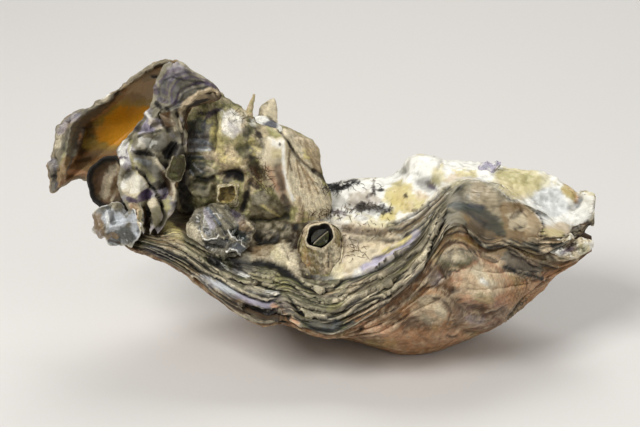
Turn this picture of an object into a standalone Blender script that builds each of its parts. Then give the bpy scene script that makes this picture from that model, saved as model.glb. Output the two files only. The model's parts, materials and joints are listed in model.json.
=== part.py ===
"""Pacific oyster, closed, with the small shells and barnacles that grow on it.

The big oyster lies on its cupped valve, long axis along X, seen side on from -Y.
Sizes are in millimetres; MM turns them into metres.
"""
import math

import bmesh
import bpy
from mathutils import Vector, noise

MM = 0.001
GAP = 0.3
REST_HEIGHT = 0.8

# The closed oyster: long lines that run from its left end to its right end, as (x, y, z).
LEFT_END = -66.0
RIGHT_END = 82.0
SECTION_PITCH = 2.5
FRONT_MARGIN = (
    (-66, -2, 42), (-61, -10, 40.5), (-56, -16, 39), (-49, -20, 38.7), (-40, -24, 35.5), (-33, -27, 31.2),
    (-23, -30, 24.3), (-16, -31, 21.6), (-10, -31, 22.9), (-5, -32, 21), (3, -32, 18.8), (9, -31.5, 21),
    (20, -31, 29), (28, -29, 36), (33, -25, 42), (37, -20, 46), (41, -18, 46.6), (46, -18, 41),
    (50, -18, 39.2), (55, -17, 39.9), (59, -16, 38), (65, -14, 35.5), (75, -8, 33), (82, -1.5, 31.5),
)
BROW = (
    (-66, 0, 43), (-50, -14, 42.2), (-41, -16, 42.8), (-33, -17, 40.1), (-23, -20, 36), (-12, -22, 32.8),
    (0, -23, 30.7), (7, -23, 31.4), (17, -22, 34.5), (26, -19, 41.1), (32, -14, 46.1), (37, -9, 50.1),
    (41, -4, 52.6), (46, -5, 54.6), (53, -6, 52.9), (59, -7, 48.8), (66, -8, 46), (70, -9, 42.5),
    (75, -7, 39.5), (82, -2, 41),
)
DECK = (
    (-66, 1, 43.5), (-50, -4, 44), (-35, -6, 43.5), (-18, -6, 42.5), (0, -2, 44), (15, -4, 43.3),
    (27, -5, 44.8), (33, -4, 47), (41, 1, 51.2), (53, 1, 50.5), (66, 0, 46.2), (75, 0, 42.5), (82, 0, 44.5),
)
REAR_EDGE = (
    (-66, 2, 43.5), (-50, 10, 43), (-35, 15, 43), (-18, 17, 44), (0, 15, 45), (9, 14, 45.6), (17, 15, 46),
    (24, 16, 48.3), (27, 18, 51.8), (31, 19, 52.7), (40, 18, 51.5), (52, 17, 51), (61, 15, 49.7),
    (71, 11, 49.2), (77, 7, 45.5), (80, 3, 47), (82, 1.5, 47),
)
REAR_MARGIN = (
    (-66, 3, 42), (-50, 13, 38), (-35, 19, 36), (-18, 21, 35), (0, 19, 37), (15, 19, 39), (26, 21, 42),
    (40, 21, 43), (52, 20, 42), (61, 18, 40), (71, 14, 37), (77, 9, 34), (82, 2.5, 32),
)
BELLY = (
    (-66, -1, 41), (-50, -14, 36.2), (-40, -18, 32.8), (-30, -22, 26.3), (-20, -24, 20), (-10, -24, 18.5),
    (0, -24, 15), (9, -27, 15.5), (20, -30, 19), (28, -30, 24), (35, -31, 27), (46, -29, 29),
    (55, -25, 28), (61, -20, 27), (68, -14, 27), (75, -7.5, 28.5), (82, -1, 30.5),
)
KEEL = (
    (-66, 1, 40.5), (-50, -2, 31.5), (-40, -2, 26.5), (-30, 0, 18), (-20, 3, 9.5), (-10, 8, 2), (0, 9, -1.6),
    (10, 5, -1.8), (18, -2, -1.8), (25, -7, -2.2), (33, -6.5, -2), (40, -5, 0), (48, -5, 4), (57, -8, 10),
    (62.5, -8, 17), (68.5, -6, 22.5), (74, -3, 27), (82, 0.5, 30),
)
REAR_BELLY = (
    (-66, 2.5, 41), (-50, 10, 33), (-30, 19, 23), (-10, 25, 14), (10, 27, 12), (30, 27, 13), (45, 23, 18),
    (60, 17, 25), (70, 11, 30), (77, 7, 31), (82, 2, 31),
)
# How far the valves gape towards the right end, and how far they arch where they meet, as (x, size).
GAPE = ((64, 0), (70, 2.5), (76, 5.5), (82, 8.5))
SEAM_ARCH = 2.5
# Overlapping lamellae of the upper valve's front: free edge, waviness and how far an edge strays.
SHINGLE_COUNT = 6
SHINGLE_LIFT = 1.3
SHINGLE_FOLD = 1.0
SHINGLE_WANDER = 0.45
LAMELLA_STEP = ((38, 0.3), (43, 1.8), (66, 1.8), (71, 0.3))
# Places along a section, a whole number for each long line, and how much of the step reaches them.
DECK_PLACES = ((1.06, 1.0), (1.35, 0.6), (1.68, 0.2), (2.0, 0), (2.25, 0), (2.5, 0), (2.75, 0))
REAR_LEDGES = (3.0, 3.5)
LEDGE_DROP = 0.04
LEDGE_HEIGHT = 0.8
BELLY_PLACES = (0.35, 0.7, 1.0, 1.35, 1.7, 2.0, 2.3, 2.6, 2.85)
BELLY_LEDGES = (3.2, 3.5, 3.76)
BELLY_LEDGE_HEIGHT = 0.9
CHIPPED_LEDGE = (62, 10, 1.6)

# The frilled valve: (height, left edge, right edge).
FLUTED_EDGES = (
    (-22, -3.5, 3), (-18, -5.5, 6.5), (-13, -8, 7.5), (-9, -9.5, 8.5), (-4, -8.5, 9.5), (0, -9.8, 10.5),
    (4, -6.5, 11), (8, -3, 10), (12, 0, 12), (14.5, 0.8, 20.5), (18, 1.8, 19.8), (21, 2.8, 16.5),
    (24, 4.5, 11), (25.3, 6.5, 8.5),
)
# The upright lump: (height, left edge, right edge).
KNOB_EDGES = (
    (-21.5, -12, 14), (-18, -18, 20), (-14, -22.5, 22.5), (-9, -23.5, 22.5), (-4, -23.5, 20.5),
    (0, -23, 19.5), (4.5, -21, 19), (7.5, -20.5, 16.5), (11, -20, 9.5), (13.5, -20, 2.5), (16, -19, -3), (19, -17.5, -7),
    (21.5, -15.5, -10), (22.5, -14, -11.5),
)
KNOB_ROWS = 20
KNOB_COLUMNS = 18
KNOB_BULGE = 7.5
KNOB_RIM = 1.2
KNOB_DEPTH = 11
KNOB_PLACE = (-19.3, 2, 57.1)
SPIKE_SIDES = 8
FLAKE_SIDES = 14

BARNACLE_PLACE = (0, -13, 39.5)
BARNACLE_TILT = 42
BARNACLE_HEIGHT = 4.6
BARNACLE_FLOOR = 2.6
BARNACLE_ROOT = 3.0
PLATE_HEIGHT = 0.45
PLATE_RADIUS = 2.05
SLIT_ANGLE = 42

FLUTE_COUNT = 3.2
FLUTED_ROWS = 22
FLUTED_COLUMNS = 14
FLUTED_STEPS = 11
HOOD_HEIGHT = 10
OPEN_VALVE_DEPTH = 11.0


def along(x, stations):
    """Smooth values at x on a line of stations (x, value, ...), level beyond its ends."""
    if x <= stations[0][0]:
        return stations[0][1:]
    if x >= stations[-1][0]:
        return stations[-1][1:]
    last = len(stations) - 1
    index = next(i for i in range(last) if stations[i + 1][0] >= x)
    before, start = stations[max(index - 1, 0)], stations[index]
    end, after = stations[index + 1], stations[min(index + 2, last)]
    width = end[0] - start[0]
    t = (x - start[0]) / width
    values = []
    for k in range(1, len(start)):
        slope_in = (end[k] - before[k]) / (end[0] - before[0]) * width
        slope_out = (after[k] - start[k]) / (after[0] - start[0]) * width
        values.append(
            start[k] * (2 * t**3 - 3 * t**2 + 1) + slope_in * (t**3 - 2 * t**2 + t)
            + end[k] * (3 * t**2 - 2 * t**3) + slope_out * (t**3 - t**2)
        )
    return tuple(values)


def ripple(x, y, z, wavelength):
    """Even, repeatable unevenness between -1 and 1 at a point."""
    return noise.noise(Vector((x, y, z)) / wavelength)


def spline(points, s):
    """Point and outward direction at s on an open curve through (y, z) points, one unit of s a span."""
    last = len(points) - 1
    index = min(int(s), last - 1)
    t = s - index
    start, end = Vector(points[index]), Vector(points[index + 1])
    before = Vector(points[index - 1]) if index else start * 2 - end
    after = Vector(points[index + 2]) if index + 2 <= last else end * 2 - start
    span = (end - start).length
    pull_in = (end - before) * (span / max((end - start).length + (start - before).length, 1e-6))
    pull_out = (after - start) * (span / max((after - end).length + (end - start).length, 1e-6))
    spot = (
        start * (2 * t**3 - 3 * t**2 + 1) + pull_in * (t**3 - 2 * t**2 + t)
        + end * (3 * t**2 - 2 * t**3) + pull_out * (t**3 - t**2)
    )
    run = (
        start * (6 * t**2 - 6 * t) + pull_in * (3 * t**2 - 4 * t + 1)
        + end * (6 * t - 6 * t**2) + pull_out * (3 * t**2 - 2 * t)
    ).normalized()
    return spot, Vector((-run.y, run.x))


def seam(x, t):
    """Height and depth of the surface where the two valves meet, t from front margin to rear margin."""
    front, rear = Vector(along(x, FRONT_MARGIN)), Vector(along(x, REAR_MARGIN))
    spot = front.lerp(rear, t)
    spot.y += SEAM_ARCH * 4 * t * (1 - t)
    return spot


def upper_section(x):
    """Closed loop of the upper valve at x: shingled face, deck, rear edge, then the seam back."""
    lift = Vector((0, GAP / 2 + (along(x, GAPE)[0] if x > GAPE[0][0] else 0)))
    front = seam(x, 0) + lift
    rear = seam(x, 1) + lift
    lines = [front, along(x, BROW), along(x, DECK), along(x, REAR_EDGE), rear]
    loop = [front]
    for k in range(SHINGLE_COUNT):
        fold = SHINGLE_FOLD * ripple(x, 9 * k, 2, 13) * min(k / 2, 1)
        low = (k + SHINGLE_WANDER * ripple(x, 40 * k, 0, 17)) / SHINGLE_COUNT if k else 0.0
        high = (k + 1 + SHINGLE_WANDER * ripple(x, 40 * (k + 1), 0, 17)) / SHINGLE_COUNT
        height = SHINGLE_LIFT * (0.75 + 0.6 * ripple(x, 90 * k, 5, 9))
        edge, out = spline(lines, min(low + 0.02, 0.98))
        loop.append(edge + out * (max(height, GAP) + fold))
        if k < SHINGLE_COUNT - 1:
            foot, out = spline(lines, min(high, 0.96))
            loop.append(foot + out * fold)
    brow_step = along(x, LAMELLA_STEP)[0]
    crest, out = spline(lines, 0.99)
    loop.append(crest + out * (0.4 + 0.5 * brow_step))
    for s, sink in DECK_PLACES:
        spot, out = spline(lines, s)
        bump = 1.2 * ripple(x, spot.x, s, 11) + 0.6 * ripple(x, spot.x, s, 5)
        loop.append(spot + out * (bump - sink * brow_step))
    for k, s in enumerate(REAR_LEDGES):
        spot, out = spline(lines, s)
        loop.append(spot + out * LEDGE_HEIGHT * (1 + 0.9 * ripple(x, 50 * k, 1, 10)))
        spot, out = spline(lines, s + LEDGE_DROP)
        loop.append(spot)
    for t in (1.0, 0.96, 0.75, 0.5, 0.25, 0.04):
        loop.append(seam(x, t) + lift)
    return loop


def lower_section(x):
    """Closed loop of the cupped valve at x: front face, keel, rear face, then the seam forward."""
    drop = Vector((0, -GAP / 2))
    front = seam(x, 0.04) + drop
    rear = seam(x, 0.96) + drop
    lines = [rear, along(x, REAR_BELLY), along(x, KEEL), along(x, BELLY), front]
    loop = [rear]
    for s in BELLY_PLACES:
        spot, out = spline(lines, s)
        bump = 1.1 * ripple(x, spot.x, spot.y, 16) + 0.5 * ripple(x, spot.x, spot.y, 6)
        loop.append(spot + out * bump * min(spot.y / 8, 1))
    for k, s in enumerate(BELLY_LEDGES):
        s += 0.14 * ripple(x, 60 * k, 8, 15)
        height = BELLY_LEDGE_HEIGHT + 0.8 * ripple(x, 70 * k, 3, 10)
        if s > BELLY_LEDGES[-1] - 0.2:
            height += hill(x, 0, (CHIPPED_LEDGE[0], 0), CHIPPED_LEDGE[1], CHIPPED_LEDGE[2])
        foot, out = spline(lines, s)
        loop.append(foot + out * max(height, GAP))
        ledge, out = spline(lines, s + LEDGE_DROP)
        loop.append(ledge)
    loop.append(front)
    for t in (0.25, 0.5, 0.75):
        loop.append(seam(x, t) + drop)
    for spot in loop:
        spot.y = max(spot.y, REST_HEIGHT)
    return loop


def lofted(name, section):
    """Closed mesh through the sections along X, each end closed by a fan."""
    count = round((RIGHT_END - LEFT_END) / SECTION_PITCH)
    pitch = (RIGHT_END - LEFT_END) / count
    mesh = bmesh.new()
    rows = []
    for i in range(count + 1):
        x = LEFT_END + pitch * i
        rows.append([mesh.verts.new(Vector((x, p.x, p.y)) * MM) for p in map(Vector, section(x))])
    size = len(rows[0])
    for first, second in zip(rows, rows[1:]):
        for k in range(size):
            m = (k + 1) % size
            mesh.faces.new((first[k], first[m], second[m], second[k]))
    for row in (rows[0], rows[-1]):
        hub = mesh.verts.new(sum((v.co for v in row), Vector()) / size)
        for k in range(size):
            mesh.faces.new((row[k], row[(k + 1) % size], hub))
    return finished(name, mesh)


def finished(name, mesh):
    """Object from a bmesh, with its faces triangulated, pointing out and shaded smooth by angle."""
    bmesh.ops.triangulate(mesh, faces=mesh.faces)
    bmesh.ops.recalc_face_normals(mesh, faces=mesh.faces)
    data = bpy.data.meshes.new(name)
    mesh.to_mesh(data)
    mesh.free()
    data.shade_smooth()
    data.set_sharp_from_angle(angle=math.radians(35))
    thing = bpy.data.objects.new(name, data)
    bpy.context.collection.objects.link(thing)
    return thing


def paint(thing, colour, roughness):
    """Give a piece its own shell material."""
    material = bpy.data.materials.new(thing.name)
    material.use_nodes = True
    shader = material.node_tree.nodes["Principled BSDF"]
    shader.inputs["Base Color"].default_value = (*colour, 1)
    shader.inputs["Roughness"].default_value = roughness
    shader.inputs["Metallic"].default_value = 0
    thing.data.materials.clear()
    thing.data.materials.append(material)


def closed_outline(points, count):
    """Evenly spaced points on the smooth closed curve through the outline points."""
    fine = []
    size = len(points)
    for i in range(size):
        p0, p1, p2, p3 = (Vector(points[(i + k - 1) % size]) for k in range(4))
        for step in range(8):
            t = step / 8
            fine.append(
                0.5 * (p1 * 2 + (p2 - p0) * t + (p0 * 2 - p1 * 5 + p2 * 4 - p3) * t * t
                       + (p1 * 3 - p0 - p2 * 3 + p3) * t**3)
            )
    lengths = [(fine[(i + 1) % len(fine)] - p).length for i, p in enumerate(fine)]
    pitch = sum(lengths) / count
    spaced, passed = [], 0.0
    for i, p in enumerate(fine):
        while passed + lengths[i] > pitch * len(spaced) + 1e-9 and len(spaced) < count:
            share = (pitch * len(spaced) - passed) / lengths[i]
            spaced.append(p.lerp(fine[(i + 1) % len(fine)], share))
        passed += lengths[i]
    return spaced


def hill(a, b, centre, radius, height):
    """Rounded rise of a height around a centre, nearly flat past its radius."""
    away = (Vector((a, b)) - Vector(centre)).length / radius
    return height * math.exp(-1.5 * away * away)


def ridge(a, b, start, end, width, height):
    """Rounded rise along the straight run from start to end."""
    run = Vector(end) - Vector(start)
    share = max(0.0, min(1.0, (Vector((a, b)) - Vector(start)).dot(run) / run.length_squared))
    away = (Vector((a, b)) - Vector(start) - run * share).length / width
    return height * math.exp(-1.5 * away * away)


def stepped(s, count, height):
    """Growth steps: each lamella rises towards its free edge, then drops to the next."""
    return height * ((s * count) % 1.0)


def rings_with_steps(count, between):
    """Ring places from the umbo out to the rim, doubled where a lamella ends."""
    rings = []
    for k in range(count):
        rings += [(k + (j + 1) / (between + 1)) / count for j in range(between)]
        rings += [(k + 0.97) / count, (k + 1.03) / count]
    return rings[:-2] + [1.0]


def shell(name, outline, umbo, rings, front, back, segments):
    """Closed solid between a front and a back face that share one outline.

    a runs right, b runs up and the height comes towards the front; the umbo is where
    the growth rings start. front and back give the height from (a, b, s), s from 0 at
    the umbo to 1 at the rim.
    """
    edge = closed_outline(outline, segments)
    umbo = Vector(umbo)
    mesh = bmesh.new()

    def grid(height_of, places):
        hub = mesh.verts.new(Vector((umbo.x, umbo.y, height_of(umbo.x, umbo.y, 0.0))) * MM)
        loops = []
        for s in places:
            spots = [umbo.lerp(p, s) for p in edge]
            loops.append([mesh.verts.new(Vector((p.x, p.y, height_of(p.x, p.y, s))) * MM) for p in spots])
        for k in range(segments):
            m = (k + 1) % segments
            mesh.faces.new((hub, loops[0][k], loops[0][m]))
            for inner, outer in zip(loops, loops[1:]):
                mesh.faces.new((inner[k], outer[k], outer[m], inner[m]))
        return loops[-1]

    near = grid(front, rings)
    far = grid(back, (0.35, 0.7, 1.0))
    for k in range(segments):
        m = (k + 1) % segments
        mesh.faces.new((near[k], far[k], far[m], near[m]))
    return finished(name, mesh)


def border_of(grid):
    """Points round the edge of a grid, in order."""
    tall, wide = len(grid), len(grid[0])
    spots = [(0, j) for j in range(wide)] + [(i, wide - 1) for i in range(1, tall)]
    spots += [(tall - 1, j) for j in range(wide - 2, -1, -1)] + [(i, 0) for i in range(tall - 2, 0, -1)]
    return [grid[i][j] for i, j in spots]


def grid_of(mesh, rows):
    """Grid of faces through rows of points."""
    grid = [[mesh.verts.new(point * MM) for point in row] for row in rows]
    for low, high in zip(grid, grid[1:]):
        for j in range(len(low) - 1):
            mesh.faces.new((low[j], low[j + 1], high[j + 1], high[j]))
    return grid


def join_loops(mesh, near, far):
    """Strip of faces between two closed loops with equally many points."""
    for k in range(len(near)):
        m = (k + 1) % len(near)
        mesh.faces.new((near[k], far[k], far[m], near[m]))


def sheet(name, front, back):
    """Closed thin solid between a front and a back grid."""
    mesh = bmesh.new()
    near = border_of(grid_of(mesh, front))
    far = border_of(grid_of(mesh, back))
    join_loops(mesh, near, far)
    return finished(name, mesh)


def lump(name, front, rim, depth):
    """Closed solid with a front grid, a rim of some thickness and a rounded back of some depth."""
    mesh = bmesh.new()
    loop = border_of(grid_of(mesh, front))
    edge = [v.co / MM for v in loop]
    middle = sum(edge, Vector()) / len(edge)
    for share in (1.0, 0.7, 0.35):
        spots = [middle.lerp(p, share) for p in edge]
        ring = [mesh.verts.new((p - Vector((0, 0, rim + depth * (1 - share**2)))) * MM) for p in spots]
        join_loops(mesh, loop, ring)
        loop = ring
    mesh.faces.new(loop)
    return finished(name, mesh)


def barnacle(name, base, mouth, mouth_radius, height, ribs, segments):
    """Walled cone with an open mouth: base outline, ribbed wall, sharp lip and a sunken floor."""
    edge = closed_outline(base, segments)
    mouth = Vector(mouth)
    mesh = bmesh.new()
    loops = []
    levels = ((0.7, -BARNACLE_FLOOR), (0.86, -0.4), (1.0, 0.0), (1.18, -0.3))
    turns = [math.atan2(p.y - mouth.y, p.x - mouth.x) for p in edge]
    for share, drop in levels:
        loop = []
        for turn in turns:
            reach = mouth_radius * share * (1 + 0.1 * math.cos(2 * turn - 1.2))
            spot = mouth + Vector((math.cos(turn), math.sin(turn))) * reach
            loop.append(mesh.verts.new(Vector((spot.x, spot.y, height + drop)) * MM))
        loops.append(loop)
    for share in (0.4, 0.75, 1.0):
        loop = []
        for turn, p in zip(turns, edge):
            lip = mouth + Vector((math.cos(turn), math.sin(turn))) * mouth_radius * 1.18
            spot = lip.lerp(p, share)
            rib = 0.35 * math.cos(ribs * turn) * (1 if share < 1 else 0.4)
            rise = (height - 0.3) * (1 - share) ** 1.3
            loop.append(mesh.verts.new(Vector((spot.x, spot.y, rise + rib)) * MM))
        loops.append(loop)
    loops.append([mesh.verts.new(Vector((p.x, p.y, -BARNACLE_ROOT)) * MM) for p in edge])
    for k in range(segments):
        m = (k + 1) % segments
        for inner, outer in zip(loops, loops[1:]):
            mesh.faces.new((inner[k], outer[k], outer[m], inner[m]))
    mesh.faces.new(loops[0])
    mesh.faces.new(loops[-1])
    return finished(name, mesh)


def stand(thing, location, elevation, azimuth=0.0):
    """Stand a shell up with its front facing forward, tilted up and turned by the angles in degrees."""
    thing.location = Vector(location) * MM
    thing.rotation_euler = (math.radians(90 - elevation), 0, math.radians(azimuth))


def grown_copy(thing):
    """Copy of a piece with its whole surface moved out by the gap."""
    copy = thing.copy()
    copy.data = thing.data.copy()
    copy.name = "cutter_" + thing.name
    copy.hide_render = True
    copy.display_type = "WIRE"
    bpy.context.collection.objects.link(copy)
    for vertex, normal in zip(copy.data.vertices, [n.vector.copy() for n in copy.data.vertex_normals]):
        vertex.co += normal * GAP * MM
    return copy


def keep_largest(data):
    """Drop the loose scraps of a cut mesh and its slivers."""
    mesh = bmesh.new()
    mesh.from_mesh(data)
    bmesh.ops.dissolve_degenerate(mesh, edges=mesh.edges, dist=0.02 * MM)
    bmesh.ops.triangulate(mesh, faces=mesh.faces)
    left = set(mesh.faces)
    islands = []
    while left:
        grow = [left.pop()]
        island = set(grow)
        while grow:
            for edge in grow.pop().edges:
                for face in edge.link_faces if len(edge.link_faces) == 2 else ():
                    if face in left:
                        left.discard(face)
                        island.add(face)
                        grow.append(face)
        islands.append(island)
    islands.sort(key=len)
    scraps = [face for island in islands[:-1] for face in island]
    bmesh.ops.delete(mesh, geom=scraps, context="FACES")
    mesh.to_mesh(data)
    mesh.free()


def apply_modifiers(thing):
    """Turn a piece's modifiers into its mesh."""
    bpy.context.view_layer.update()
    data = bpy.data.meshes.new_from_object(thing.evaluated_get(bpy.context.evaluated_depsgraph_get()))
    thing.modifiers.clear()
    keep_largest(data)
    data.name = thing.name
    thing.data = data


def carve(thing, cutters):
    """Cut a piece back from the grown copies of its neighbours."""
    for cutter in cutters:
        cut = thing.modifiers.new("seat", "BOOLEAN")
        cut.operation = "DIFFERENCE"
        cut.solver = "EXACT"
        cut.use_self = True
        cut.object = cutter
    apply_modifiers(thing)


def build_big_oyster():
    """The two valves of the closed oyster."""
    lower = lofted("lower_valve", lower_section)
    paint(lower, (0.42, 0.34, 0.26), 0.7)
    upper = lofted("upper_valve", upper_section)
    paint(upper, (0.32, 0.31, 0.24), 0.65)
    return lower, upper


def build_open_valve():
    """Empty cupped valve of a dead oyster, its hollow open to the front."""
    outline = (
        (-23, -13), (-23, -19.5), (-18.5, -17), (-15, -15.5), (-10, -16.5), (1.5, -17), (13.5, -14),
        (21, -7.5), (24.5, 1.5), (24, 9.5), (21, 14.5), (16.5, 18), (12, 18.5), (7.5, 16.5), (1.5, 12.5),
        (-4.5, 8.5), (-10.5, 5.5), (-15, 3.5), (-18.5, 1), (-21, -4),
    )
    umbo = (4, 0)
    depth = OPEN_VALVE_DEPTH

    def inside(a, b, s):
        rolled = max(0.0, min(1.0, (-a - 6) / 12))
        bowl = -depth * max(0.0, 1 - (s / (0.97 - 0.15 * rolled)) ** 2.6)
        roll = -3.0 * rolled * max(0.0, (s - 0.84) / 0.16) ** 2
        knobs = (0.9 * ripple(a, b, 3, 4.5)) * max(0.0, (s - 0.78) / 0.22) * rolled
        return bowl + roll + knobs + 0.8 * math.sin(a * 0.35 + 1) * s * s

    def outside(a, b, s):
        bowl = -(depth + 2.6) * max(0.0, 1 - s**2.6)
        rolled = max(0.0, min(1.0, (-a - 6) / 12))
        return bowl - 1.5 - 3.2 * rolled * s**4 + 0.8 * math.sin(a * 0.35 + 1) * s * s

    rings = (0.3, 0.54, 0.7, 0.8, 0.86, 0.93, 1.0)
    thing = shell("open_valve", outline, umbo, rings, inside, outside, 48)
    stand(thing, (-57.8, 6, 68.3), 22, 6)
    paint(thing, (0.55, 0.5, 0.4), 0.4)
    return thing


def build_dark_rimmed_valve():
    """Small cupped shell with a black edge, below the open valve."""
    outline = (
        (-6, 1), (-5.5, -2.5), (-4.5, -5.5), (-2, -7.5), (2, -8.5), (5, -6.5), (6.5, -2.5), (6, 3), (3, 7.5),
        (-0.5, 7.5), (-3, 6), (-5.5, 3.5),
    )

    def inside(a, b, s):
        return -3.0 * max(0.0, 1 - (s / 0.93) ** 3) + hill(a, b, (1, 0), 3, 1.6)

    def outside(a, b, s):
        return -1.3 - 5.2 * (1 - s**2.5)

    thing = shell("dark_rimmed_valve", outline, (1, 0), (0.3, 0.6, 0.8, 0.93, 1.0), inside, outside, 22)
    stand(thing, (-62.8, -4, 54.3), 22, -5)
    paint(thing, (0.14, 0.12, 0.07), 0.5)
    return thing


def build_fluted_valve():
    """Frilled upright shell: folded below into three tips, a narrow neck and a hood that leans right."""
    front, back = [], []
    for i in range(FLUTED_ROWS + 1):
        height = FLUTED_EDGES[0][0] + (FLUTED_EDGES[-1][0] - FLUTED_EDGES[0][0]) * i / FLUTED_ROWS
        left, right = along(height, FLUTED_EDGES)
        deep = max(0.0, min(1.0, (HOOD_HEIGHT - height) / 10))
        ragged = max(0.0, min(1.0, (-13 - height) / 8))
        near, far = [], []
        for j in range(FLUTED_COLUMNS + 1):
            share = j / FLUTED_COLUMNS
            fold = math.cos(2 * math.pi * (FLUTE_COUNT * share + 0.35 * ripple(share * 5, height, 3, 9)))
            across = left + (right - left) * share
            up = height - 2.2 * fold * ragged
            crown = 3.2 * (1 - (2 * share - 1) ** 2)
            rise = crown + (0.5 + 1.3 * deep) * fold + 3.0 * max(0.0, (height - HOOD_HEIGHT) / 15)
            rise += stepped((height + 30 + 1.5 * fold) / 55, FLUTED_STEPS, 0.9)
            near.append(Vector((across, up, rise)))
            far.append(Vector((across, up, rise - 2.2 - 0.8 * crown)))
        front.append(near)
        back.append(far)
    thing = sheet("fluted_valve", front, back)
    stand(thing, (-49.5, -6, 65.5), 20, 0)
    paint(thing, (0.4, 0.38, 0.36), 0.55)
    return thing


def fuse(thing, extras):
    """Join small pieces into one solid with what they grow on."""
    group = bpy.data.collections.new("fused_" + thing.name)
    for extra in extras:
        group.objects.link(extra)
    join = thing.modifiers.new("fuse", "BOOLEAN")
    join.operation = "UNION"
    join.operand_type = "COLLECTION"
    join.solver = "EXACT"
    join.use_self = True
    join.collection = group
    apply_modifiers(thing)
    for extra in extras:
        bpy.data.objects.remove(extra)
    bpy.data.collections.remove(group)


def build_spike():
    """Tapering spine with a slight bend."""
    mesh = bmesh.new()
    loops = []
    for k in range(5):
        share = k / 4
        centre = Vector((-2.6 + 2.6 * share**1.4, 10.5 + 11.2 * share, 1.0))
        reach = 2.3 * (1 - share) ** 1.2 + 0.35
        loop = []
        for m in range(SPIKE_SIDES):
            turn = 2 * math.pi * m / SPIKE_SIDES
            loop.append(mesh.verts.new((centre + Vector((math.cos(turn), 0, math.sin(turn))) * reach) * MM))
        loops.append(loop)
    for low, high in zip(loops, loops[1:]):
        for k in range(SPIKE_SIDES):
            m = (k + 1) % SPIKE_SIDES
            mesh.faces.new((low[k], low[m], high[m], high[k]))
    mesh.faces.new(loops[0])
    mesh.faces.new(loops[-1])
    return finished("spike", mesh)


def build_flake(name, outline, bottom, top, slope):
    """Flat piece of shell between two heights, tilted by the slope per millimetre up."""
    edge = closed_outline(outline, FLAKE_SIDES)
    mesh = bmesh.new()
    near = [mesh.verts.new(Vector((p.x, p.y, top + slope * p.y)) * MM) for p in edge]
    far = [mesh.verts.new(Vector((p.x, p.y, bottom + slope * p.y)) * MM) for p in edge]
    mesh.faces.new(near)
    mesh.faces.new(far)
    for k in range(FLAKE_SIDES):
        m = (k + 1) % FLAKE_SIDES
        mesh.faces.new((near[k], far[k], far[m], near[m]))
    return finished(name, mesh)


def build_knob_oyster():
    """Upright lump of an oyster with a ridge, a striped shoulder, a pit and a pale facet."""
    front = []
    for i in range(KNOB_ROWS + 1):
        rising = i / KNOB_ROWS
        b = KNOB_EDGES[0][0] + (KNOB_EDGES[-1][0] - KNOB_EDGES[0][0]) * rising
        left, right = along(b, KNOB_EDGES)
        row = []
        for j in range(KNOB_COLUMNS + 1):
            share = j / KNOB_COLUMNS
            a = left + (right - left) * share
            rise = KNOB_BULGE * math.sqrt(4 * share * (1 - share)) * (4 * rising * (1 - rising)) ** 0.4
            rise += ridge(a, b, (9, 9), (11, -14), 2.2, 3.2)
            rise -= ridge(a, b, (5.5, 3), (7, -12), 2.8, 2.6)
            rise -= hill(a, b, (-5.5, -4), 3, 4.5)
            rise += hill(a, b, (-15, -8.5), 3.6, 2.6)
            rise += hill(a, b, (-6, 9), 5, 2.0)
            rise -= hill(a, b, (-16, 17), 5, 3.5)
            rise += 1.4 * ripple(a, b, 2, 5) + 0.7 * ripple(a, b, 7, 2.6)
            row.append(Vector((a, b, rise)))
        front.append(row)
    thing = lump("knob_oyster", front, KNOB_RIM, KNOB_DEPTH)
    paint(thing, (0.4, 0.38, 0.24), 0.6)
    stub = ((0.9, 15), (1.8, 17.2), (3.9, 19), (5, 19.6), (6.1, 18.7), (6.6, 12), (5, 8), (0.5, 9))
    flake = ((0.1, 14.3), (2, 14.8), (5, 13.3), (8.2, 11), (7.4, 7.8), (4.1, 9.2), (1.7, 11.2))
    extras = [
        build_spike(),
        build_flake("stub", stub, -3.2, -0.9, 0.0),
        build_flake("flake", flake, 1.2, 4.6, -0.15),
    ]
    fuse(thing, extras)
    stand(thing, KNOB_PLACE, 16)
    return thing


def build_round_shell():
    """Young rounded shell, glossy grey, its beak to the right."""
    outline = (
        (-9.5, -0.5), (-8, -4), (-4.5, -6.5), (0, -8), (4, -8), (8, -6), (10, -3), (10, 0.5), (6.5, 5),
        (3, 7.5), (-1, 8), (-5.5, 7), (-8, 4.5),
    )

    def front(a, b, s):
        return 4.6 * (1 - s**2.2) + stepped(s, 3, 0.6) + 0.5 * ripple(a, b, 4, 4)

    def back(a, b, s):
        return -1.0 - 4 * (1 - s)

    thing = shell("round_shell", outline, (4, -1), rings_with_steps(3, 1), front, back, 26)
    stand(thing, (-29.8, -14, 43.1), 38, 0)
    paint(thing, (0.33, 0.33, 0.33), 0.35)
    return thing


def build_pearly_shell():
    """Small wavy shell at the left end."""
    outline = (
        (-7.5, 3), (-7.5, -1.5), (-5.5, -4.5), (-1.5, -5.5), (3, -6), (6, -4), (7, 1), (4.5, 4.5), (0.5, 6),
        (-4.5, 5.5),
    )

    def front(a, b, s):
        return 3.2 * (1 - s * s) + 0.9 * math.sin(a * 0.9 + 0.4 * b)

    def back(a, b, s):
        return -1.2 + 0.9 * math.sin(a * 0.9 + 0.4 * b) * s * s - 3 * (1 - s)

    thing = shell("pearly_shell", outline, (1, 1), (0.35, 0.7, 1.0), front, back, 22)
    stand(thing, (-59.0, -16, 46.1), 30, -10)
    paint(thing, (0.38, 0.4, 0.42), 0.3)
    return thing


def build_leaf_shell():
    """Little leaf of shell between the frilled valve and the lump."""
    outline = ((-3, -2), (-1, -4), (1.5, -3.5), (3, 0), (3, 3), (0.5, 4), (-1.5, 1.5))

    def front(a, b, s):
        return 1.5 * (1 - s * s)

    def back(a, b, s):
        return -1.6

    thing = shell("leaf_shell", outline, (0.3, 0), (0.5, 1.0), front, back, 16)
    stand(thing, (-41.9, -10, 61.6), 20, 15)
    paint(thing, (0.2, 0.22, 0.13), 0.45)
    return thing


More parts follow.
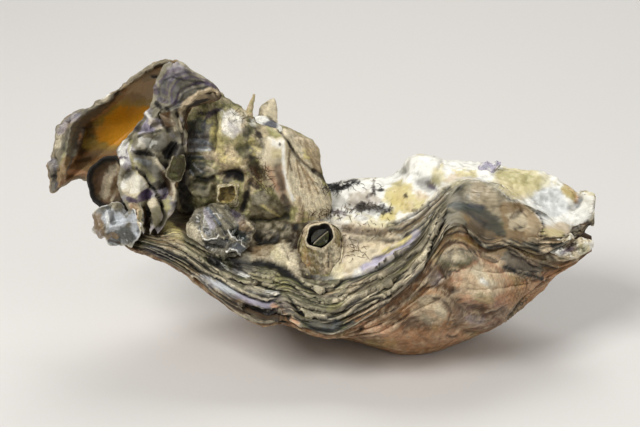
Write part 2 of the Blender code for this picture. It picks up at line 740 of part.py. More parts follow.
def build_chip(name, outline, location, elevation, thickness, colour):
    """Broken flake of shell with a rough face."""

    def front(a, b, s):
        return thickness * (0.5 + 0.25 * (1 - s)) + 0.5 * thickness * ripple(a, b, 6, 2.2)

    def back(a, b, s):
        return -thickness * 0.5

    middle = sum((Vector(p) for p in outline), Vector((0, 0))) / len(outline)
    thing = shell(name, outline, middle, (0.5, 1.0), front, back, 16)
    stand(thing, location, elevation)
    paint(thing, colour, 0.5)
    return thing


def build_large_barnacle():
    """Big barnacle, its wall drawn out downwards."""
    base = (
        (-6, -3), (-5, -8.5), (-2.5, -12.5), (0.5, -14.5), (3, -12), (5.5, -7.5), (6, -2), (5.5, 2.5),
        (2.5, 4.5), (-1.5, 5), (-4.5, 2.5),
    )
    thing = barnacle("large_barnacle", base, (0, 0), 3.4, BARNACLE_HEIGHT, 7, 24)
    stand(thing, BARNACLE_PLACE, BARNACLE_TILT)
    paint(thing, (0.5, 0.46, 0.36), 0.7)
    return thing


def build_barnacle_plates():
    """Two beaked plates that shut the large barnacle's mouth along a slanting slit."""
    plates = []
    for name, side in (("barnacle_plate_left", 1), ("barnacle_plate_right", -1)):
        outline = []
        for k in range(9):
            turn = math.pi * k / 8
            outline.append((PLATE_RADIUS * math.cos(turn), side * (0.28 + 1.75 * math.sin(turn))))
        if side < 0:
            outline.reverse()

        def front(a, b, s):
            return 1.5 - 0.55 * abs(b) + stepped(s, 2, 0.15)

        def back(a, b, s):
            return -PLATE_HEIGHT

        thing = shell(name, outline, (0.2, side * 1.0), (0.5, 1.0), front, back, 16)
        stand(thing, BARNACLE_PLACE, BARNACLE_TILT)
        thing.rotation_euler.rotate_axis("Z", math.radians(SLIT_ANGLE))
        tilt = math.radians(BARNACLE_TILT)
        lift = Vector((0, -math.cos(tilt), math.sin(tilt)))
        thing.location += lift * (BARNACLE_HEIGHT - BARNACLE_FLOOR + PLATE_HEIGHT + GAP) * MM
        paint(thing, (0.16, 0.14, 0.1), 0.5)
        plates.append(thing)
    return plates


def build_small_barnacle():
    """Small squarish barnacle on the lump."""
    base = ((-2.5, 2.5), (-2.5, -2.5), (0, -3), (2.5, -2.5), (3, 0), (2.5, 2.5), (0, 3))
    thing = barnacle("small_barnacle", base, (0, 0.3), 1.5, 3.4, 4, 12)
    stand(thing, (-26.2, -6, 50.7), 20, 0)
    paint(thing, (0.5, 0.47, 0.28), 0.7)
    return thing


def stand_on_origin():
    """Parent every piece to one empty that puts the whole box's bottom centre on the origin."""
    bpy.context.view_layer.update()
    pieces = [thing for thing in bpy.data.objects if thing.type == "MESH"]
    corners = [piece.matrix_world @ vertex.co for piece in pieces for vertex in piece.data.vertices]
    low = Vector([min(corner[k] for corner in corners) for k in range(3)])
    high = Vector([max(corner[k] for corner in corners) for k in range(3)])
    root = bpy.data.objects.new("pacific_oyster_root", None)
    bpy.context.collection.objects.link(root)
    root.location = (-(low.x + high.x) / 2, -(low.y + high.y) / 2, -low.z)
    for piece in pieces:
        piece.parent = root


def main():
    """Model every piece, seat it among its neighbours and centre the whole."""
    for thing in list(bpy.data.objects):
        bpy.data.objects.remove(thing)
    lower, upper = build_big_oyster()
    rounded = build_round_shell()
    knob = build_knob_oyster()
    fluted = build_fluted_valve()
    opened = build_open_valve()
    dark = build_dark_rimmed_valve()
    leaf = build_leaf_shell()
    pearly = build_pearly_shell()
    big_barnacle = build_large_barnacle()
    build_barnacle_plates()
    little_barnacle = build_small_barnacle()
    grey_chip = build_chip(
        "grey_chip",
        ((-3, 0), (-1, -2.5), (1, -1.5), (4, 1.5), (3, 2.5), (1, 2), (-0.5, 2.5), (-2.5, 1.5)),
        (50.9, 11, 51.5), 45, 1.6, (0.4, 0.4, 0.42),
    )
    end_chip = build_chip(
        "end_chip",
        ((-6.5, 1.5), (-6.5, -1), (-5, -2), (-1, -3), (2.5, -2.5), (6.5, 0), (6.5, 2), (3.5, 3), (1.5, 2.5),
         (-0.5, 4), (-2.5, 2.5), (-5, 2)),
        (75.2, -7, 33.3), 40, 3.0, (0.6, 0.56, 0.5),
    )
    seats = (
        (rounded, (upper,)),
        (knob, (upper, rounded)),
        (fluted, (upper, knob, rounded)),
        (opened, (upper, knob, fluted)),
        (dark, (upper, fluted, opened)),
        (leaf, (knob, fluted)),
        (pearly, (upper, lower, fluted, dark)),
        (big_barnacle, (upper,)),
        (little_barnacle, (knob,)),
        (grey_chip, (upper,)),
        (end_chip, (upper, lower)),
    )
    bpy.context.view_layer.update()
    cutters = {}
    for thing, neighbours in seats:
        for neighbour in neighbours:
            if neighbour.name not in cutters:
                cutters[neighbour.name] = grown_copy(neighbour)
    for thing, neighbours in seats:
        carve(thing, [cutters[neighbour.name] for neighbour in neighbours])
    for cutter in cutters.values():
        bpy.data.objects.remove(cutter)
    stand_on_origin()


main()
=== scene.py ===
"""Pacific oyster: the looks of the closed shell and of the shells and barnacles grown on it.

Every piece is modelled in millimetres round the shell's own long lines, sculpted with strokes laid
on a card that faces the viewer, tinted in layers, and put into the frame's place.
"""

import itertools
import json
import math

import bmesh
import bpy
import numpy as np
from bpy.props import FloatProperty, FloatVectorProperty, PointerProperty
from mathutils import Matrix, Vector
from mathutils.bvhtree import BVHTree

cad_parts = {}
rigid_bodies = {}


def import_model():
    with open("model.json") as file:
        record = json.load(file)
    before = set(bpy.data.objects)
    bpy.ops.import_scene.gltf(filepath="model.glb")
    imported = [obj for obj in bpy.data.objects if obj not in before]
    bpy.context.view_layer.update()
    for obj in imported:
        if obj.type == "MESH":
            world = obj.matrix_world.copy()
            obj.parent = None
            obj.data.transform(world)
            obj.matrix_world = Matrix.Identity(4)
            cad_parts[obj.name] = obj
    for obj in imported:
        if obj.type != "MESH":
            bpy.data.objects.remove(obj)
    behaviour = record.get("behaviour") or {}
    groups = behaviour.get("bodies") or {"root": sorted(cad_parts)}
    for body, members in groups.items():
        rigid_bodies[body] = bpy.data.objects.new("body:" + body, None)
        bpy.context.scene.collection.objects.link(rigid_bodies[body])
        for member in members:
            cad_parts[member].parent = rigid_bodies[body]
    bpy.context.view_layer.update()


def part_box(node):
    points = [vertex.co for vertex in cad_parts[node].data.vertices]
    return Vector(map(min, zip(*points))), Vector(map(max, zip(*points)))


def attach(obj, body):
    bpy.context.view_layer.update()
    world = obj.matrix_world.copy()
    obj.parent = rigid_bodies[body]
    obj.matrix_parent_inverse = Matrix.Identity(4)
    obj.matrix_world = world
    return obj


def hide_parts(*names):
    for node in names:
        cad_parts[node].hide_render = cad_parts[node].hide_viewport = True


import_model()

bl_info = {
    "name": "Pacific Oyster",
    "version": (1, 0, 0),
    "blender": (4, 5, 0),
    "location": "3D View > Sidebar > Oyster",
    "description": "Builds a wild oyster with the shells and barnacles grown on it",
    "category": "Add Mesh",
}

MM = 0.001
LEFT_END = -66.0
RIGHT_END = 82.0
FRAME_SHIFT = np.array((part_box("upper_valve")[0].x / MM - LEFT_END, 2.373, -0.8))
SEAM_ARCH = 2.5
GAP = 0.3

VIEW_TILT = math.radians(26)
VIEW_DISTANCE = 533.0
VIEW_TARGET = np.array((0.0, 0.0, 42.0))
VIEW_RIGHT = np.array((1.0, 0.0, 0.0))
VIEW_UP = np.array((0.0, math.sin(VIEW_TILT), math.cos(VIEW_TILT)))
VIEW_BACK = np.array((0.0, -math.cos(VIEW_TILT), math.sin(VIEW_TILT)))


# --- what a user may change ----------------------------------------------------------------------


def linear(colour):
    """Display colour from 0 to 255 as light."""
    share = np.asarray(colour, float) / 255
    return np.where(share <= 0.04045, share / 12.92, ((share + 0.055) / 1.055) ** 2.4)


def finish(name, description, red, green, blue):
    """Property for a finish, its default a display colour from 0 to 255."""
    default = tuple(float(value) for value in linear((red, green, blue)))
    return FloatVectorProperty(
        name=name, description=description, subtype="COLOR", size=3, min=0.0, max=1.0, default=default
    )


def millimetres(name, description, value):
    """Property for a length."""
    return FloatProperty(
        name=name, description=description, default=value * MM, min=0.0, precision=5, unit="LENGTH"
    )


def watts(name, description, value):
    """Property for a light's power."""
    return FloatProperty(name=name, description=description, default=value, min=0.0, unit="POWER")


class OysterFinishes(bpy.types.PropertyGroup):
    """Colours that the pieces are tinted with."""

    chalk: finish("Chalk", "Bleached shell", 238, 236, 226)
    # Bone is also laid as painted highlight on proud parts and free lips.
    bone: finish("Bone", "Worn edges of shell", 216, 203, 172)
    cream: finish("Cream", "Clean thick shell", 205, 184, 150)
    straw: finish("Straw", "Pale yellow stain", 206, 190, 116)
    mustard: finish("Mustard", "Golden stain", 176, 148, 62)
    ochre: finish("Ochre", "Rust inside the open valve", 224, 150, 18)
    lichen: finish("Lichen", "Yellow-green algae", 158, 152, 98)
    moss: finish("Moss", "Dark green algae", 80, 82, 44)
    olive: finish("Olive", "Olive mud film", 62, 55, 28)
    ash: finish("Ash", "Grey worn shell", 128, 122, 102)
    slate: finish("Slate", "Dark grey lamellae", 68, 67, 61)
    steel: finish("Steel", "Blue-grey shell", 124, 132, 140)
    indigo: finish("Indigo", "Blue-black bands", 58, 61, 76)
    teal: finish("Teal", "Green-black crust", 50, 62, 56)
    lavender: finish("Lavender", "Pale purple shell", 178, 172, 188)
    plum: finish("Plum", "Purple stripes", 74, 60, 84)
    taupe: finish("Taupe", "Grey-brown shell", 134, 110, 76)
    rose: finish("Rose", "Pinkish belly", 192, 144, 108)
    tan: finish("Tan", "Tan belly", 160, 114, 70)
    umber: finish("Umber", "Brown layers", 76, 52, 26)
    # Peat is also laid as painted shade in hollows, gaps and recesses.
    peat: finish("Peat", "Dark brown hollows", 48, 34, 18)
    # Ink is also laid as painted shadow in creases, gaps and recesses and under free edges.
    ink: finish("Ink", "Black creases and bands", 20, 17, 14)
    pearl: finish("Pearl", "Nacre", 196, 200, 204)


class OysterSizes(bpy.types.PropertyGroup):
    """Sizes of the relief and strength of the lights."""

    lamella_lift: millimetres("Lamella lift", "How far a lamella's free edge stands off the one below", 1.5)
    growth_step: millimetres("Growth step", "Spacing of the fine layers on the flat valve", 1.2)
    belly_step: millimetres("Belly step", "Spacing of the fine layers on the belly", 2.3)
    ledge_lift: millimetres("Ledge lift", "How far a belly ledge stands out", 0.9)
    open_depth: millimetres("Open valve depth", "Depth of the empty valve's hollow", 11.0)
    knob_bulge: millimetres("Knob bulge", "How far the knob swells towards the front", 7.5)
    fan_step: millimetres("Fan step", "Spacing of the ribs on the knob's fan", 1.5)
    barnacle_height: millimetres("Barnacle height", "Height of the large barnacle's wall", 4.6)
    thread_radius: millimetres("Thread radius", "Half the thickness of a thread", 0.09)
    key_power: watts("Key light", "Soft light from the left", 6.0)
    fill_power: watts("Fill light", "Soft light from the right", 1.5)
    top_power: watts("Top light", "Soft light from above", 3.4)
    surround: FloatProperty(name="Surround", description="Light from all round", default=0.24, min=0.0)


def measure(name):
    """A length of the sizes, in millimetres."""
    return getattr(bpy.context.scene.oyster_sizes, name) / MM


# --- the card, noise and small tools -------------------------------------------------------------


def card(points):
    """Across and up of each point on a card that faces the viewer through the middle of the shell."""
    away = points - VIEW_TARGET
    spread = VIEW_DISTANCE / (VIEW_DISTANCE - away @ VIEW_BACK)
    return np.stack([away @ VIEW_RIGHT * spread, away @ VIEW_UP * spread], -1)


def on_plane(across, along=0.0):
    """Points on the level plane."""
    return np.stack([across, across * 0 + along, across * 0], -1)


SEED_STEP = 17.31
CELL_KEYS = (73856093, 19349663, 83492791)
KEY_MIXES = ((13, 1274126177), (15, 2246822519))
KEY_BITS = 0xFFFFFFFF
SLOPE_SHIFTS = (5, 13, 21)


def grain(points, size, seed=0):
    """Smooth unevenness between about -1 and 1 at each point, its lumps about size millimetres across."""
    spot = np.asarray(points, float) / size + seed * SEED_STEP
    cell = np.floor(spot)
    part = spot - cell
    cell = cell.astype(np.int64)
    fade = part**3 * (part * (part * 6 - 15) + 10)
    total = np.zeros(spot.shape[:-1])
    for corner in itertools.product((0, 1), repeat=3):
        x, y, z = np.moveaxis((cell + corner) * CELL_KEYS, -1, 0)
        key = x ^ y ^ z
        for shift, mix in KEY_MIXES:
            key = ((key ^ (key >> shift)) * mix) & KEY_BITS
        slope = np.stack([(key >> shift & 255) / 127.5 - 1 for shift in SLOPE_SHIFTS], -1)
        weight = np.prod(np.where(corner, fade, 1 - fade), -1)
        total += weight * np.sum(slope * (part - corner), -1)
    return total * 1.5


def layered(points, size, octaves, seed=0, keep=0.55):
    """Unevenness with finer and finer detail."""
    total = 0.0
    for k in range(octaves):
        total = total + keep**k * grain(points, size / 2**k, seed + k)
    return total


def veins(points, size, octaves, seed=0):
    """Thin creases: 1 on a crease, falling to 0 beside it."""
    return 1 - np.clip(np.abs(layered(points, size, octaves, seed)) * 6, 0, 1)


def smooth(low, high, value):
    """0 below low, 1 above high, eased between."""
    t = np.clip((value - low) / (high - low), 0, 1)
    return t * t * (3 - 2 * t)


def saw(value):
    """Rise that jumps to 1 at each whole number and falls away to 0 before the next."""
    return (1 - value % 1.0) ** 1.5


def tone(name):
    """A finish as light."""
    return np.array(getattr(bpy.context.scene.oyster_finishes, name))


def plain_tint(name, points):
    """One finish at every point."""
    return np.broadcast_to(tone(name), points.shape).copy()


def dab(tint, name, cover):
    """Lay a finish over a tint with a cover from 0 to 1 at each point."""
    cover = np.clip(cover, 0, 1)[..., None]
    return tint * (1 - cover) + tone(name) * cover


def dappled(tint, points, share, *patches):
    """Tint after patches of (finish, cover, low, high, size, octaves, seed) where the noise is high."""
    for name, cover, low, high, *noise in patches:
        tint = dab(tint, name, cover * share * smooth(low, high, layered(points, *noise)))
    return tint


def reach_of(cards, path):
    """Distance of each place on the card from a path, the side it lies on and how far along."""
    path = np.array(path, float)
    if len(path) == 1:
        path = np.concatenate([path, path + 1e-3])
    nearest = np.full(cards.shape[:-1], 1e6)
    side, along = np.ones_like(nearest), np.zeros_like(nearest)
    for k, (start, end) in enumerate(zip(path, path[1:])):
        run, away = end - start, cards - start
        share = np.clip(away @ run / (run @ run), 0, 1)
        length = np.linalg.norm(away - share[..., None] * run, axis=-1)
        near = length < nearest
        nearest = np.where(near, length, nearest)
        side = np.where(near, np.sign(run[0] * away[..., 1] - run[1] * away[..., 0]), side)
        along = np.where(near, (k + share) / (len(path) - 1), along)
    return nearest, side, along


def patch_reach(cards, outline):
    """Distance of each place on the card from a closed outline, negative inside it."""
    nearest, _, _ = reach_of(cards, (*outline, outline[0]))
    inside = np.zeros(nearest.shape, bool)
    across, up = cards[..., 0], cards[..., 1]
    for (a, b), (c, d) in zip(outline, (*outline[1:], outline[0])):
        if b != d:
            inside ^= ((b > up) != (d > up)) & (across < (c - a) * (up - b) / (d - b) + a)
    return np.where(inside, -nearest, nearest)


def sculpted(points, normals, strokes):
    """Rise at each point from strokes of (height, width, place, place, ...) on the card."""
    cards = card(points)
    facing = smooth(-0.1, 0.35, normals @ VIEW_BACK)
    wander = 0.35 * grain(points, 4.0, 5) + 0.15 * grain(points, 1.3, 6)
    rise = np.zeros(points.shape[:-1])
    for height, width, *path in strokes:
        away = np.maximum(reach_of(cards, path)[0] + wander * min(width, 3), 0) / width
        rise += height * np.exp(-1.5 * away**2)
    return rise * facing


def edged(points, normals, edges):
    """Rise of free edges of (lift, width, place, ...), proud on the left; painted highlight on lips,
    painted shadow in creases.
    """
    cards = card(points)
    facing = smooth(-0.1, 0.3, normals @ VIEW_BACK)
    wander = 0.7 * grain(points, 7.0, 15) + 0.1 * grain(points, 2.5, 16)
    lift_share = 0.8 + 0.6 * grain(points, 7.0, 18)
    rise, pale, dark = (np.zeros(points.shape[:-1]) for _ in range(3))
    for lift, width, *path in edges:
        reach, side, along = reach_of(cards, path)
        signed = reach * side + wander * min(1.0, width / 2)
        strength = smooth(0.0, 0.1, along) * smooth(1.0, 0.9, along) * lift_share * facing
        proud = smooth(-0.2, 0.1, signed)
        above = proud * np.exp(-np.clip(signed, 0, None) / width)
        below = 0.45 * (1 - proud) * np.exp(np.clip(signed, None, 0) / 0.7)
        rise += lift * strength * (above - below)
        share = np.clip(strength * min(1.0, lift), 0, 1)
        # pale: painted highlight along each free lip; dark: painted shadow in the crease below it.
        pale = np.maximum(pale, share * proud * smooth(0.6, 0.15, signed))
        dark = np.maximum(dark, share * (1 - proud) * smooth(-1.0, -0.25, signed))
    return rise, pale, dark


def brushed(tint, points, normals, strokes, blur=0.35):
    """Tint after strokes of (finish, width, cover, place, ...) on the card; width 0 fills the outline."""
    cards = card(points)
    facing = smooth(-0.05, 0.25, normals @ VIEW_BACK)
    wander = layered(points, 3.0, 4, 8, 0.65)
    streaks = layered(points, 1.2, 3, 9, 0.65)
    for name, width, cover, *path in strokes:
        if width:
            away = reach_of(cards, path)[0] / width + 0.35 * wander + 0.15 * streaks
            share = 1 - smooth(0.6, 1.1, away)
        else:
            away = patch_reach(cards, path) + (0.3 + blur) * wander + 0.35 * streaks
            share = 1 - smooth(-blur, blur, away)
        tint = dab(tint, name, cover * facing * share)
    return tint


def covered(points, patches):
    """Share of each point inside any of the closed outlines on the card."""
    cards = card(points)
    wander = layered(points, 3.0, 3, 8)
    share = np.zeros(points.shape[:-1])
    for outline in patches:
        share = np.maximum(share, smooth(0.8, -0.8, patch_reach(cards, outline) + 0.6 * wander))
    return share


# --- grids ---------------------------------------------------------------------------------------


def grid_normals(grid, wrap):
    """Direction square to a grid of points, pointing away from its middle if it wraps round."""
    along = np.gradient(grid, axis=0)
    across = np.roll(grid, -1, 1) - np.roll(grid, 1, 1) if wrap else np.gradient(grid, axis=1)
    square = np.cross(along, across)
    square /= np.maximum(np.linalg.norm(square, axis=-1, keepdims=True), 1e-9)
    away = grid - grid.reshape(-1, 3).mean(0)
    if wrap and (square * away).sum() < 0:
        square = -square
    return square


def facing_out(grid, out):
    """Normals of an open grid, turned to the side that out points to."""
    normals = grid_normals(grid, False)
    return normals * np.sign((normals * out).sum(-1, keepdims=True))


def relaxed(field, wrap, times):
    """A grid's values after they have been averaged with their neighbours some times."""
    for _ in range(times):
        tall = np.concatenate([field[:1], field, field[-1:]])
        field = (tall[:-2] + 2 * field + tall[2:]) / 4
        if wrap:
            field = (np.roll(field, 1, 1) + 2 * field + np.roll(field, -1, 1)) / 4
        else:
            wide = np.concatenate([field[:, :1], field, field[:, -1:]], 1)
            field = (wide[:, :-2] + 2 * field + wide[:, 2:]) / 4
    return field


def painted_hollow_shade_and_ridge_highlight(tint, grid, normals, wrap, depth=1.0):
    """Painted shade: darken what lies in hollows; painted highlight: lighten what stands proud."""
    for times, size, dark, light in ((4, 0.2, 0.62, 0.16), (30, 0.5, 0.68, 0.12)):
        hollow = ((relaxed(grid, wrap, times) - grid) * normals).sum(-1) / size
        tint = tint * (1 - depth * dark * np.clip(hollow, 0, 1))[..., None]
        tint = dab(tint, "bone", depth * light * np.clip(-hollow, 0, 1))
    return tint


def ring_faces(rings, around):
    """Faces of closed rings with a hub before the first and after the last."""
    near = 1 + np.arange(around)
    beside = 1 + (np.arange(around) + 1) % around
    last, hub = (rings - 1) * around, 1 + rings * around
    faces = np.stack([near * 0, beside, near], -1).tolist()
    for k in range(rings - 1):
        low, high = k * around, (k + 1) * around
        faces += np.stack([near + low, beside + low, beside + high, near + high], -1).tolist()
    return faces + np.stack([near * 0 + hub, near + last, beside + last], -1).tolist()


def with_hubs(rings):
    """Values on rings, flattened, with the mean of the first and last ring at the two hubs."""
    flat = rings.reshape(-1, *rings.shape[2:])
    return np.concatenate([rings[0].mean(0)[None], flat, rings[-1].mean(0)[None]])


def grid_faces(rows, columns, first, flip):
    """Faces of an open grid whose first point has the given number."""
    faces = []
    for i in range(rows - 1):
        for j in range(columns - 1):
            a = first + i * columns + j
            quad = (a, a + 1, a + columns + 1, a + columns)
            faces.append(quad[::-1] if flip else quad)
    return faces


def border(rows, columns, first):
    """Numbers of the points round an open grid's edge, in order."""
    numbers = first + np.arange(rows * columns).reshape(rows, columns)
    sides = (numbers[0], numbers[1:, -1], numbers[-1, -2::-1], numbers[-2:0:-1, 0])
    return np.concatenate(sides).tolist()


def mesh_piece(name, points, faces, skin):
    """Object from points in millimetres, faces and a skin of values for each point."""
    data = bpy.data.meshes.new(name)
    data.from_pydata(((points + FRAME_SHIFT) * MM).tolist(), [], faces)
    mesh = bmesh.new()
    mesh.from_mesh(data)
    bmesh.ops.recalc_face_normals(mesh, faces=mesh.faces)
    mesh.to_mesh(data)
    mesh.free()
    for key, values in skin.items():
        if values.ndim == 2:
            layer = data.attributes.new(key, "FLOAT_COLOR", "POINT")
            light = np.concatenate([np.clip(values, 0, 1), np.ones((len(values), 1))], 1)
            layer.data.foreach_set("color", light.astype(np.float32).ravel())
        else:
            layer = data.attributes.new(key, "FLOAT", "POINT")
            layer.data.foreach_set("value", values.astype(np.float32))
    data.shade_smooth()
    thing = bpy.data.objects.new(name, data)
    bpy.context.scene.collection.objects.link(thing)
    return thing


def ringed_piece(name, rings, skin):
    """Object from closed rings."""
    skin = {key: with_hubs(values) for key, values in skin.items()}
    return mesh_piece(name, with_hubs(rings), ring_faces(*rings.shape[:2]), skin)


def sheet_piece(name, front, back, front_skin, back_skin):
    """Object from a front and a back grid joined round their edge."""
    rows, columns = front.shape[:2]
    count = rows * columns
    faces = grid_faces(rows, columns, 0, False) + grid_faces(rows, columns, count, True)
    near, far = border(rows, columns, 0), border(rows, columns, count)
    for k in range(len(near)):
        m = (k + 1) % len(near)
        faces.append((near[k], far[k], far[m], near[m]))
    points = np.concatenate([front.reshape(-1, 3), back.reshape(-1, 3)])
    skin = {}
    for key, values in front_skin.items():
        tail = values.shape[2:]
        skin[key] = np.concatenate([values.reshape(-1, *tail), back_skin[key].reshape(-1, *tail)])
    return mesh_piece(name, points, faces, skin)


def shell_skin(tint, growth, layers, gloss, calm=0.0):
    """Skin of a shell, single values spread over its points."""
    shape = tint.shape[:-1]
    skin = {"tint": tint}
    for key, values in (("growth", growth), ("layers", layers), ("gloss", gloss), ("calm", calm)):
        skin[key] = np.broadcast_to(values, shape).copy()
    return skin


def settle(thing, node, material):
    """Finish a piece: its material, the node it stands for and its body."""
    thing.data.materials.append(material)
    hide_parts(node)
    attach(thing, "root")


# --- materials -----------------------------------------------------------------------------------


def shell_material(
    name, mottle, contrast, lines, line_cut, rough=0.72, coat=0.0, bump=0.8, drawn=3.0
):
    """Shell: its own tint mottled and specked, fine growth lines, and roughness that follows its gloss."""
    material = bpy.data.materials.new(name)
    material.use_nodes = True
    tree = material.node_tree
    nodes, links = tree.nodes, tree.links
    shader = nodes["Principled BSDF"]
    shader.inputs["Coat Weight"].default_value = coat
    shader.inputs["Coat Roughness"].default_value = 0.15
    shader.inputs["Specular IOR Level"].default_value = 0.4

    def attribute(key):
        node = nodes.new("ShaderNodeAttribute")
        node.attribute_name = key
        return node

    def noise(size, detail, spot, warp=0.0):
        node = nodes.new("ShaderNodeTexNoise")
        node.inputs["Scale"].default_value = 1 / (size * MM)
        node.inputs["Detail"].default_value = detail
        node.inputs["Roughness"].default_value = 0.6
        node.inputs["Distortion"].default_value = warp
        links.new(spot, node.inputs["Vector"])
        return node.outputs["Fac"]

    def maths(kind, first, second=0.0, clamp=False):
        node = nodes.new("ShaderNodeMath")
        node.operation = kind
        node.use_clamp = clamp
        for socket, value in zip(node.inputs, (first, second)):
            if isinstance(value, (int, float)):
                socket.default_value = value
            else:
                links.new(value, socket)
        return node.outputs[0]

    def spread(value, low, high, to_low, to_high):
        node = nodes.new("ShaderNodeMapRange")
        node.interpolation_type = "SMOOTHSTEP"
        links.new(value, node.inputs["Value"])
        for key, amount in (("From Min", low), ("From Max", high), ("To Min", to_low), ("To Max", to_high)):
            node.inputs[key].default_value = amount
        return node.outputs["Result"]

    place = nodes.new("ShaderNodeTexCoord").outputs["Object"]
    shift = nodes.new("ShaderNodeCombineXYZ")
    across_layers = maths("MULTIPLY", attribute("growth").outputs["Fac"], drawn * MM)
    links.new(maths("MULTIPLY", across_layers, attribute("layers").outputs["Fac"]), shift.inputs["Z"])
    drawn_place = nodes.new("ShaderNodeVectorMath")
    links.new(place, drawn_place.inputs[0])
    links.new(shift.outputs["Vector"], drawn_place.inputs[1])
    along_layers = drawn_place.outputs["Vector"]
    broad = noise(mottle, 8, along_layers, 0.3)
    fine = noise(mottle / 4, 6, along_layers, 0.4)
    dust = noise(0.16, 2, place)
    growth = maths("ADD", attribute("growth").outputs["Fac"], maths("MULTIPLY", fine, lines * 0.9))
    wave = maths("SINE", maths("MULTIPLY", growth, 2 * math.pi / lines))
    wave = maths("ADD", wave, maths("SINE", maths("MULTIPLY", growth, 2 * math.pi / (lines * 2.7))))
    layers = attribute("layers").outputs["Fac"]
    cut = maths("MULTIPLY", maths("MULTIPLY", wave, layers), line_cut)
    shade = maths("MULTIPLY", spread(broad, 0.32, 0.68, 1 - contrast, 1 + contrast),
                  spread(fine, 0.32, 0.66, 1 - contrast * 0.9, 1 + contrast * 0.6))
    shade = maths("MULTIPLY", shade, spread(dust, 0.28, 0.42, 0.72, 1.0))
    restless = maths("SUBTRACT", 1.0, attribute("calm").outputs["Fac"])
    shade = maths("ADD", maths("MULTIPLY", maths("SUBTRACT", shade, 1.0), restless), 1.0)
    shade = maths("MULTIPLY", shade, maths("ADD", cut, 1.0))
    stain = nodes.new("ShaderNodeVectorMath")
    stain.operation = "SCALE"
    links.new(attribute("tint").outputs["Color"], stain.inputs[0])
    links.new(shade, stain.inputs["Scale"])
    links.new(stain.outputs["Vector"], shader.inputs["Base Color"])
    gloss = spread(attribute("gloss").outputs["Fac"], 0.0, 1.0, rough, 0.2)
    links.new(maths("ADD", gloss, spread(fine, 0.2, 0.8, -0.08, 0.12), True), shader.inputs["Roughness"])
    relief = maths("MULTIPLY", maths("ADD", fine, maths("MULTIPLY", dust, 0.35)), restless)
    relief = maths("ADD", relief, maths("MULTIPLY", maths("MULTIPLY", wave, layers), 0.35))
    raised = nodes.new("ShaderNodeBump")
    raised.inputs["Strength"].default_value = bump
    raised.inputs["Distance"].default_value = 0.25 * MM
    links.new(relief, raised.inputs["Height"])
    links.new(raised.outputs["Normal"], shader.inputs["Normal"])
    return material


# --- the closed oyster ---------------------------------------------------------------------------

# Long lines from the left end to the right end, as (x, y, z).
FRONT_MARGIN = (
    (-66, -2, 42), (-61, -10, 40.5), (-56, -16, 39), (-49, -20, 38.7), (-40, -24, 35.5), (-33, -27, 31.2),
    (-23, -30, 24.3), (-16, -31, 21.6), (-10, -31, 22.9), (-5, -32, 21), (3, -32, 18.8), (9, -31.5, 21),
    (20, -31, 29), (28, -29, 36), (33, -25, 42), (37, -20, 46), (41, -18, 46.6), (46, -18, 41),
    (50, -18, 39.2), (55, -17, 39.9), (59, -16, 38), (65, -14, 35.5), (75, -8, 33), (82, -1.5, 31.5),
)
BROW = (
    (-66, 0, 43), (-50, -14, 42.2), (-41, -16, 42.8), (-33, -17, 40.1), (-23, -20, 36), (-12, -22, 32.8),
    (0, -23, 30.7), (7, -23, 31.4), (17, -22, 34.5), (26, -19, 41.1), (32, -14, 46.1), (37, -9, 50.1),
    (41, -4, 52.6), (46, -5, 54.6), (53, -6, 52.9), (59, -7, 48.8), (66, -8, 46), (70, -9, 42.5),
    (75, -7, 39.5), (82, -2, 41),
)
DECK = (
    (-66, 1, 43.5), (-50, -4, 44), (-35, -6, 43.5), (-18, -6, 42.5), (0, -2, 44), (15, -4, 43.3),
    (27, -5, 44.8), (33, -4, 47), (41, 1, 51.2), (53, 1, 50.5), (66, 0, 46.2), (75, 0, 42.5),
    (82, 0, 44.5),
)
REAR_EDGE = (
    (-66, 2, 43.5), (-50, 10, 43), (-35, 15, 43), (-18, 17, 44), (0, 15, 45), (9, 14, 45.6), (17, 15, 46),
    (24, 16, 48.3), (27, 18, 51.8), (31, 19, 52.7), (40, 18, 51.5), (52, 17, 51), (61, 15, 49.7),
    (71, 11, 49.2), (77, 7, 45.5), (80, 3, 47), (82, 1.5, 47),
)
REAR_MARGIN = (
    (-66, 3, 42), (-50, 13, 38), (-35, 19, 36), (-18, 21, 35), (0, 19, 37), (15, 19, 39), (26, 21, 42),
    (40, 21, 43), (52, 20, 42), (61, 18, 40), (71, 14, 37), (77, 9, 34), (82, 2.5, 32),
)
BELLY = (
    (-66, -1, 41), (-50, -14, 36.2), (-40, -18, 32.8), (-30, -22, 26.3), (-20, -24, 20), (-10, -24, 18.5),
    (0, -24, 15), (9, -27, 15.5), (20, -30, 19), (28, -30, 24), (35, -31, 27), (46, -29, 29),
    (55, -25, 28), (61, -20, 27), (68, -14, 27), (75, -7.5, 28.5), (82, -1, 30.5),
)
KEEL = (
    (-66, 1, 40.5), (-50, -2, 31.5), (-40, -2, 26.5), (-30, 0, 18), (-20, 3, 9.5), (-10, 8, 2),
    (0, 9, -1.6), (10, 5, -1.8), (18, -2, -1.8), (25, -7, -2.2), (33, -6.5, -2), (40, -5, 0), (48, -5, 4),
    (57, -8, 10), (62.5, -8, 17), (68.5, -6, 22.5), (74, -3, 27), (82, 0.5, 30),
)
REAR_BELLY = (
    (-66, 2.5, 41), (-50, 10, 33), (-30, 19, 23), (-10, 25, 14), (10, 27, 12), (30, 27, 13), (45, 23, 18),
    (60, 17, 25), (70, 11, 30), (77, 7, 31), (82, 2, 31),
)
GAPE = ((64, 0), (70, 2.5), (76, 5.5), (82, 8.5))
LAMELLA_STEP = ((38, 0.3), (43, 1.8), (66, 1.8), (71, 0.3))
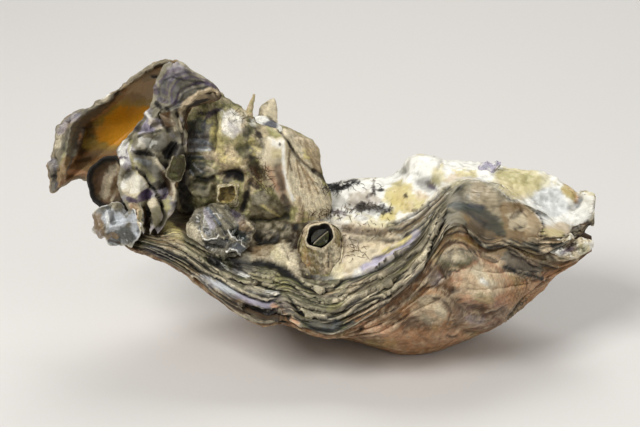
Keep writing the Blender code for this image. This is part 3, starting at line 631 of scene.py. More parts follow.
# Free edges of the main lamellae on the front: share of the way from margin to brow, along X.
LAMELLAE = (
    ((-66, 0), (82, 0)),
    ((-66, 0.15), (-30, 0.13), (0, 0.14), (30, 0.12), (45, 0.22), (60, 0.26), (82, 0.2)),
    ((-66, 0.3), (-30, 0.26), (0, 0.27), (30, 0.27), (44, 0.4), (60, 0.42), (82, 0.4)),
    ((-66, 0.45), (-30, 0.4), (0, 0.42), (30, 0.42), (44, 0.5), (60, 0.52), (82, 0.6)),
    ((-66, 0.6), (-30, 0.55), (0, 0.56), (30, 0.56), (44, 0.62), (60, 0.66), (82, 0.75)),
    ((-66, 0.75), (-30, 0.7), (0, 0.7), (30, 0.7), (44, 0.76), (60, 0.8), (82, 0.86)),
    ((-66, 0.88), (-30, 0.85), (0, 0.84), (30, 0.84), (44, 0.88), (60, 0.9), (82, 0.94)),
)


def curved(start, end, pull_in, pull_out, t):
    """Value t of the way along a smooth span with the given ends and slopes."""
    return (
        start * (2 * t**3 - 3 * t**2 + 1) + pull_in * (t**3 - 2 * t**2 + t)
        + end * (3 * t**2 - 2 * t**3) + pull_out * (t**3 - t**2)
    )


def line_at(stations, x):
    """Smooth values at every x on a line of (x, value, ...) stations, level beyond its ends."""
    table = np.array(stations, float)
    knots, values = table[:, 0], table[:, 1:]
    x = np.clip(x, knots[0], knots[-1])
    start = np.clip(np.searchsorted(knots, x, side="right") - 1, 0, len(knots) - 2)
    before, end = np.maximum(start - 1, 0), start + 1
    after = np.minimum(start + 2, len(knots) - 1)
    width = (knots[end] - knots[start])[:, None]
    t = (x - knots[start])[:, None] / width
    slope_in = (values[end] - values[before]) / (knots[end] - knots[before])[:, None] * width
    slope_out = (values[after] - values[start]) / (knots[after] - knots[start])[:, None] * width
    return curved(values[start], values[end], slope_in, slope_out, t)


def section_curve(lines, places):
    """Points and outward directions at the places, a unit a span, on the curve through the lines."""
    spots, outs = [], []
    last = len(lines) - 1
    for s in places:
        index = min(int(s), last - 1)
        t = s - index
        start, end = lines[index], lines[index + 1]
        before = lines[index - 1] if index else start * 2 - end
        after = lines[index + 2] if index + 2 <= last else end * 2 - start
        span = np.linalg.norm(end - start, axis=-1, keepdims=True)
        first = np.linalg.norm(start - before, axis=-1, keepdims=True)
        final = np.linalg.norm(after - end, axis=-1, keepdims=True)
        pull_in = (end - before) * (span / np.maximum(span + first, 1e-6))
        pull_out = (after - start) * (span / np.maximum(span + final, 1e-6))
        spots.append(curved(start, end, pull_in, pull_out, t))
        run = (
            start * (6 * t**2 - 6 * t) + pull_in * (3 * t**2 - 4 * t + 1)
            + end * (6 * t - 6 * t**2) + pull_out * (3 * t**2 - 2 * t)
        )
        run = run / np.maximum(np.linalg.norm(run, axis=-1, keepdims=True), 1e-9)
        outs.append(np.stack([-run[:, 1], run[:, 0]], -1))
    return np.array(spots), np.array(outs)


def seam(x, t):
    """Depth and height of the surface where the two valves meet, t from front margin to rear margin."""
    spot = line_at(FRONT_MARGIN, x) * (1 - t) + line_at(REAR_MARGIN, x) * t
    spot[:, 1] += SEAM_ARCH * 4 * t * (1 - t)
    return spot


def in_space(x, spots):
    """Points from the stations along X and their (y, z)."""
    return np.concatenate([np.broadcast_to(x[None, :, None], (*spots.shape[:2], 1)), spots], -1)


def lamella_places(share, x):
    """For each place on the front: number of its main lamella, and how far up it lies on it."""
    edges = []
    for k, stations in enumerate(LAMELLAE):
        edge = line_at(stations, x)[:, 0]
        if k:
            spots = on_plane(x, 31.0 * k)
            edge = edge + 0.05 * grain(spots, 14) + 0.02 * layered(spots, 6, 2, 7)
        edges.append(edge)
    edges.append(np.ones_like(x))
    edges = np.maximum.accumulate(np.array(edges) + 1e-4 * np.arange(len(edges))[:, None], 0)
    number = (share[:, None, None] >= edges[None, :-1]).sum(1) - 1
    low = np.take_along_axis(edges, number, 0)
    high = np.take_along_axis(edges, number + 1, 0)
    return number, np.clip((share[:, None] - low) / np.maximum(high - low, 1e-3), 0, 1)


# Strokes laid on the card over both valves: heights, free edges, calm and crusty patches, tints
# and spots, some of them painted shade in hollows and gaps and painted highlight.
SHELL_SCULPT = (
    (1.4, 4, (-13, -11.5), (-9, -14.5)),
    (0.9, 2, (-37, -19.5), (-28.5, -22.5), (-19.5, -26.5)),
    (-2.4, 1.5, (-22, -28.5), (-17.5, -30), (-10.5, -31)),
    (0.8, 1, (-24, -28), (-20.5, -31.5), (-17, -33), (-13, -32)),
    (1, 1.5, (-11, -26), (-8.5, -29.5), (-6, -33)),
    (1.2, 3, (-19.5, -18.5), (-14.5, -18.5)),
    (1, 3, (0, -27), (7.5, -23)),
    (-0.5, 3, (40.5, -2.5), (48, -4.5)),
    (1.3, 3.4, (51, 5.5), (58.5, -0.5), (63, -4.5)),
    (1, 2.4, (45, 7.5), (51, 4)),
    (1.3, 2.4, (55.5, -13.5), (60, -16), (64.5, -17)),
    (-0.4, 1.2, (57.5, -1.5), (60, 0.5)),
    (-0.4, 1, (58.5, -4.5), (61, -4)),
    (-1.2, 1.6, (77, -5), (78.5, -4.5)),
    (1.4, 1.6, (79, 6), (81.5, 4), (81.5, 1)),
    (-1.3, 1.5, (76, 2), (77.5, 4.5)),
    (1, 2, (74, 7), (76, 5)),
    (-0.9, 6, (67.5, 4)),
    (1.4, 4, (7.5, 7), (15.5, 9)),
    (-1, 2.5, (9, 2.5), (14.5, 1)),
    (1.2, 3.5, (22.5, 5.5), (28.5, 4)),
    (-1.4, 2, (30, 10), (33, 8)),
    (1.5, 3, (29.5, 15), (34.5, 14.5)),
    (-1, 1.4, (25, 13)),
    (0.9, 4, (58.5, 10), (54, 7.5)),
    (-1.2, 1.5, (6, -4), (12.5, -5.5), (19, -6)),
    (0.9, 2, (9.5, -14.5), (14.5, -14.5)),
    (-2.4, 1.8, (-18, -8), (-14, -8)),
    (-1.4, 2, (-32.5, -14), (-25, -14.5)),
    (1, 2, (-46.5, -4.5), (-42.5, -7)),
    (1, 5, (47.5, -18.5), (50.5, -23.5)),
    (0.6, 2.5, (33.5, -27.5), (36, -29.5)),
    (-0.8, 2.2, (41.5, -26.5), (44.5, -28.5), (48.5, -28.5)),
    (0.7, 2, (43.5, -32.5), (48.5, -33), (53.5, -30)),
    (-0.6, 2.5, (39.5, -33.5), (45, -36)),
    (-2, 1, (56.5, -31), (59.5, -27.5), (62, -25), (65, -22.5), (68, -20)),
    (0.8, 1.2, (60, -28.5), (64.5, -25), (69, -21.5)),
    (-0.5, 0.7, (38, -36.5), (39.5, -37.5), (41, -37)),
    (-0.9, 0.8, (12.5, -34.5)),
    (0.6, 3, (15, -36.5), (22.5, -35.5)),
    (-0.4, 3, (25.5, -33.5), (31.5, -35.5)),
    (0.5, 3, (28.5, -39), (36, -36.5)),
    (-0.7, 2, (36, -21.5), (39.5, -23.5)),
    (0.6, 2, (38.5, -13), (43.5, -13.5)),
    (-0.6, 1.4, (37, -16), (39, -19.5)),
    (0.6, 1.5, (32.5, -20), (36, -20)),
    (0.5, 1.6, (55.5, -19), (60, -20), (63, -21)),
)
SHELL_EDGES = (
    (1.5, 3, (-26.5, -13), (-21, -14.5), (-17.5, -14), (-13.5, -15), (-10, -16.5), (-7, -19.5),
     (-5, -21.5), (-2, -23), (1, -23.5), (4.5, -22), (7.5, -19.5), (12.5, -18), (17, -17), (21, -14.5),
     (25, -12), (29, -8), (32.5, -3)),
    (1.3, 2.6, (-11, -23), (-8.5, -26), (-6, -29.5), (-3, -31), (1.5, -31.5), (5.5, -30), (8, -27.5),
     (11.5, -25.5), (15, -23.5), (19.5, -22), (23.5, -20), (27, -18), (30, -14.5), (33, -10.5),
     (35.5, -6), (36.5, -2), (38, 1), (42, 0)),
    (0.9, 2, (-48, -8), (-40.5, -10.5), (-36, -15), (-31.5, -18), (-26.5, -19.5), (-21.5, -21),
     (-17.5, -21), (-13, -22)),
    (1.1, 1.6, (-51, -9.5), (-40, -13), (-36, -17), (-30, -20), (-25, -22.5), (-21, -25), (-17, -26),
     (-12.5, -25.5)),
    (0.7, 1, (-23, -22.5), (-19.5, -24), (-15.5, -25), (-12, -24)),
    (0.8, 1.4, (-10.5, -19.5), (-6.5, -23), (-2.5, -26), (3, -27), (7.5, -25), (13.5, -21), (19.5, -19),
     (24.5, -16), (29.5, -11.5)),
    (1, 2, (-0.5, -33), (3.5, -32.5), (7.5, -30.5), (11, -28), (15.5, -25.5), (21.5, -24), (26.5, -21),
     (30.5, -17), (34, -13)),
    (1, 1.6, (20, -3), (24, -2.5), (28, -0.5), (32.5, 2), (36, 6), (39.5, 9)),
    (0.8, 1.2, (19, -5), (24.5, -4.5), (29.5, -1.5), (34, 2.5), (38, 7.5)),
    (0.8, 1.2, (17, -8), (24, -7.5), (29.5, -4.5), (33, -1), (36.5, 3.5), (39.5, 7)),
    (0.7, 1, (14, -14.5), (20, -11.5), (25, -9), (30, -5.5), (34, -1.5), (37, 3)),
    (0.8, 1.2, (25.5, -14.5), (30, -11), (33.5, -7), (36, -2.5)),
    (0.8, 1.6, (35, -9), (38, -6), (41.5, -4.5), (44.5, -5.5), (47, -8), (49, -10.5), (51.5, -10),
     (54, -9.5), (56.5, -10), (59, -11), (61, -13.5), (63.5, -15), (67, -15.5)),
    (0.6, 1, (33, -14.5), (35.5, -11), (38.5, -8), (42, -8), (45, -10), (48, -11.5)),
    (0.6, 1, (33.5, -16.5), (36, -13), (39.5, -10.5), (43, -10), (45.5, -11.5), (47.5, -14)),
    (0.4, 1.6, (48.5, -12), (52.5, -13.5), (55, -15), (56.5, -17), (60, -18), (63, -19.5), (67.5, -19)),
    (0.6, 1, (54, -8), (58.5, -9.5), (63, -10), (67.5, -11.5), (71.5, -14)),
    (0.5, 1, (56.5, -11), (60, -13), (64, -14), (69, -15.5), (72.5, -16.5)),
    (0.3, 2.4, (66, -9), (65.5, -6.5), (67, -4), (66, -1), (63, 1.5), (60.5, 4), (56.5, 4), (55, 6.5),
     (52, 8.5), (48, 10), (44, 10.5), (39.5, 9)),
    (0.8, 1.6, (66.5, -7), (69.5, -7.5), (73.5, -7), (75.5, -6)),
    (1.2, 2.5, (54, -32.5), (56.5, -30.5), (59.5, -27), (62, -24.5), (65, -22), (69, -19.5)),
    (0.5, 1.4, (44, -38), (48.5, -37), (52, -35), (55, -32), (59, -29), (63, -26)),
    (0.45, 2, (41.5, -26), (43, -28.5), (45.5, -30), (48.5, -30), (52.5, -28.5), (57, -26)),
    (0.5, 1.5, (42, -30.5), (46, -32), (50.5, -31.5), (54.5, -28.5)),
    (0.4, 1.2, (43, -34.5), (47.5, -35), (51, -33.5)),
    (0.5, 1.2, (8.5, -32), (15, -29), (21, -26), (26.5, -22.5), (31, -17.5), (33.5, -14.5)),
    (0.5, 1, (9.5, -33.5), (18, -31), (24, -27.5), (29.5, -23), (33, -19.5)),
    (0.4, 1, (15.5, -34), (21.5, -31.5), (27, -28), (32, -24)),
    (0.4, 0.9, (9, -30), (15.5, -27), (22, -24), (27.5, -19.5)),
    (0.5, 1.2, (33, -25), (36, -25.5), (38.5, -27), (40, -29.5), (38.5, -32.5)),
    (0.4, 1, (36, -23), (39.5, -25), (42, -28)),
    (0.5, 1.2, (35, -14), (37, -17), (38.5, -20)),
    (0.4, 1, (36.5, -16.5), (39, -17), (42.5, -17)),
    (0.5, 1.2, (44, -10), (46, -11), (47.5, -13.5), (48.5, -16)),
    (0.5, 1.4, (55, -16), (56, -17), (59, -18), (61, -18.5), (62, -19.5), (62.5, -22)),
    (0.4, 1.2, (28.5, -21), (32, -22), (35.5, -21)),
)
SHELL_CALM = (
    ((38.5, 6.5), (40.5, 9.5), (44, 10.5), (48, 10), (52, 8.5), (55, 6.5), (56.5, 4), (60.5, 4),
     (63, 1.5), (66, -1), (67, -4), (65.5, -7), (60, -8.5), (54, -8), (48.5, -7), (42.5, -4), (38, -3),
     (36.5, 0)),
    ((50, -12), (53, -10.5), (56, -10.5), (59, -12), (62, -14.5), (66, -16), (67.5, -19), (60, -18),
     (56, -16.5), (54, -14)),
    ((-37, -19), (-34, -19), (-28.5, -21.5), (-23, -24), (-19.5, -25.5), (-13.5, -26), (-13, -28),
     (-17.5, -28.5), (-22.5, -27), (-27.5, -25), (-33.5, -22)),
    ((0, 9), (7.5, 10.5), (16.5, 11), (24, 15), (27, 18), (33, 17.5), (45, 16.5), (54, 15), (63, 14),
     (72, 12), (78, 7), (82, 5), (83.5, 0), (81, -3), (76, -6), (71, -8), (67.5, -7), (66.5, -1.5),
     (63, 2), (56.5, 4.5), (52, 9), (44, 11), (39.5, 9.5), (36, 6), (32.5, 2.5), (28, 0), (24, -2),
     (19.5, -2.5), (13.5, 0), (7.5, 2), (0.5, 3.5)),
    ((-4.5, -32), (0, -32), (5.5, -32), (4, -35), (-0.5, -35)),
)
SHELL_CRUST = (
    ((-24.5, -2.5), (-17.5, -1), (-6, 0), (7.5, 0), (15.5, 0), (20, -4), (25, -7), (23.5, -10), (19, -12),
     (14, -15), (9, -17), (5.5, -19), (0, -22.5), (-4, -20), (-8.5, -17), (-15, -14.5), (-21, -13),
     (-23.5, -8)),
)
SHELL_PAINT = (
    ("moss", 0, 0.75, (-66, -7), (-54, -6.5), (-39, -10), (-31.5, -17.5), (-21, -21), (-9, -26),
     (-4.5, -35), (7.5, -36.5), (9, -26), (1.5, -26), (-6, -21.5), (-13.5, -15), (-26.5, -14.5),
     (-40.5, -8)),
    ("ash", 0, 0.3, (-13.5, -17.5), (-6, -23.5), (0.5, -25), (7.5, -21), (15.5, -18.5), (24, -14.5),
     (30, -9.5), (31.5, -14.5), (24, -21.5), (9, -26.5), (1.5, -31.5), (-6, -29.5), (-12, -22.5)),
    ("moss", 2.6, 0.6, (21.5, -14.5), (28, -10), (33.5, -2.5)),
    ("olive", 0, 0.95, (19.5, -3), (24.5, -3), (33, 2), (39.5, 9), (38.5, 2), (36, -3.5), (31.5, -11.5),
     (25.5, -17.5), (22.5, -14.5), (26.5, -9.5), (24, -7), (19, -7.5)),
    ("taupe", 1.4, 0.5, (23.5, -5), (30, -1), (36, 5)),
    ("slate", 0, 0.8, (7.5, -20), (16.5, -18), (24, -14.5), (30, -9.5), (32, -13), (26.5, -17.5),
     (19.5, -21), (9.5, -24)),
    ("taupe", 2, 0.5, (9.5, -22.5), (16.5, -20), (22.5, -17.5)),
    ("lichen", 1.4, 0.6, (24, -18), (27.5, -14.5), (30, -12)),
    ("slate", 0, 0.85, (-53.5, -9), (-48, -10), (-41, -13), (-40, -14.5), (-46.5, -13.5), (-52.5, -11)),
    ("indigo", 1.5, 0.6, (-51, -11), (-45, -13)),
    ("straw", 0, 0.75, (-48.5, -3), (-45, -2), (-41.5, -5.5), (-41, -8), (-44.5, -8)),
    ("taupe", 2, 0.7, (-53.5, -6), (-48, -7.5), (-42.5, -9.5)),
    ("pearl", 0, 0.85, (-38, -18), (-34, -18.5), (-28.5, -21), (-23, -24), (-24, -25.5), (-27.5, -25),
     (-33.5, -22)),
    ("lavender", 0, 0.9, (-24.5, -23.5), (-19.5, -25.5), (-13.5, -26), (-13, -28), (-17.5, -28.5),
     (-22.5, -27)),
    ("pearl", 1.2, 0.6, (-31.5, -21), (-26.5, -23)),
    ("rose", 1, 0.9, (-14, -27.5), (-11.5, -30), (-7, -33)),
    # Painted shade in the hollow under the left lamellae.
    ("peat", 0, 0.97, (-23, -27), (-17.5, -29), (-13, -28.5), (-9, -31.5), (-11.5, -31.5), (-17, -33),
     (-21, -31.5), (-24.5, -28)),
    ("umber", 0.8, 0.9, (-24, -28), (-20.5, -31.5), (-17, -33), (-12, -32)),
    ("tan", 1.2, 0.6, (-15.5, -30)),
    ("chalk", 0.9, 0.9, (-21, -23), (-17, -23.5), (-13, -24)),
    ("bone", 1.2, 0.7, (-22, -22), (-17.5, -23)),
    ("steel", 0, 0.7, (-4, -32), (0.5, -32), (6, -31), (5, -35), (-0.5, -35.5)),
    ("ink", 1.2, 0.8, (-2.5, -34.5), (1.5, -36), (5.5, -35)),
    ("lichen", 1.6, 0.7, (-13.5, -19), (-9.5, -22.5)),
    ("lichen", 1.2, 0.7, (3, -28.5), (7.5, -26), (9.5, -25)),
    ("plum", 1.4, 0.5, (-12, -26), (-9, -29)),
    ("bone", 1, 0.9, (4.5, -26), (9, -25.5), (12.5, -25), (17, -23), (22.5, -21), (26.5, -18.5),
     (30, -14.5), (32.5, -11)),
    ("plum", 1, 0.9, (19, -26), (24, -23.5), (27.5, -20), (29, -18)),
    ("cream", 0, 0.8, (5, -5.5), (9.5, -3), (19, -4), (24, -7.5), (20.5, -12.5), (14.5, -16.5),
     (7.5, -18), (6, -13.5)),
    ("bone", 0, 0.9, (7, -14.5), (12.5, -10.5), (19, -10), (16, -14.5), (9.5, -17.5)),
    ("umber", 1.6, 0.6, (7.5, -4.5), (12.5, -5.5), (19, -5.5)),
    ("olive", 1.2, 0.7, (9.5, -8), (15.5, -7.5), (21.5, -8)),
    ("lavender", 1.5, 0.95, (13, -16.5), (18, -14), (23, -11), (26.5, -9), (29, -6)),
    ("straw", 0.8, 0.9, (19, -11.5), (23.5, -9.5), (27, -7)),
    ("olive", 0, 0.85, (-24, -1.5), (-6, 0), (-5, -7), (-7, -14.5), (-11, -9), (-17.5, -7), (-22, -8)),
    ("peat", 1.2, 0.8, (-8, -5), (-8, -10), (-6, -14.5)),
    ("ink", 0.9, 0.9, (-10, -4), (-7, -4)),
    ("ink", 0.9, 0.8, (-22, -6), (-17.5, -5.5), (-13, -6)),
    ("bone", 0, 0.97, (-16, -13), (-13, -9), (-9.5, -9), (-7, -13.5), (-5, -19.5), (-7, -18.5),
     (-11, -15), (-14.5, -13.5)),
    ("lichen", 1.6, 0.5, (-14, -11), (-11, -14.5)),
    ("taupe", 0, 0.7, (-21, -10), (-17.5, -9), (-14, -10), (-16, -13.5), (-20.5, -14)),
    # Painted shade in the carved crease below the knob.
    ("ink", 0, 0.95, (-19, -8.5), (-16.5, -7), (-13, -7.5), (-15, -9), (-18, -9)),
    ("ink", 1.3, 0.9, (-20.5, -15), (-17, -15), (-12.5, -16), (-9, -18)),
    # Painted shade under the round shell.
    ("peat", 0, 0.85, (-35, -12.5), (-28.5, -13), (-23, -14), (-20.5, -17.5), (-25, -19), (-31, -16.5)),
    ("chalk", 0.7, 0.8, (-30.5, -14), (-29, -16)),
    ("chalk", 0.8, 0.8, (-25.5, -17), (-22, -18.5)),
    ("ash", 2, 0.8, (-22, -13.5), (-21, -16.5)),
    ("ash", 0, 0.9, (38.5, 6.5), (40.5, 9.5), (44, 10.5), (48, 10), (52, 8.5), (55, 6.5), (56.5, 4),
     (55.5, -4), (52, -2), (47.5, 1.5), (42.5, 3), (38, 3)),
    ("cream", 4, 0.4, (48, 6), (52.5, 2.5)),
    ("taupe", 0, 0.9, (54, 2.5), (60.5, 4), (63, 1.5), (66, -1), (67, -4), (65.5, -7), (60, -8.5),
     (56, -7.5), (54.5, -2.5)),
    ("cream", 3, 0.5, (62.5, 0), (64, -4)),
    ("bone", 0, 0.6, (56, -0.5), (59.5, 1.5), (62, -0.5), (62.5, -4), (59.5, -5.5), (56.5, -4.5)),
    ("slate", 0, 0.8, (38, 2), (39.5, 3.5), (44, 3.5), (48, 2.5), (51, 1), (53.5, -1.5), (56, -6),
     (52, -7), (49, -4.5), (46, -2), (42.5, 0), (39, 1)),
    ("teal", 1, 0.55, (39, 2.5), (44, 2), (48, 1)),
    ("indigo", 0.9, 0.5, (45, 2.5), (48.5, 2)),
    ("taupe", 0, 0.85, (42.5, 0), (46, -2), (50, -5), (54, -7), (56, -9), (51, -10), (47.5, -8),
     (44.5, -5)),
    ("slate", 2.4, 0.45, (46, -4), (50.5, -7)),
    ("ash", 0, 0.85, (37, -1), (39, 1), (42.5, 0), (44.5, -2.5), (42, -4.5), (38, -5)),
    ("tan", 0, 0.6, (36, -10), (38, -6), (41.5, -5), (44.5, -6), (47.5, -10), (45, -10.5), (42.5, -9),
     (39, -9), (36, -12)),
    ("mustard", 0.9, 0.5, (39.5, -7.5), (43, -7.5), (47, -10)),
    ("peat", 0.7, 0.7, (35.5, -13.5), (39, -11), (43, -11), (46, -12)),
    ("umber", 0, 0.6, (48, -8), (54, -9), (63, -10), (68, -11.5), (68.5, -15), (63, -14), (58.5, -11),
     (55.5, -9.5), (51, -10.5)),
    ("moss", 1.6, 0.5, (57.5, -10), (64, -12)),
    ("taupe", 1.5, 0.5, (54, -8), (60, -10.5), (66, -13.5)),
    ("slate", 0, 0.97, (49, -11.5), (53, -10.5), (56, -10.5), (59, -12), (62, -14.5), (66, -16),
     (68, -19), (60, -18.5), (56, -17), (54, -14)),
    ("umber", 2.4, 0.3, (57, -14), (64, -17)),
    ("taupe", 0, 0.85, (49, -12), (52, -10), (56, -10.5), (55, -13), (52.5, -13.5)),
    ("olive", 2, 0.6, (67.5, -14.5), (72, -14.5), (75, -15)),
    ("cream", 0, 0.8, (65, -7.5), (69.5, -8), (69.5, -11.5), (66.5, -12.5)),
    ("chalk", 0, 0.97, (0, 9), (7.5, 10.5), (16.5, 11), (24, 15), (27, 18), (33, 17.5), (45, 16.5),
     (54, 15), (63, 14), (72, 12), (78, 7), (82, 5), (83, 1), (80, -2.5), (75, -5), (70.5, -7.5),
     (67.5, -5.5), (66.5, -1.5), (63, 2), (56.5, 4.5), (52, 9), (44, 11), (39.5, 9.5), (36, 6),
     (32.5, 2.5), (28, 0), (24, -2), (19.5, -2.5), (13.5, 0), (7.5, 2), (0.5, 3.5)),
    ("ash", 0, 0.4, (0.5, 4), (6, 5.5), (9.5, 3), (6, 1.5)),
    ("straw", 0, 0.8, (20, 8), (23.5, 10), (27.5, 9), (28, 6.5), (33, 4.5), (31, 1.5), (25, 0), (22, 2),
     (19, 4)),
    ("cream", 0, 0.8, (27, 7.5), (31.5, 6.5), (33, 4), (29.5, 4)),
    ("cream", 2, 0.5, (23.5, 6.5), (26.5, 2.5)),
    ("straw", 1.6, 0.9, (19, -1), (21.5, -1)),
    ("straw", 0, 0.6, (33, 12.5), (36.5, 15), (38, 10.5), (35.5, 8), (33, 10)),
    ("lichen", 1, 0.5, (34, 11), (35.5, 9)),
    ("straw", 0, 0.75, (40, 13), (44, 13.5), (47, 12.5), (47, 11), (41, 11)),
    ("cream", 0, 0.7, (36, 8), (39.5, 12), (43, 11), (39.5, 9.5)),
    ("straw", 0, 0.5, (51, 10), (54, 13.5), (60, 14), (66.5, 11), (66, 7.5), (62.5, 4.5), (58.5, 4),
     (55, 6.5)),
    ("lichen", 2.4, 0.35, (55.5, 11), (61.5, 10.5)),
    ("bone", 1.8, 0.7, (54, 10), (57.5, 7), (60.5, 5)),
    ("pearl", 0, 0.5, (63, 3.5), (66.5, 7.5), (71, 8), (73, 6), (75.5, 2), (74.5, 0), (68.5, -1.5),
     (65.5, 0.5)),
    ("mustard", 0, 0.75, (72.5, 9), (75, 9.5), (77.5, 6.5), (77.5, 3), (75.5, 3), (73, 6)),
    ("lichen", 1.2, 0.7, (73, 7.5), (75.5, 5)),
    ("ochre", 0.7, 0.5, (77, 5), (77, 3)),
    ("steel", 1, 0.6, (77, 2.5), (78, 4.5)),
    ("cream", 0, 0.8, (66.5, -4), (71, -3), (76, -2.5), (75, -5), (71, -7.5), (68, -6.5)),
    ("straw", 1.4, 0.5, (67.5, -5.5), (72, -6)),
    ("ash", 0, 0.6, (24.5, 11.5), (25, 14.5), (27, 16), (28, 14), (26.5, 11.5)),
    ("chalk", 0.7, 0.8, (27.5, 15.5), (27.5, 12.5)),
    # Painted shade in the gape's opening at the right end, with the umber stroke below.
    ("peat", 0, 0.98, (74, -7.5), (77, -5), (81.5, -1.5), (83, -4.5), (80.5, -8), (75, -8.5)),
    ("umber", 1.4, 0.8, (79, -4), (79, -7)),
    ("umber", 2.6, 0.5, (23.5, -19), (27, -14), (30.5, -9)),
    ("moss", 2, 0.5, (18, -21), (23.5, -16.5)),
    ("umber", 2.2, 0.35, (6, -30), (11.5, -28), (16, -25)),
    ("ash", 0, 0.8, (-3.5, -29.5), (3, -30), (4, -34), (-0.5, -34.5), (-4, -32)),
    ("lavender", 1.2, 0.6, (-24.5, -24.5), (-20.5, -26.5)),
    ("straw", 0, 0.5, (20.5, 6), (23, 8), (26, 8), (27, 4.5), (26, 1.5), (21.5, 0.5)),
    ("mustard", 0, 0.12, (20.5, 5), (25, 4.5), (26.5, 1), (23.5, -1), (20, 0.5)),
    ("olive", 0, 0.3, (29.5, 12), (36, 12), (38, 8), (32.5, 7), (29, 8)),
    ("taupe", 0, 0.55, (9, 6), (14, 7), (18, 5), (17, 1.5), (11.5, 1), (8.5, 3)),
    ("ochre", 1.6, 0.12, (74, 7.5), (77, 5)),
    ("umber", 2, 0.45, (38, -10), (41, -7), (44, -7), (47.5, -10.5)),
    ("olive", 0.6, 0.6, (38, -8), (41, -5), (44, -5), (48, -9)),
    ("straw", 0, 0.45, (53, 13), (60, 14), (68.5, 12), (72, 8.5), (67.5, 8), (64.5, 7), (57.5, 4.5),
     (54, 7.5)),
    ("lichen", 2, 0.4, (54, 11.5), (60.5, 10.5), (66, 9.5)),
    ("rose", 0, 0.7, (39.5, -17), (48, -12.5), (54, -14.5), (57.5, -20), (60, -23.5), (55.5, -27.5),
     (48, -28), (42, -26), (39, -21.5)),
    # Boss on the belly: cream patch partly its own colour, partly painted highlight; the bone and chalk
    # strokes are painted highlight.
    ("cream", 0, 0.7, (42.5, -17.5), (48.5, -14), (54, -17), (55.5, -21.5), (52.5, -25), (46.5, -25),
     (42, -22)),
    ("bone", 2, 0.8, (47.5, -16.5), (49, -20), (51, -21)),
    ("chalk", 0.9, 0.8, (48.5, -20), (50, -21)),
    ("cream", 2.2, 0.6, (43.5, -22.5), (46.5, -23.5)),
    ("lichen", 1.6, 0.5, (48, -25.5), (51, -26)),
    ("ash", 0, 0.85, (35, -13.5), (38, -10.5), (43, -10), (47.5, -13), (45.5, -15), (39.5, -16),
     (36.5, -15)),
    ("bone", 1.2, 0.7, (40.5, -13.5), (42.5, -14)),
    ("moss", 1.5, 0.6, (35.5, -14.5), (39.5, -16.5), (44.5, -14.5)),
    ("lavender", 0, 0.85, (32, -19), (35, -17.5), (37, -20), (33.5, -21.5)),
    ("plum", 0.8, 0.8, (33, -19.5), (35, -20)),
    ("umber", 0, 0.6, (33, -14.5), (36, -14.5), (39, -20), (41, -23.5), (36, -23.5), (31.5, -21)),
    ("umber", 0, 0.8, (8.5, -31.5), (15.5, -27), (24, -22.5), (30, -16.5), (34, -14), (35, -18.5),
     (30, -24.5), (22.5, -29.5), (13.5, -32.5)),
    ("tan", 1.2, 0.6, (11, -31.5), (17.5, -29), (23.5, -25.5), (28.5, -21.5)),
    ("umber", 1, 0.7, (13.5, -32), (21, -28.5), (27.5, -23.5)),
    ("cream", 0, 0.7, (27.5, -29), (30.5, -25), (35.5, -24), (39, -26.5), (38.5, -32), (33.5, -33.5),
     (28.5, -32)),
    ("bone", 1.6, 0.8, (35.5, -28.5), (37, -30)),
    ("bone", 1.4, 0.6, (31, -31), (33, -32.5)),
    ("ash", 2, 0.5, (31, -26), (33.5, -25.5)),
    ("plum", 4, 0.35, (44, -30), (49.5, -32.5), (53.5, -29.5)),
    ("lavender", 1.4, 0.4, (44.5, -31.5), (48.5, -32)),
    ("umber", 2.5, 0.5, (19.5, -33), (25.5, -32.5), (31.5, -34.5)),
    ("rose", 0, 0.7, (11.5, -32.5), (18, -33), (25.5, -35), (36, -34.5), (45, -37), (39, -39.5),
     (28.5, -41), (19.5, -39.5), (12.5, -36.5)),
    ("tan", 5, 0.6, (24, -38), (33, -39)),
    ("mustard", 1.8, 0.35, (15.5, -38.5), (21.5, -39)),
    ("umber", 1.6, 0.5, (9.5, -34.5), (13.5, -37), (18, -38)),
    ("ink", 0.35, 0.85, (38, -36.5), (39.5, -37), (41, -37)),
    ("ink", 0.5, 0.95, (12, -34.5), (12.5, -34.5)),
    ("tan", 0, 0.8, (56.5, -23.5), (63, -19.5), (69.5, -17), (76.5, -13.5), (74, -20.5), (64.5, -28.5),
     (58.5, -31.5)),
    ("umber", 1.4, 0.6, (63, -21), (69, -17.5), (73.5, -16)),
    ("rose", 1.6, 0.6, (67.5, -23), (72, -18.5)),
    ("bone", 0.9, 0.7, (68.5, -13), (72.5, -13.5), (77, -13.5)),
    ("cream", 0.9, 0.8, (49, -12.5), (52.5, -14), (55, -16), (56, -17.5), (59, -18), (61, -19)),
    ("peat", 1, 0.9, (56.5, -31), (59.5, -27.5), (62, -25), (65, -22.5), (68, -20.5)),
    ("umber", 3, 0.45, (38, -23.5), (39.5, -27), (41.5, -31.5)),
    ("umber", 3, 0.4, (48, -30), (54, -31.5)),
    ("umber", 3, 0.6, (-54, -13.5), (-42, -18.5), (-30, -25), (-21, -29.5)),
    ("ash", 1.6, 0.5, (-51, -15.5), (-36, -24)),
    ("umber", 0, 0.5, (37, -23), (41.5, -22.5), (42.5, -28), (39.5, -31), (37, -28)),
    ("tan", 0, 0.75, (60, -21), (67.5, -18), (74.5, -14.5), (75.5, -17.5), (69.5, -25), (61, -27)),
    ("rose", 0, 0.4, (61, -21), (69, -17.5), (72, -19), (63, -25.5)),
    # Painted shade in the hollow under the left lamellae.
    ("ink", 0, 0.8, (-21, -28), (-17, -29), (-11.5, -30), (-9, -32), (-15.5, -33), (-20.5, -31)),
)
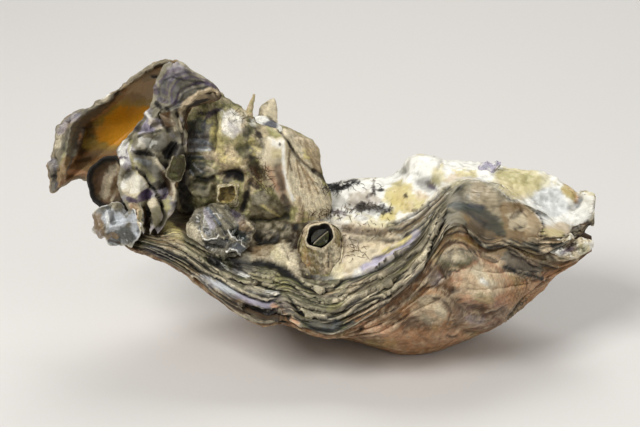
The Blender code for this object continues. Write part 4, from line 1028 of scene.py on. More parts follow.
SHELL_SPOTS = (
    ("peat", 0.55, 0.95, (16, 8), (16, 7)),
    ("ink", 0.6, 0.95, (17.5, 7), (18.5, 7)),
    ("peat", 0.7, 0.9, (25.5, 5.5), (26, 5)),
    ("peat", 0.5, 0.7, (28, 1), (29, 1)),
    ("peat", 0.8, 0.7, (32, 9.5), (34, 8)),
    ("plum", 0.6, 0.6, (33, 8), (35, 7)),
    ("ink", 0, 0.9, (0.5, 10), (3, 9), (6, 8.5), (8.5, 9.5), (9.5, 8), (6.5, 7), (3.5, 7.5), (1, 9)),
    ("ink", 0, 0.8, (10.5, 3), (13, 3.5), (15.5, 2), (18.5, 3), (21.5, 1), (19, -0.5), (15, 1),
     (11.5, 0.5)),
    ("plum", 0.8, 0.6, (-0.5, 0), (3, 1), (7.5, 0)),
    ("ink", 0.7, 0.8, (9.5, 10), (11.5, 9.5)),
    ("peat", 0.5, 0.7, (14, 5), (16.5, 6), (16, 9.5)),
    ("umber", 0.3, 0.6, (56.5, -2), (58, 0), (60, 1), (62, -1)),
    # Painted shadow in the gap under the slate lamella.
    ("ink", 0.7, 1, (55.5, -16), (57.5, -17), (61, -18), (66.5, -19.5)),
    ("olive", 2, 0.5, (23.5, -14.5), (27.5, -11.5), (31, -7.5)),
    ("olive", 1.6, 0.5, (15, -22), (23, -19)),
    ("peat", 1.2, 0.4, (3, -30), (9.5, -27.5)),
    # Painted shade under the round shell: this slate patch and the two ink strokes after the next.
    ("slate", 0, 0.6, (-35, -11.5), (-28.5, -13.5), (-21.5, -13), (-20, -17), (-24, -19), (-29.5, -17),
     (-33.5, -14.5)),
    ("ink", 1.4, 0.8, (-32.5, -13.5), (-31, -15)),
    ("ink", 1.5, 0.8, (-26, -14), (-24.5, -16.5)),
    ("chalk", 0.4, 0.7, (-29.5, -15), (-27.5, -17)),
    ("chalk", 0.4, 0.7, (-24.5, -18), (-21.5, -19)),
    ("moss", 1.2, 0.5, (-29.5, -13), (-27.5, -16)),
    # Painted shade in the hollow under the left lamellae.
    ("ink", 0, 0.85, (-26, -26), (-21, -28), (-16, -29), (-13, -28.5), (-10.5, -31), (-15.5, -31.5),
     (-21, -30.5)),
    ("slate", 0, 0.45, (-5, -32.5), (0.5, -34), (7, -32.5), (4, -36), (-0.5, -36.5), (-3.5, -35)),
    ("ink", 0.6, 0.7, (-2.5, -34.5), (3, -35)),
)


# Nothing is carved away below the ground, which is at this height.
LOWEST = 0.8


def carved(points, out):
    """A valve after the shell's strokes and edges: points, normals, painted highlight on lips, painted
    shadow in creases.
    """
    normals = facing_out(points, out)
    points = points + normals * sculpted(points, normals, SHELL_SCULPT)[..., None]
    lips, pale, dark = edged(points, normals, SHELL_EDGES)
    points = points + normals * lips[..., None]
    points[..., 2] = np.maximum(points[..., 2], LOWEST)
    return points, facing_out(points, out), pale, dark


def valve_grid(x, lines, places):
    """Points on the sections through a valve's long lines, and the directions out of it there."""
    spots, outs = section_curve(np.array(lines), places)
    return in_space(x, spots), np.concatenate([np.zeros((*outs.shape[:2], 1)), outs], -1)


def seam_rows(x, shares, shift):
    """Rows of points on the surface where the valves meet, moved by the shift."""
    return np.array([in_space(x, (seam(x, t) + shift)[None])[0] for t in shares])


def valve_piece(name, shell, closing, skin):
    """Object from a valve's outside and the rows that close it along the seam."""
    inner = shell_skin(plain_tint("umber", closing), closing[..., 1], 0.0, 0.0)
    skin = {key: np.concatenate([skin[key], inner[key]]).swapaxes(0, 1) for key in skin}
    return ringed_piece(name, np.concatenate([shell, closing]).swapaxes(0, 1), skin)


FACE_TONES = ("slate", "taupe", "olive", "ash", "moss", "taupe", "moss", "slate")
FACE_ROWS = 110
DECK_ROWS = 74
REAR_ROWS = 34
SEAM_ROWS = 16
VALVE_COLUMNS = 340


def build_upper_valve():
    """Flat valve: lamellae on its front, the bleached deck, a layered rear and the seam under it."""
    x = np.linspace(LEFT_END, RIGHT_END, VALVE_COLUMNS)
    lift = np.stack([np.zeros_like(x), GAP / 2 + line_at(GAPE, x)[:, 0] * (x > GAPE[0][0])], -1)
    lines = [line_at(stations, x) for stations in (BROW, DECK, REAR_EDGE)]
    lines = [seam(x, 0) + lift, *lines, seam(x, 1) + lift]
    steps = ((1, 3, DECK_ROWS), (3, 4, REAR_ROWS))
    steps = [np.linspace(start, end, rows + 1)[1:] for start, end, rows in steps]
    places = np.concatenate([np.linspace(0, 1, FACE_ROWS), *steps])
    top, out = valve_grid(x, lines, places)
    uphill = np.stack([out[..., 0], out[..., 2], -out[..., 1]], -1)
    face = np.clip(places, 0, 1)
    number, share = lamella_places(face, x)
    on_face = smooth(1.02, 0.97, places)[:, None]
    reach = np.linalg.norm(lines[1] - lines[0], axis=-1)
    growth = places[:, None] * np.maximum(reach, 12)[None]
    growth = growth + 1.1 * grain(top, 13, 3) + 0.25 * grain(top, 5, 4)
    flow = np.stack(np.broadcast_arrays(x[None], growth * 3, number * 7.0), -1)
    calm = covered(top, SHELL_CALM)
    crust = covered(top, SHELL_CRUST)
    plain = np.maximum(calm, crust)
    apart = top * (1, 0.3, 0.3) + number[..., None] * 9.0
    lift_here = measure("lamella_lift") * (0.5 + 0.9 * grain(apart, 10, 2))
    free = (1 - share) ** 1.6
    rise = lift_here * free * on_face * (1 - plain)
    step = measure("growth_step")
    fine = 0.34 * saw(growth / step) + 0.12 * saw(growth * 2.3 / step)
    fine = fine * (0.5 + 0.8 * grain(flow, 14, 9))
    rise += fine * (0.3 + 0.7 * on_face) * (1 - 0.95 * plain)
    rise += 0.45 * layered(top, 3.2, 4, 13) * crust
    rear = smooth(2.95, 3.15, places)[:, None] * smooth(4.0, 3.9, places)[:, None]
    spread = (growth + 7 * layered(flow, 16, 3, 5) + 2.5 * layered(top, 6, 3, 6)) / (3 * step)
    patchy = rear * smooth(-0.1, 0.35, layered(flow, 11, 3, 7))
    rise += 1.0 * (saw(spread) - 0.5) * patchy + 0.5 * layered(top, 5, 4, 8) * rear
    ledge = line_at(LAMELLA_STEP, x)[:, 0][None]
    behind = smooth(1.0, 1.03, places)[:, None] * smooth(1.75, 1.2, places)[:, None]
    rise += ledge * (0.75 * on_face * smooth(0.9, 1.0, face)[:, None] - 0.9 * behind)
    uneven = 1 - 0.7 * calm
    rise += 0.9 * grain(top, 12, 11) * (1 - 0.65 * on_face)
    rise += 0.34 * layered(flow, 9, 3, 12) * uneven
    on_deck = smooth(1.0, 1.03, places)[:, None] * smooth(3.3, 2.95, places)[:, None]
    crumbs = layered(top, 3.0, 4, 14) * on_deck * smooth(0, 12, x)[None]
    rise += 0.5 * crumbs
    droop = 0.7 * lift_here * np.exp(-9 * share) * on_face * (1 - plain)
    top = top + out * rise[..., None] - uphill * droop[..., None]
    top, normals, pale, dark = carved(top, out)

    tint = plain_tint("ash", top)
    for k, name in enumerate(FACE_TONES):
        tint = dab(tint, name, (number == k) * 0.85)
    tint = dappled(
        tint, flow, 1.0, ("peat", 0.85, 0.0, 0.5, 9, 3, 21), ("bone", 0.28, 0.15, 0.5, 8, 3, 22),
    )
    tint = dappled(tint, top, 1.0, ("moss", 0.65, 0.0, 0.5, 9, 3, 23))
    tint = dab(tint, "taupe", 0.9 * rear)
    tint = dappled(tint, flow, rear, ("umber", 0.7, 0.0, 0.4, 9, 3, 19), ("ash", 0.6, 0.0, 0.4, 6, 3, 30))
    tint = dappled(tint, top, rear, ("moss", 0.5, 0.1, 0.5, 12, 3, 10))
    bleached = on_deck * smooth(-4, 8, x + 4 * grain(on_plane(x), 9))[None]
    tint = dab(tint, "umber", 0.6 * on_deck * (1 - bleached))
    tint = dab(tint, "chalk", 0.95 * bleached)
    tint = dappled(
        tint, top, bleached, ("cream", 0.5, 0.0, 0.5, 8, 3, 25), ("straw", 0.5, 0.1, 0.4, 11, 3, 26),
        ("lichen", 0.4, 0.3, 0.6, 6, 3, 27),
    )
    tint = dab(tint, "straw", 0.35 * smooth(0.0, -0.4, crumbs))
    tint = brushed(tint, top, normals, SHELL_PAINT, 0.6)
    tint = dappled(
        tint, top, crust, ("umber", 0.28, 0.05, 0.4, 3.4, 4, 29), ("bone", 0.34, 0.05, 0.4, 2.4, 4, 20),
    )
    bands = saw(growth / step)
    lined = on_face * (1 - plain) * (smooth(-66, -36, x) - 0.4 * smooth(36, 46, x))[None]
    muted = 1 - 0.7 * smooth(34, 42, x)[None]
    shown = smooth(-0.35, 0.3, grain(flow, 10, 24)) * muted
    # Painted highlight on each fine step's crest and painted shade at its foot; painted highlight on each
    # lamella's free lip and painted shadow under the next lamella's overhanging edge; painted shade at the
    # foot of each rear step.
    tint = dab(tint, "bone", 0.28 * smooth(0.75, 1.0, bands) * lined * shown)
    tint = dab(tint, "ink", 0.75 * smooth(0.36, 0.03, bands) * lined)
    tint = dab(tint, "bone", 0.42 * smooth(0.14, 0.03, share) * lined * shown)
    tint = dab(tint, "ink", 0.95 * smooth(0.8, 0.97, share) * lined)
    tint = dab(tint, "ink", 0.4 * smooth(0.3, 0.03, saw(spread)) * patchy)
    # Painted shade in the hollows and painted highlight on what stands proud.
    tint = painted_hollow_shade_and_ridge_highlight(tint, top, normals, False, 0.35 + 0.65 * (1 - bleached))
    # Painted highlight on the free lips and painted shadow in the creases below them.
    tint = dab(tint, "bone", 0.6 * pale * muted)
    tint = dab(tint, "ink", 0.95 * dark)
    tint = brushed(tint, top, normals, SHELL_SPOTS)
    gloss = 0.15 + 0.12 * grain(top, 5, 28) + 0.45 * calm

    under = seam_rows(x, np.linspace(1, 0, SEAM_ROWS + 1)[:-1], lift)
    layers = (0.2 + 0.6 * on_face) * (1 - 0.8 * plain)
    skin = shell_skin(tint, growth, layers, gloss, np.maximum(calm, 0.6 * bleached))
    thing = valve_piece("upper_shell", top, under, skin)
    material = shell_material(
        "layered_shell", mottle=1.5, contrast=0.26, lines=0.5, line_cut=0.28, rough=0.62, bump=0.6
    )
    settle(thing, "upper_valve", material)


SEAM_END = 0.96
BELLY_LEDGES = (3.2, 3.5, 3.76)
REAR_LEDGES = (0.35, 0.75, 1.2)
BELLY_ROWS = 90
KEEL_ROWS = 60


def build_lower_valve():
    """Cupped valve: mottled belly, keel to rest on, plain rear and the seam over it."""
    x = np.linspace(LEFT_END, RIGHT_END, VALVE_COLUMNS)
    drop = np.array((0, -GAP / 2))
    lines = [line_at(stations, x) for stations in (REAR_BELLY, KEEL, BELLY)]
    lines = [seam(x, SEAM_END) + drop, *lines, seam(x, 0.0) + drop]
    places = np.concatenate([np.linspace(0, 2, KEEL_ROWS), np.linspace(2, 4, BELLY_ROWS + 1)[1:]])
    shell, out = valve_grid(x, lines, places)
    reach = np.linalg.norm(lines[3] - lines[2], axis=-1) / 2
    growth = places[:, None] * np.maximum(reach, 8)[None]
    growth = growth + 1.5 * grain(shell, 9, 31) + 0.3 * grain(shell, 4, 32)
    calm = covered(shell, SHELL_CALM)
    tail = smooth(48, 64, x)[None] * np.ones_like(growth)
    step = measure("belly_step")
    rise = 1.0 * grain(shell, 16, 33) + 0.35 * grain(shell, 7, 34) + 0.18 * layered(shell, 3.4, 3, 35)
    for k, ledge in enumerate(BELLY_LEDGES):
        line = ledge + 0.1 * grain(on_plane(x, 60.0 * k), 15) + 0.02 * layered(on_plane(x, 9.0 * k), 3, 3)
        past = places[:, None] - line[None]
        proud = measure("ledge_lift") + 0.5 * grain(shell, 10, 36 + k)
        rise += proud * smooth(0.0, -0.012, past) * smooth(-0.35, -0.02, past)
    rear = smooth(1.7, 1.2, places)[:, None]
    for k, ledge in enumerate(REAR_LEDGES):
        line = ledge + 0.16 * grain(on_plane(x, 40.0 * k), 18)
        past = line[None] - places[:, None]
        proud = 0.8 + 0.6 * grain(shell, 10, 30 + k)
        rise += proud * smooth(0.0, -0.02, past) * smooth(-0.5, -0.03, past)
    rise += 0.35 * (saw(growth / step) - 0.4) * (0.1 + 0.9 * np.maximum(tail, 0.8 * rear))
    rise += 0.12 * layered(shell, 1.8, 3, 37) * (1 - tail)
    rise *= 1 - 0.85 * calm
    rise *= np.clip(shell[..., 2] / 6, 0, 1)
    shell = shell + out * rise[..., None]
    shell, normals, pale, dark = carved(shell, out)

    tint = plain_tint("tan", shell)
    tint = dappled(
        tint, shell, 1.0, ("umber", 0.5, 0.0, 0.5, 12, 3, 41), ("rose", 0.8, -0.1, 0.4, 10, 3, 42),
        ("cream", 0.6, 0.1, 0.45, 5, 5, 43), ("umber", 0.45, 0.16, 0.46, 3.5, 5, 44, 0.65),
        ("lichen", 0.35, 0.2, 0.6, 9, 3, 45),
    )
    tint = dab(tint, "ash", 0.35 * rear)
    tint = dappled(
        tint, shell, rear, ("taupe", 0.7, -0.3, 0.4, 14, 3, 39), ("moss", 0.35, 0.1, 0.5, 9, 3, 37),
    )
    tint = brushed(tint, shell, normals, SHELL_PAINT, 0.7)
    patchy = 1 - 0.8 * calm
    tint = dappled(tint, shell, patchy, ("umber", 0.34, 0.1, 0.5, 2.6, 4, 40, 0.65))
    speck = smooth(0.12, 0.5, layered(shell, 2.2, 4, 38, 0.65))
    tint = dab(tint, "cream", 0.4 * patchy * (1 - tail) * speck)
    creased = veins(shell, 5, 5, 46) * smooth(-0.1, 0.4, layered(shell, 14, 2, 47))
    tint = dab(tint, "peat", 0.28 * patchy * creased)
    # Painted shade at the foot of each growth step on the tail and rear.
    tint = dab(tint, "peat", 0.5 * smooth(0.25, 0.04, saw(growth / step)) * np.maximum(tail, 0.7 * rear))
    # Painted shade in the hollows and painted highlight on what stands proud.
    tint = painted_hollow_shade_and_ridge_highlight(tint, shell, normals, False, 0.7)
    # Painted highlight on the free lips and painted shadow in the creases below them.
    tint = dab(tint, "cream", 0.5 * pale)
    tint = dab(tint, "ink", 0.9 * dark)
    tint = brushed(tint, shell, normals, SHELL_SPOTS)

    over = seam_rows(x, np.linspace(0, SEAM_END, SEAM_ROWS + 1)[1:-1], drop)
    layers = 0.08 + 0.7 * np.maximum(tail, 0.7 * rear)
    gloss = 0.25 + 0.2 * grain(shell, 6, 48) + 0.3 * calm
    thing = valve_piece("belly_shell", shell, over, shell_skin(tint, growth, layers, gloss, 0.9 * calm))
    material = shell_material(
        "belly_chalk", mottle=1.8, contrast=0.22, lines=0.8, line_cut=0.14, rough=0.6, bump=0.6
    )
    settle(thing, "lower_valve", material)


# --- shells grown on it --------------------------------------------------------------------------


def closed_outline(points, count):
    """Evenly spaced points on the smooth closed curve through the outline points."""
    points = np.array(points, float)
    p0, p1 = np.roll(points, 1, 0), points
    p2, p3 = np.roll(points, -1, 0), np.roll(points, -2, 0)
    fine = []
    for t in np.arange(16) / 16:
        fine.append(0.5 * (p1 * 2 + (p2 - p0) * t + (p0 * 2 - p1 * 5 + p2 * 4 - p3) * t * t
                           + (p1 * 3 - p0 - p2 * 3 + p3) * t**3))
    fine = np.stack(fine, 1).reshape(-1, 2)
    fine = np.concatenate([fine, fine[:1]])
    passed = np.concatenate([[0], np.cumsum(np.linalg.norm(np.diff(fine, axis=0), axis=-1))])
    wanted = np.linspace(0, passed[-1], count, endpoint=False)
    return np.stack([np.interp(wanted, passed, fine[:, k]) for k in (0, 1)], -1)


def stood(points, location, elevation, azimuth=0.0):
    """Points stood up from (right, up, towards the front) at a place, tilted up and turned."""
    tilt, turn = math.radians(elevation), math.radians(azimuth)
    right = np.array((math.cos(turn), math.sin(turn), 0))
    front = np.array((math.sin(turn) * math.cos(tilt), -math.cos(turn) * math.cos(tilt), math.sin(tilt)))
    up = np.cross(front, right)
    return np.array(location) + points[..., :1] * right + points[..., 1:2] * up + points[..., 2:] * front


def shell_rings(outline, umbo, front, back, count, front_rings, back_rings, ragged):
    """Rings of a shell from its umbo out over the front, round the rim and back in, and their shares."""
    edge = closed_outline(outline, count)
    umbo = np.array(umbo, float)
    out = edge - umbo
    out = out / np.linalg.norm(out, axis=-1, keepdims=True)
    edge = edge + out * (ragged * layered(on_plane(edge[:, 0], edge[:, 1]), 2.5, 4, 50))[:, None]

    def ring(surface, s):
        """Ring at share s of the way from the umbo to the edge."""
        spot = umbo + (edge - umbo) * s
        return np.concatenate([spot, surface(spot[:, 0], spot[:, 1], s)[:, None]], 1)

    outward, inward = np.linspace(0.02, 1, front_rings), np.linspace(1, 0.02, back_rings)
    rings = [ring(front, s) for s in outward]
    rim_front = rings[-1]
    rim_back = np.concatenate([edge, back(edge[:, 0], edge[:, 1], 1.0)[:, None]], 1)
    rings += [rim_front * (1 - share) + rim_back * share for share in (0.33, 0.66)]
    rings += [ring(back, s) for s in inward]
    return np.array(rings), np.concatenate([outward, (1.0, 1.0), inward])


def fine_relief(grid, size, height, seed):
    """Grid roughened along its normals."""
    normals = grid_normals(grid, True)
    return grid + normals * (height * layered(grid, size, 4, seed))[..., None]


OPEN_OUTLINE = (
    (-23, -13), (-22.5, -16), (-23, -19.5), (-20.5, -18), (-18.5, -17), (-15, -15.5), (-10, -16.5),
    (1.5, -17), (13.5, -14), (21, -7.5), (24.5, 1.5), (24, 9.5), (21, 14.5), (16.5, 18), (12, 18.5),
    (7.5, 16.5), (1.5, 12.5), (-4.5, 8.5), (-10.5, 5.5), (-15, 3.5), (-18.5, 1), (-21, -4),
)
OPEN_UMBO = (4, 0)
OPEN_PLACE = (-57.8, 6, 68.3)
OPEN_FRONT_RINGS = 90
OPEN_SCULPT = (
    (1.8, 1.6, (-80.5, 14)),
    (-1.2, 0.6, (-79, 16.5), (-79, 13)),
    (1, 1.3, (-78, 25.5), (-78.5, 21.5), (-78.5, 17)),
    (0.9, 1, (-77.5, 28), (-74.5, 30), (-71, 30.5)),
    (-0.8, 0.7, (-75.5, 28), (-76, 23), (-77, 18)),
    (0.8, 1.2, (-67, 33), (-62.5, 35)),
    (0.7, 1.2, (-60, 38), (-54.5, 41), (-50.5, 43.5)),
    (-1.2, 1, (-80, 11), (-79, 13)),
    (-1.2, 0.7, (-78, 9), (-77.5, 11)),
    (0.9, 0.8, (-71, 25), (-72.5, 20), (-74.5, 15)),
    (-0.9, 0.6, (-51, 41), (-49, 41)),
)
OPEN_PAINT = (
    # Painted shade inside the hollow below the rolled rim: this umber patch and the peat stroke after it.
    ("umber", 0, 0.9, (-73, 19), (-71, 25.5), (-66.5, 29), (-62.5, 32), (-59, 35), (-61.5, 30.5),
     (-65, 25.5), (-67, 21), (-71, 18)),
    ("peat", 2.2, 0.9, (-68.5, 26), (-70, 22.5), (-72, 19)),
    ("cream", 0, 0.75, (-61, 33), (-57.5, 37.5), (-53, 41), (-48, 43.5), (-45.5, 34), (-51, 30),
     (-57, 31)),
    ("taupe", 2, 0.5, (-58, 34), (-54, 34.5)),
    ("ash", 1.6, 0.5, (-52, 40.5), (-49, 42)),
    ("mustard", 0, 0.7, (-71, 22), (-66.5, 28.5), (-60, 34), (-51, 34), (-52, 20), (-62.5, 18.5),
     (-69, 18.5)),
    ("ochre", 0, 0.85, (-68, 24.5), (-64, 29), (-60, 32), (-51.5, 32), (-53.5, 22.5), (-60, 20.5),
     (-66, 21)),
    ("taupe", 0, 0.8, (-71.5, 17), (-66.5, 19.5), (-61, 19.5), (-60, 18), (-66, 17), (-69, 15),
     (-72.5, 14)),
    ("taupe", 0, 0.8, (-74.5, 13.5), (-69.5, 16), (-68, 13), (-72.5, 11), (-76, 12)),
    ("rose", 1, 0.5, (-75, 12.5), (-70, 12)),
    ("peat", 0.8, 0.7, (-73, 15.5), (-69, 16.5)),
    ("ash", 0, 0.9, (-80.5, 15.5), (-80, 22), (-78, 27.5), (-73.5, 31), (-67.5, 33.5), (-62.5, 36.5),
     (-59.5, 39), (-60, 36), (-63.5, 33), (-67, 30), (-71, 28), (-72.5, 24.5), (-74, 19), (-75.5, 13.5),
     (-78, 10.5)),
    ("bone", 1, 0.4, (-77.5, 26), (-73, 29), (-68, 32), (-64, 34.5)),
    ("taupe", 1.4, 0.5, (-78.5, 24), (-75, 28)),
    # Painted shade along the inner side of the rolled rim.
    ("slate", 1.2, 0.8, (-62.5, 34), (-66.5, 30.5), (-70.5, 28), (-73, 24), (-74, 19), (-76, 14)),
    ("slate", 0.9, 0.7, (-78.5, 25.5), (-76, 28.5), (-73, 29.5)),
    ("peat", 1.2, 0.95, (-63, 34), (-61.5, 36), (-60.5, 38)),
    ("chalk", 0.9, 0.95, (-65, 35), (-63.5, 36)),
    ("bone", 1.3, 0.8, (-78.5, 23), (-78.5, 20.5)),
    ("lichen", 0.5, 0.6, (-76, 21.5), (-77, 16.5), (-78, 13)),
    ("ink", 0.35, 0.8, (-77, 20), (-76, 18.5)),
    ("lavender", 1.6, 0.6, (-80.5, 15), (-80, 13.5)),
    ("moss", 0.8, 0.5, (-81, 13.5), (-80, 14.5)),
    ("taupe", 1.3, 0.9, (-76, 16), (-77.5, 12.5), (-79, 9.5)),
    ("ink", 1, 0.95, (-81, 11), (-81.5, 9)),
    ("peat", 1.2, 0.9, (-80, 12), (-80, 9)),
    ("indigo", 0.8, 0.8, (-79, 9), (-80, 7)),
    ("ash", 1, 0.8, (-60, 39), (-55, 42), (-50.5, 44.5), (-45.5, 46)),
    ("peat", 0.45, 0.8, (-58, 39), (-53.5, 42), (-48.5, 44), (-44.5, 45)),
    ("chalk", 0.7, 0.9, (-42.5, 45), (-39.5, 43.5), (-37, 41)),
    ("ink", 0.45, 0.97, (-50.5, 41), (-49, 41)),
    ("peat", 0.7, 0.8, (-68, 33), (-66.5, 34)),
    # Painted shade where the hollow shows in the recess behind the fluted valve and the knob.
    ("peat", 0, 1, (-44.5, 34.5), (-36, 36.5), (-32, 34), (-32, 16), (-44.5, 16)),
    ("ochre", 0, 0.6, (-62.5, 29), (-58, 31), (-56.5, 28.5), (-58, 25.5), (-62.5, 25.5)),
    # Painted shade inside the hollow below the rolled rim.
    ("peat", 0, 0.7, (-71, 25), (-68, 26), (-67, 23), (-69, 21.5), (-71, 22.5)),
    ("ash", 1.6, 0.6, (-76, 19.5), (-74, 18.5)),
    ("slate", 1.6, 0.55, (-80, 22), (-78.5, 27), (-75, 29.5), (-71, 31.5)),
    ("slate", 1.2, 0.5, (-77, 20), (-75, 24.5), (-71.5, 28.5), (-66, 33)),
    ("lavender", 1.2, 0.4, (-78, 24.5), (-76, 27.5), (-73, 29)),
    ("slate", 1.4, 0.5, (-81, 16), (-80, 11), (-80, 7.5)),
)


def build_open_valve():
    """Empty cupped valve of a dead oyster, rolled grey rim outside, ochre hollow inside."""
    depth = measure("open_depth")

    def rolled(a):
        return np.clip((-a - 6) / 12, 0, 1)

    def inside(a, b, s):
        bowl = -depth * np.clip(1 - (s / (0.97 - 0.15 * rolled(a))) ** 2.6, 0, None)
        roll = -3.0 * rolled(a) * max(0.0, (s - 0.84) / 0.16) ** 2
        knobs = 1.1 * layered(on_plane(a, b), 4.5, 3, 51) * max(0.0, (s - 0.8) / 0.2) * rolled(a)
        return bowl + roll + knobs + 0.8 * np.sin(a * 0.35 + 1) * s * s

    def outside(a, b, s):
        bowl = -(depth + 2.6) * max(0.0, 1 - s**2.6)
        return bowl - 1.5 - 3.2 * rolled(a) * s**4 + 0.8 * np.sin(a * 0.35 + 1) * s * s

    rings, shares = shell_rings(
        OPEN_OUTLINE, OPEN_UMBO, inside, outside,
        count=300, front_rings=OPEN_FRONT_RINGS, back_rings=40, ragged=0.5,
    )
    grid = stood(rings, OPEN_PLACE, 22, 6)
    normals = grid_normals(grid, True)
    s = shares[:, None]
    inner = (np.arange(len(rings)) < OPEN_FRONT_RINGS)[:, None]
    growth = s * 24 + 0.5 * grain(grid, 5, 52)
    rise = 0.25 * layered(grid, 2.5, 3, 53) * smooth(0.7, 0.95, s)
    rise = rise + ~inner * (0.25 * saw(growth / 1.6))
    rise = rise + ~inner * 0.7 * layered(grid, 6, 4, 54)
    grid = grid + normals * rise[..., None]
    rise = sculpted(grid, normals, OPEN_SCULPT)
    grid = grid + normals * rise[..., None]
    normals = grid_normals(grid, True)

    tint = plain_tint("taupe", grid)
    tint = dappled(tint, grid, 1.0, ("ash", 0.5, 0, 0.4, 5, 3, 55), ("umber", 0.6, 0.1, 0.5, 3, 3, 56))
    hollow = inner * smooth(0.95, 0.86, s)
    tint = dab(tint, "tan", 0.9 * hollow)
    tint = dab(tint, "umber", 0.9 * hollow * smooth(-4, -13, rings[..., 1]))
    painted = brushed(tint, grid, VIEW_BACK, OPEN_PAINT, 1.0)
    tint = np.where(inner[..., None], painted, tint)
    # Painted shade in the hollows and painted highlight on what stands proud.
    tint = painted_hollow_shade_and_ridge_highlight(tint, grid, normals, True, np.where(hollow > 0, 0.1, 0.8))
    gloss = np.where(inner, 0.25 + 0.45 * smooth(0.95, 0.8, s), 0.1)
    calm = inner * smooth(0.95, 0.85, s) * 0.8
    skin = shell_skin(tint, growth, np.where(inner, 0.05 + 0.4 * smooth(0.8, 0.95, s), 0.8), gloss, calm)
    thing = ringed_piece("open_shell", grid, skin)
    material = shell_material("open_shell_skin", mottle=1.6, contrast=0.25, lines=0.5, line_cut=0.25)
    settle(thing, "open_valve", material)


DARK_PLACE = (-62.8, -4, 54.3)
DARK_OUTLINE = (
    (-6, 1), (-5.5, -2.5), (-4.5, -5.5), (-2, -7.5), (2, -8.5), (5, -6.5), (6.5, -2.5), (6, 3), (3, 7.5),
    (-0.5, 7.5), (-3, 6), (-5.5, 3.5),
)
DARK_PAINT = (
    ("taupe", 0, 0.45, (-65.5, 4), (-64.5, 7.5), (-62.5, 12.5), (-60.5, 16), (-59, 13), (-60, 6.5),
     (-63, 3)),
    ("bone", 0, 0.25, (-65, 5), (-63.5, 10), (-61, 15), (-60.5, 14), (-62.5, 9.5), (-64, 4.5)),
    ("umber", 1.2, 0.7, (-66.5, 13.5), (-67.5, 10), (-66.5, 6.5)),
    ("olive", 1.2, 0.6, (-64.5, 16), (-62, 17)),
    ("bone", 0.4, 0.6, (-62.5, 4), (-60.5, 8)),
    ("umber", 0, 0.6, (-62.5, 12.5), (-60, 13), (-59.5, 8), (-62, 5)),
    ("bone", 1.8, 0.3, (-64.5, 6), (-63.5, 10), (-61.5, 13.5)),
    ("taupe", 0, 0.4, (-62.5, 6.5), (-60.5, 13.5), (-59, 12.5), (-60.5, 6)),
)


def build_dark_rimmed_valve():
    """Small cupped shell with a black edge."""

    def inside(a, b, s):
        return -3.0 * max(0.0, 1 - (s / 0.93) ** 3) + 1.6 * np.exp(-1.5 * ((a - 1) ** 2 + b**2) / 9)

    def outside(a, b, s):
        return a * 0 - 1.3 - 5.2 * (1 - s**2.5)

    rings, shares = shell_rings(
        DARK_OUTLINE, (1, 0), inside, outside, count=120, front_rings=40, back_rings=14, ragged=0.2
    )
    grid = fine_relief(stood(rings, DARK_PLACE, 22, -5), 2.5, 0.12, 60)
    normals = grid_normals(grid, True)
    s = shares[:, None]
    tint = plain_tint("umber", grid)
    tint = dappled(tint, grid, 1.0, ("olive", 0.7, -0.2, 0.4, 3, 3, 61))
    tint = brushed(tint, grid, VIEW_BACK, DARK_PAINT)
    # Painted shade in the hollows and painted highlight on what stands proud.
    tint = painted_hollow_shade_and_ridge_highlight(tint, grid, normals, True, 0.6)
    tint = dab(tint, "ink", 0.96 * smooth(0.76, 0.84, s + 0.05 * grain(grid, 2.2, 62)))
    skin = shell_skin(tint, s * 8, 0.15, 0.3, 0.4)
    thing = ringed_piece("dark_rimmed_shell", grid, skin)
    material = shell_material("dark_skin", mottle=1.2, contrast=0.3, lines=0.5, line_cut=0.25)
    settle(thing, "dark_rimmed_valve", material)


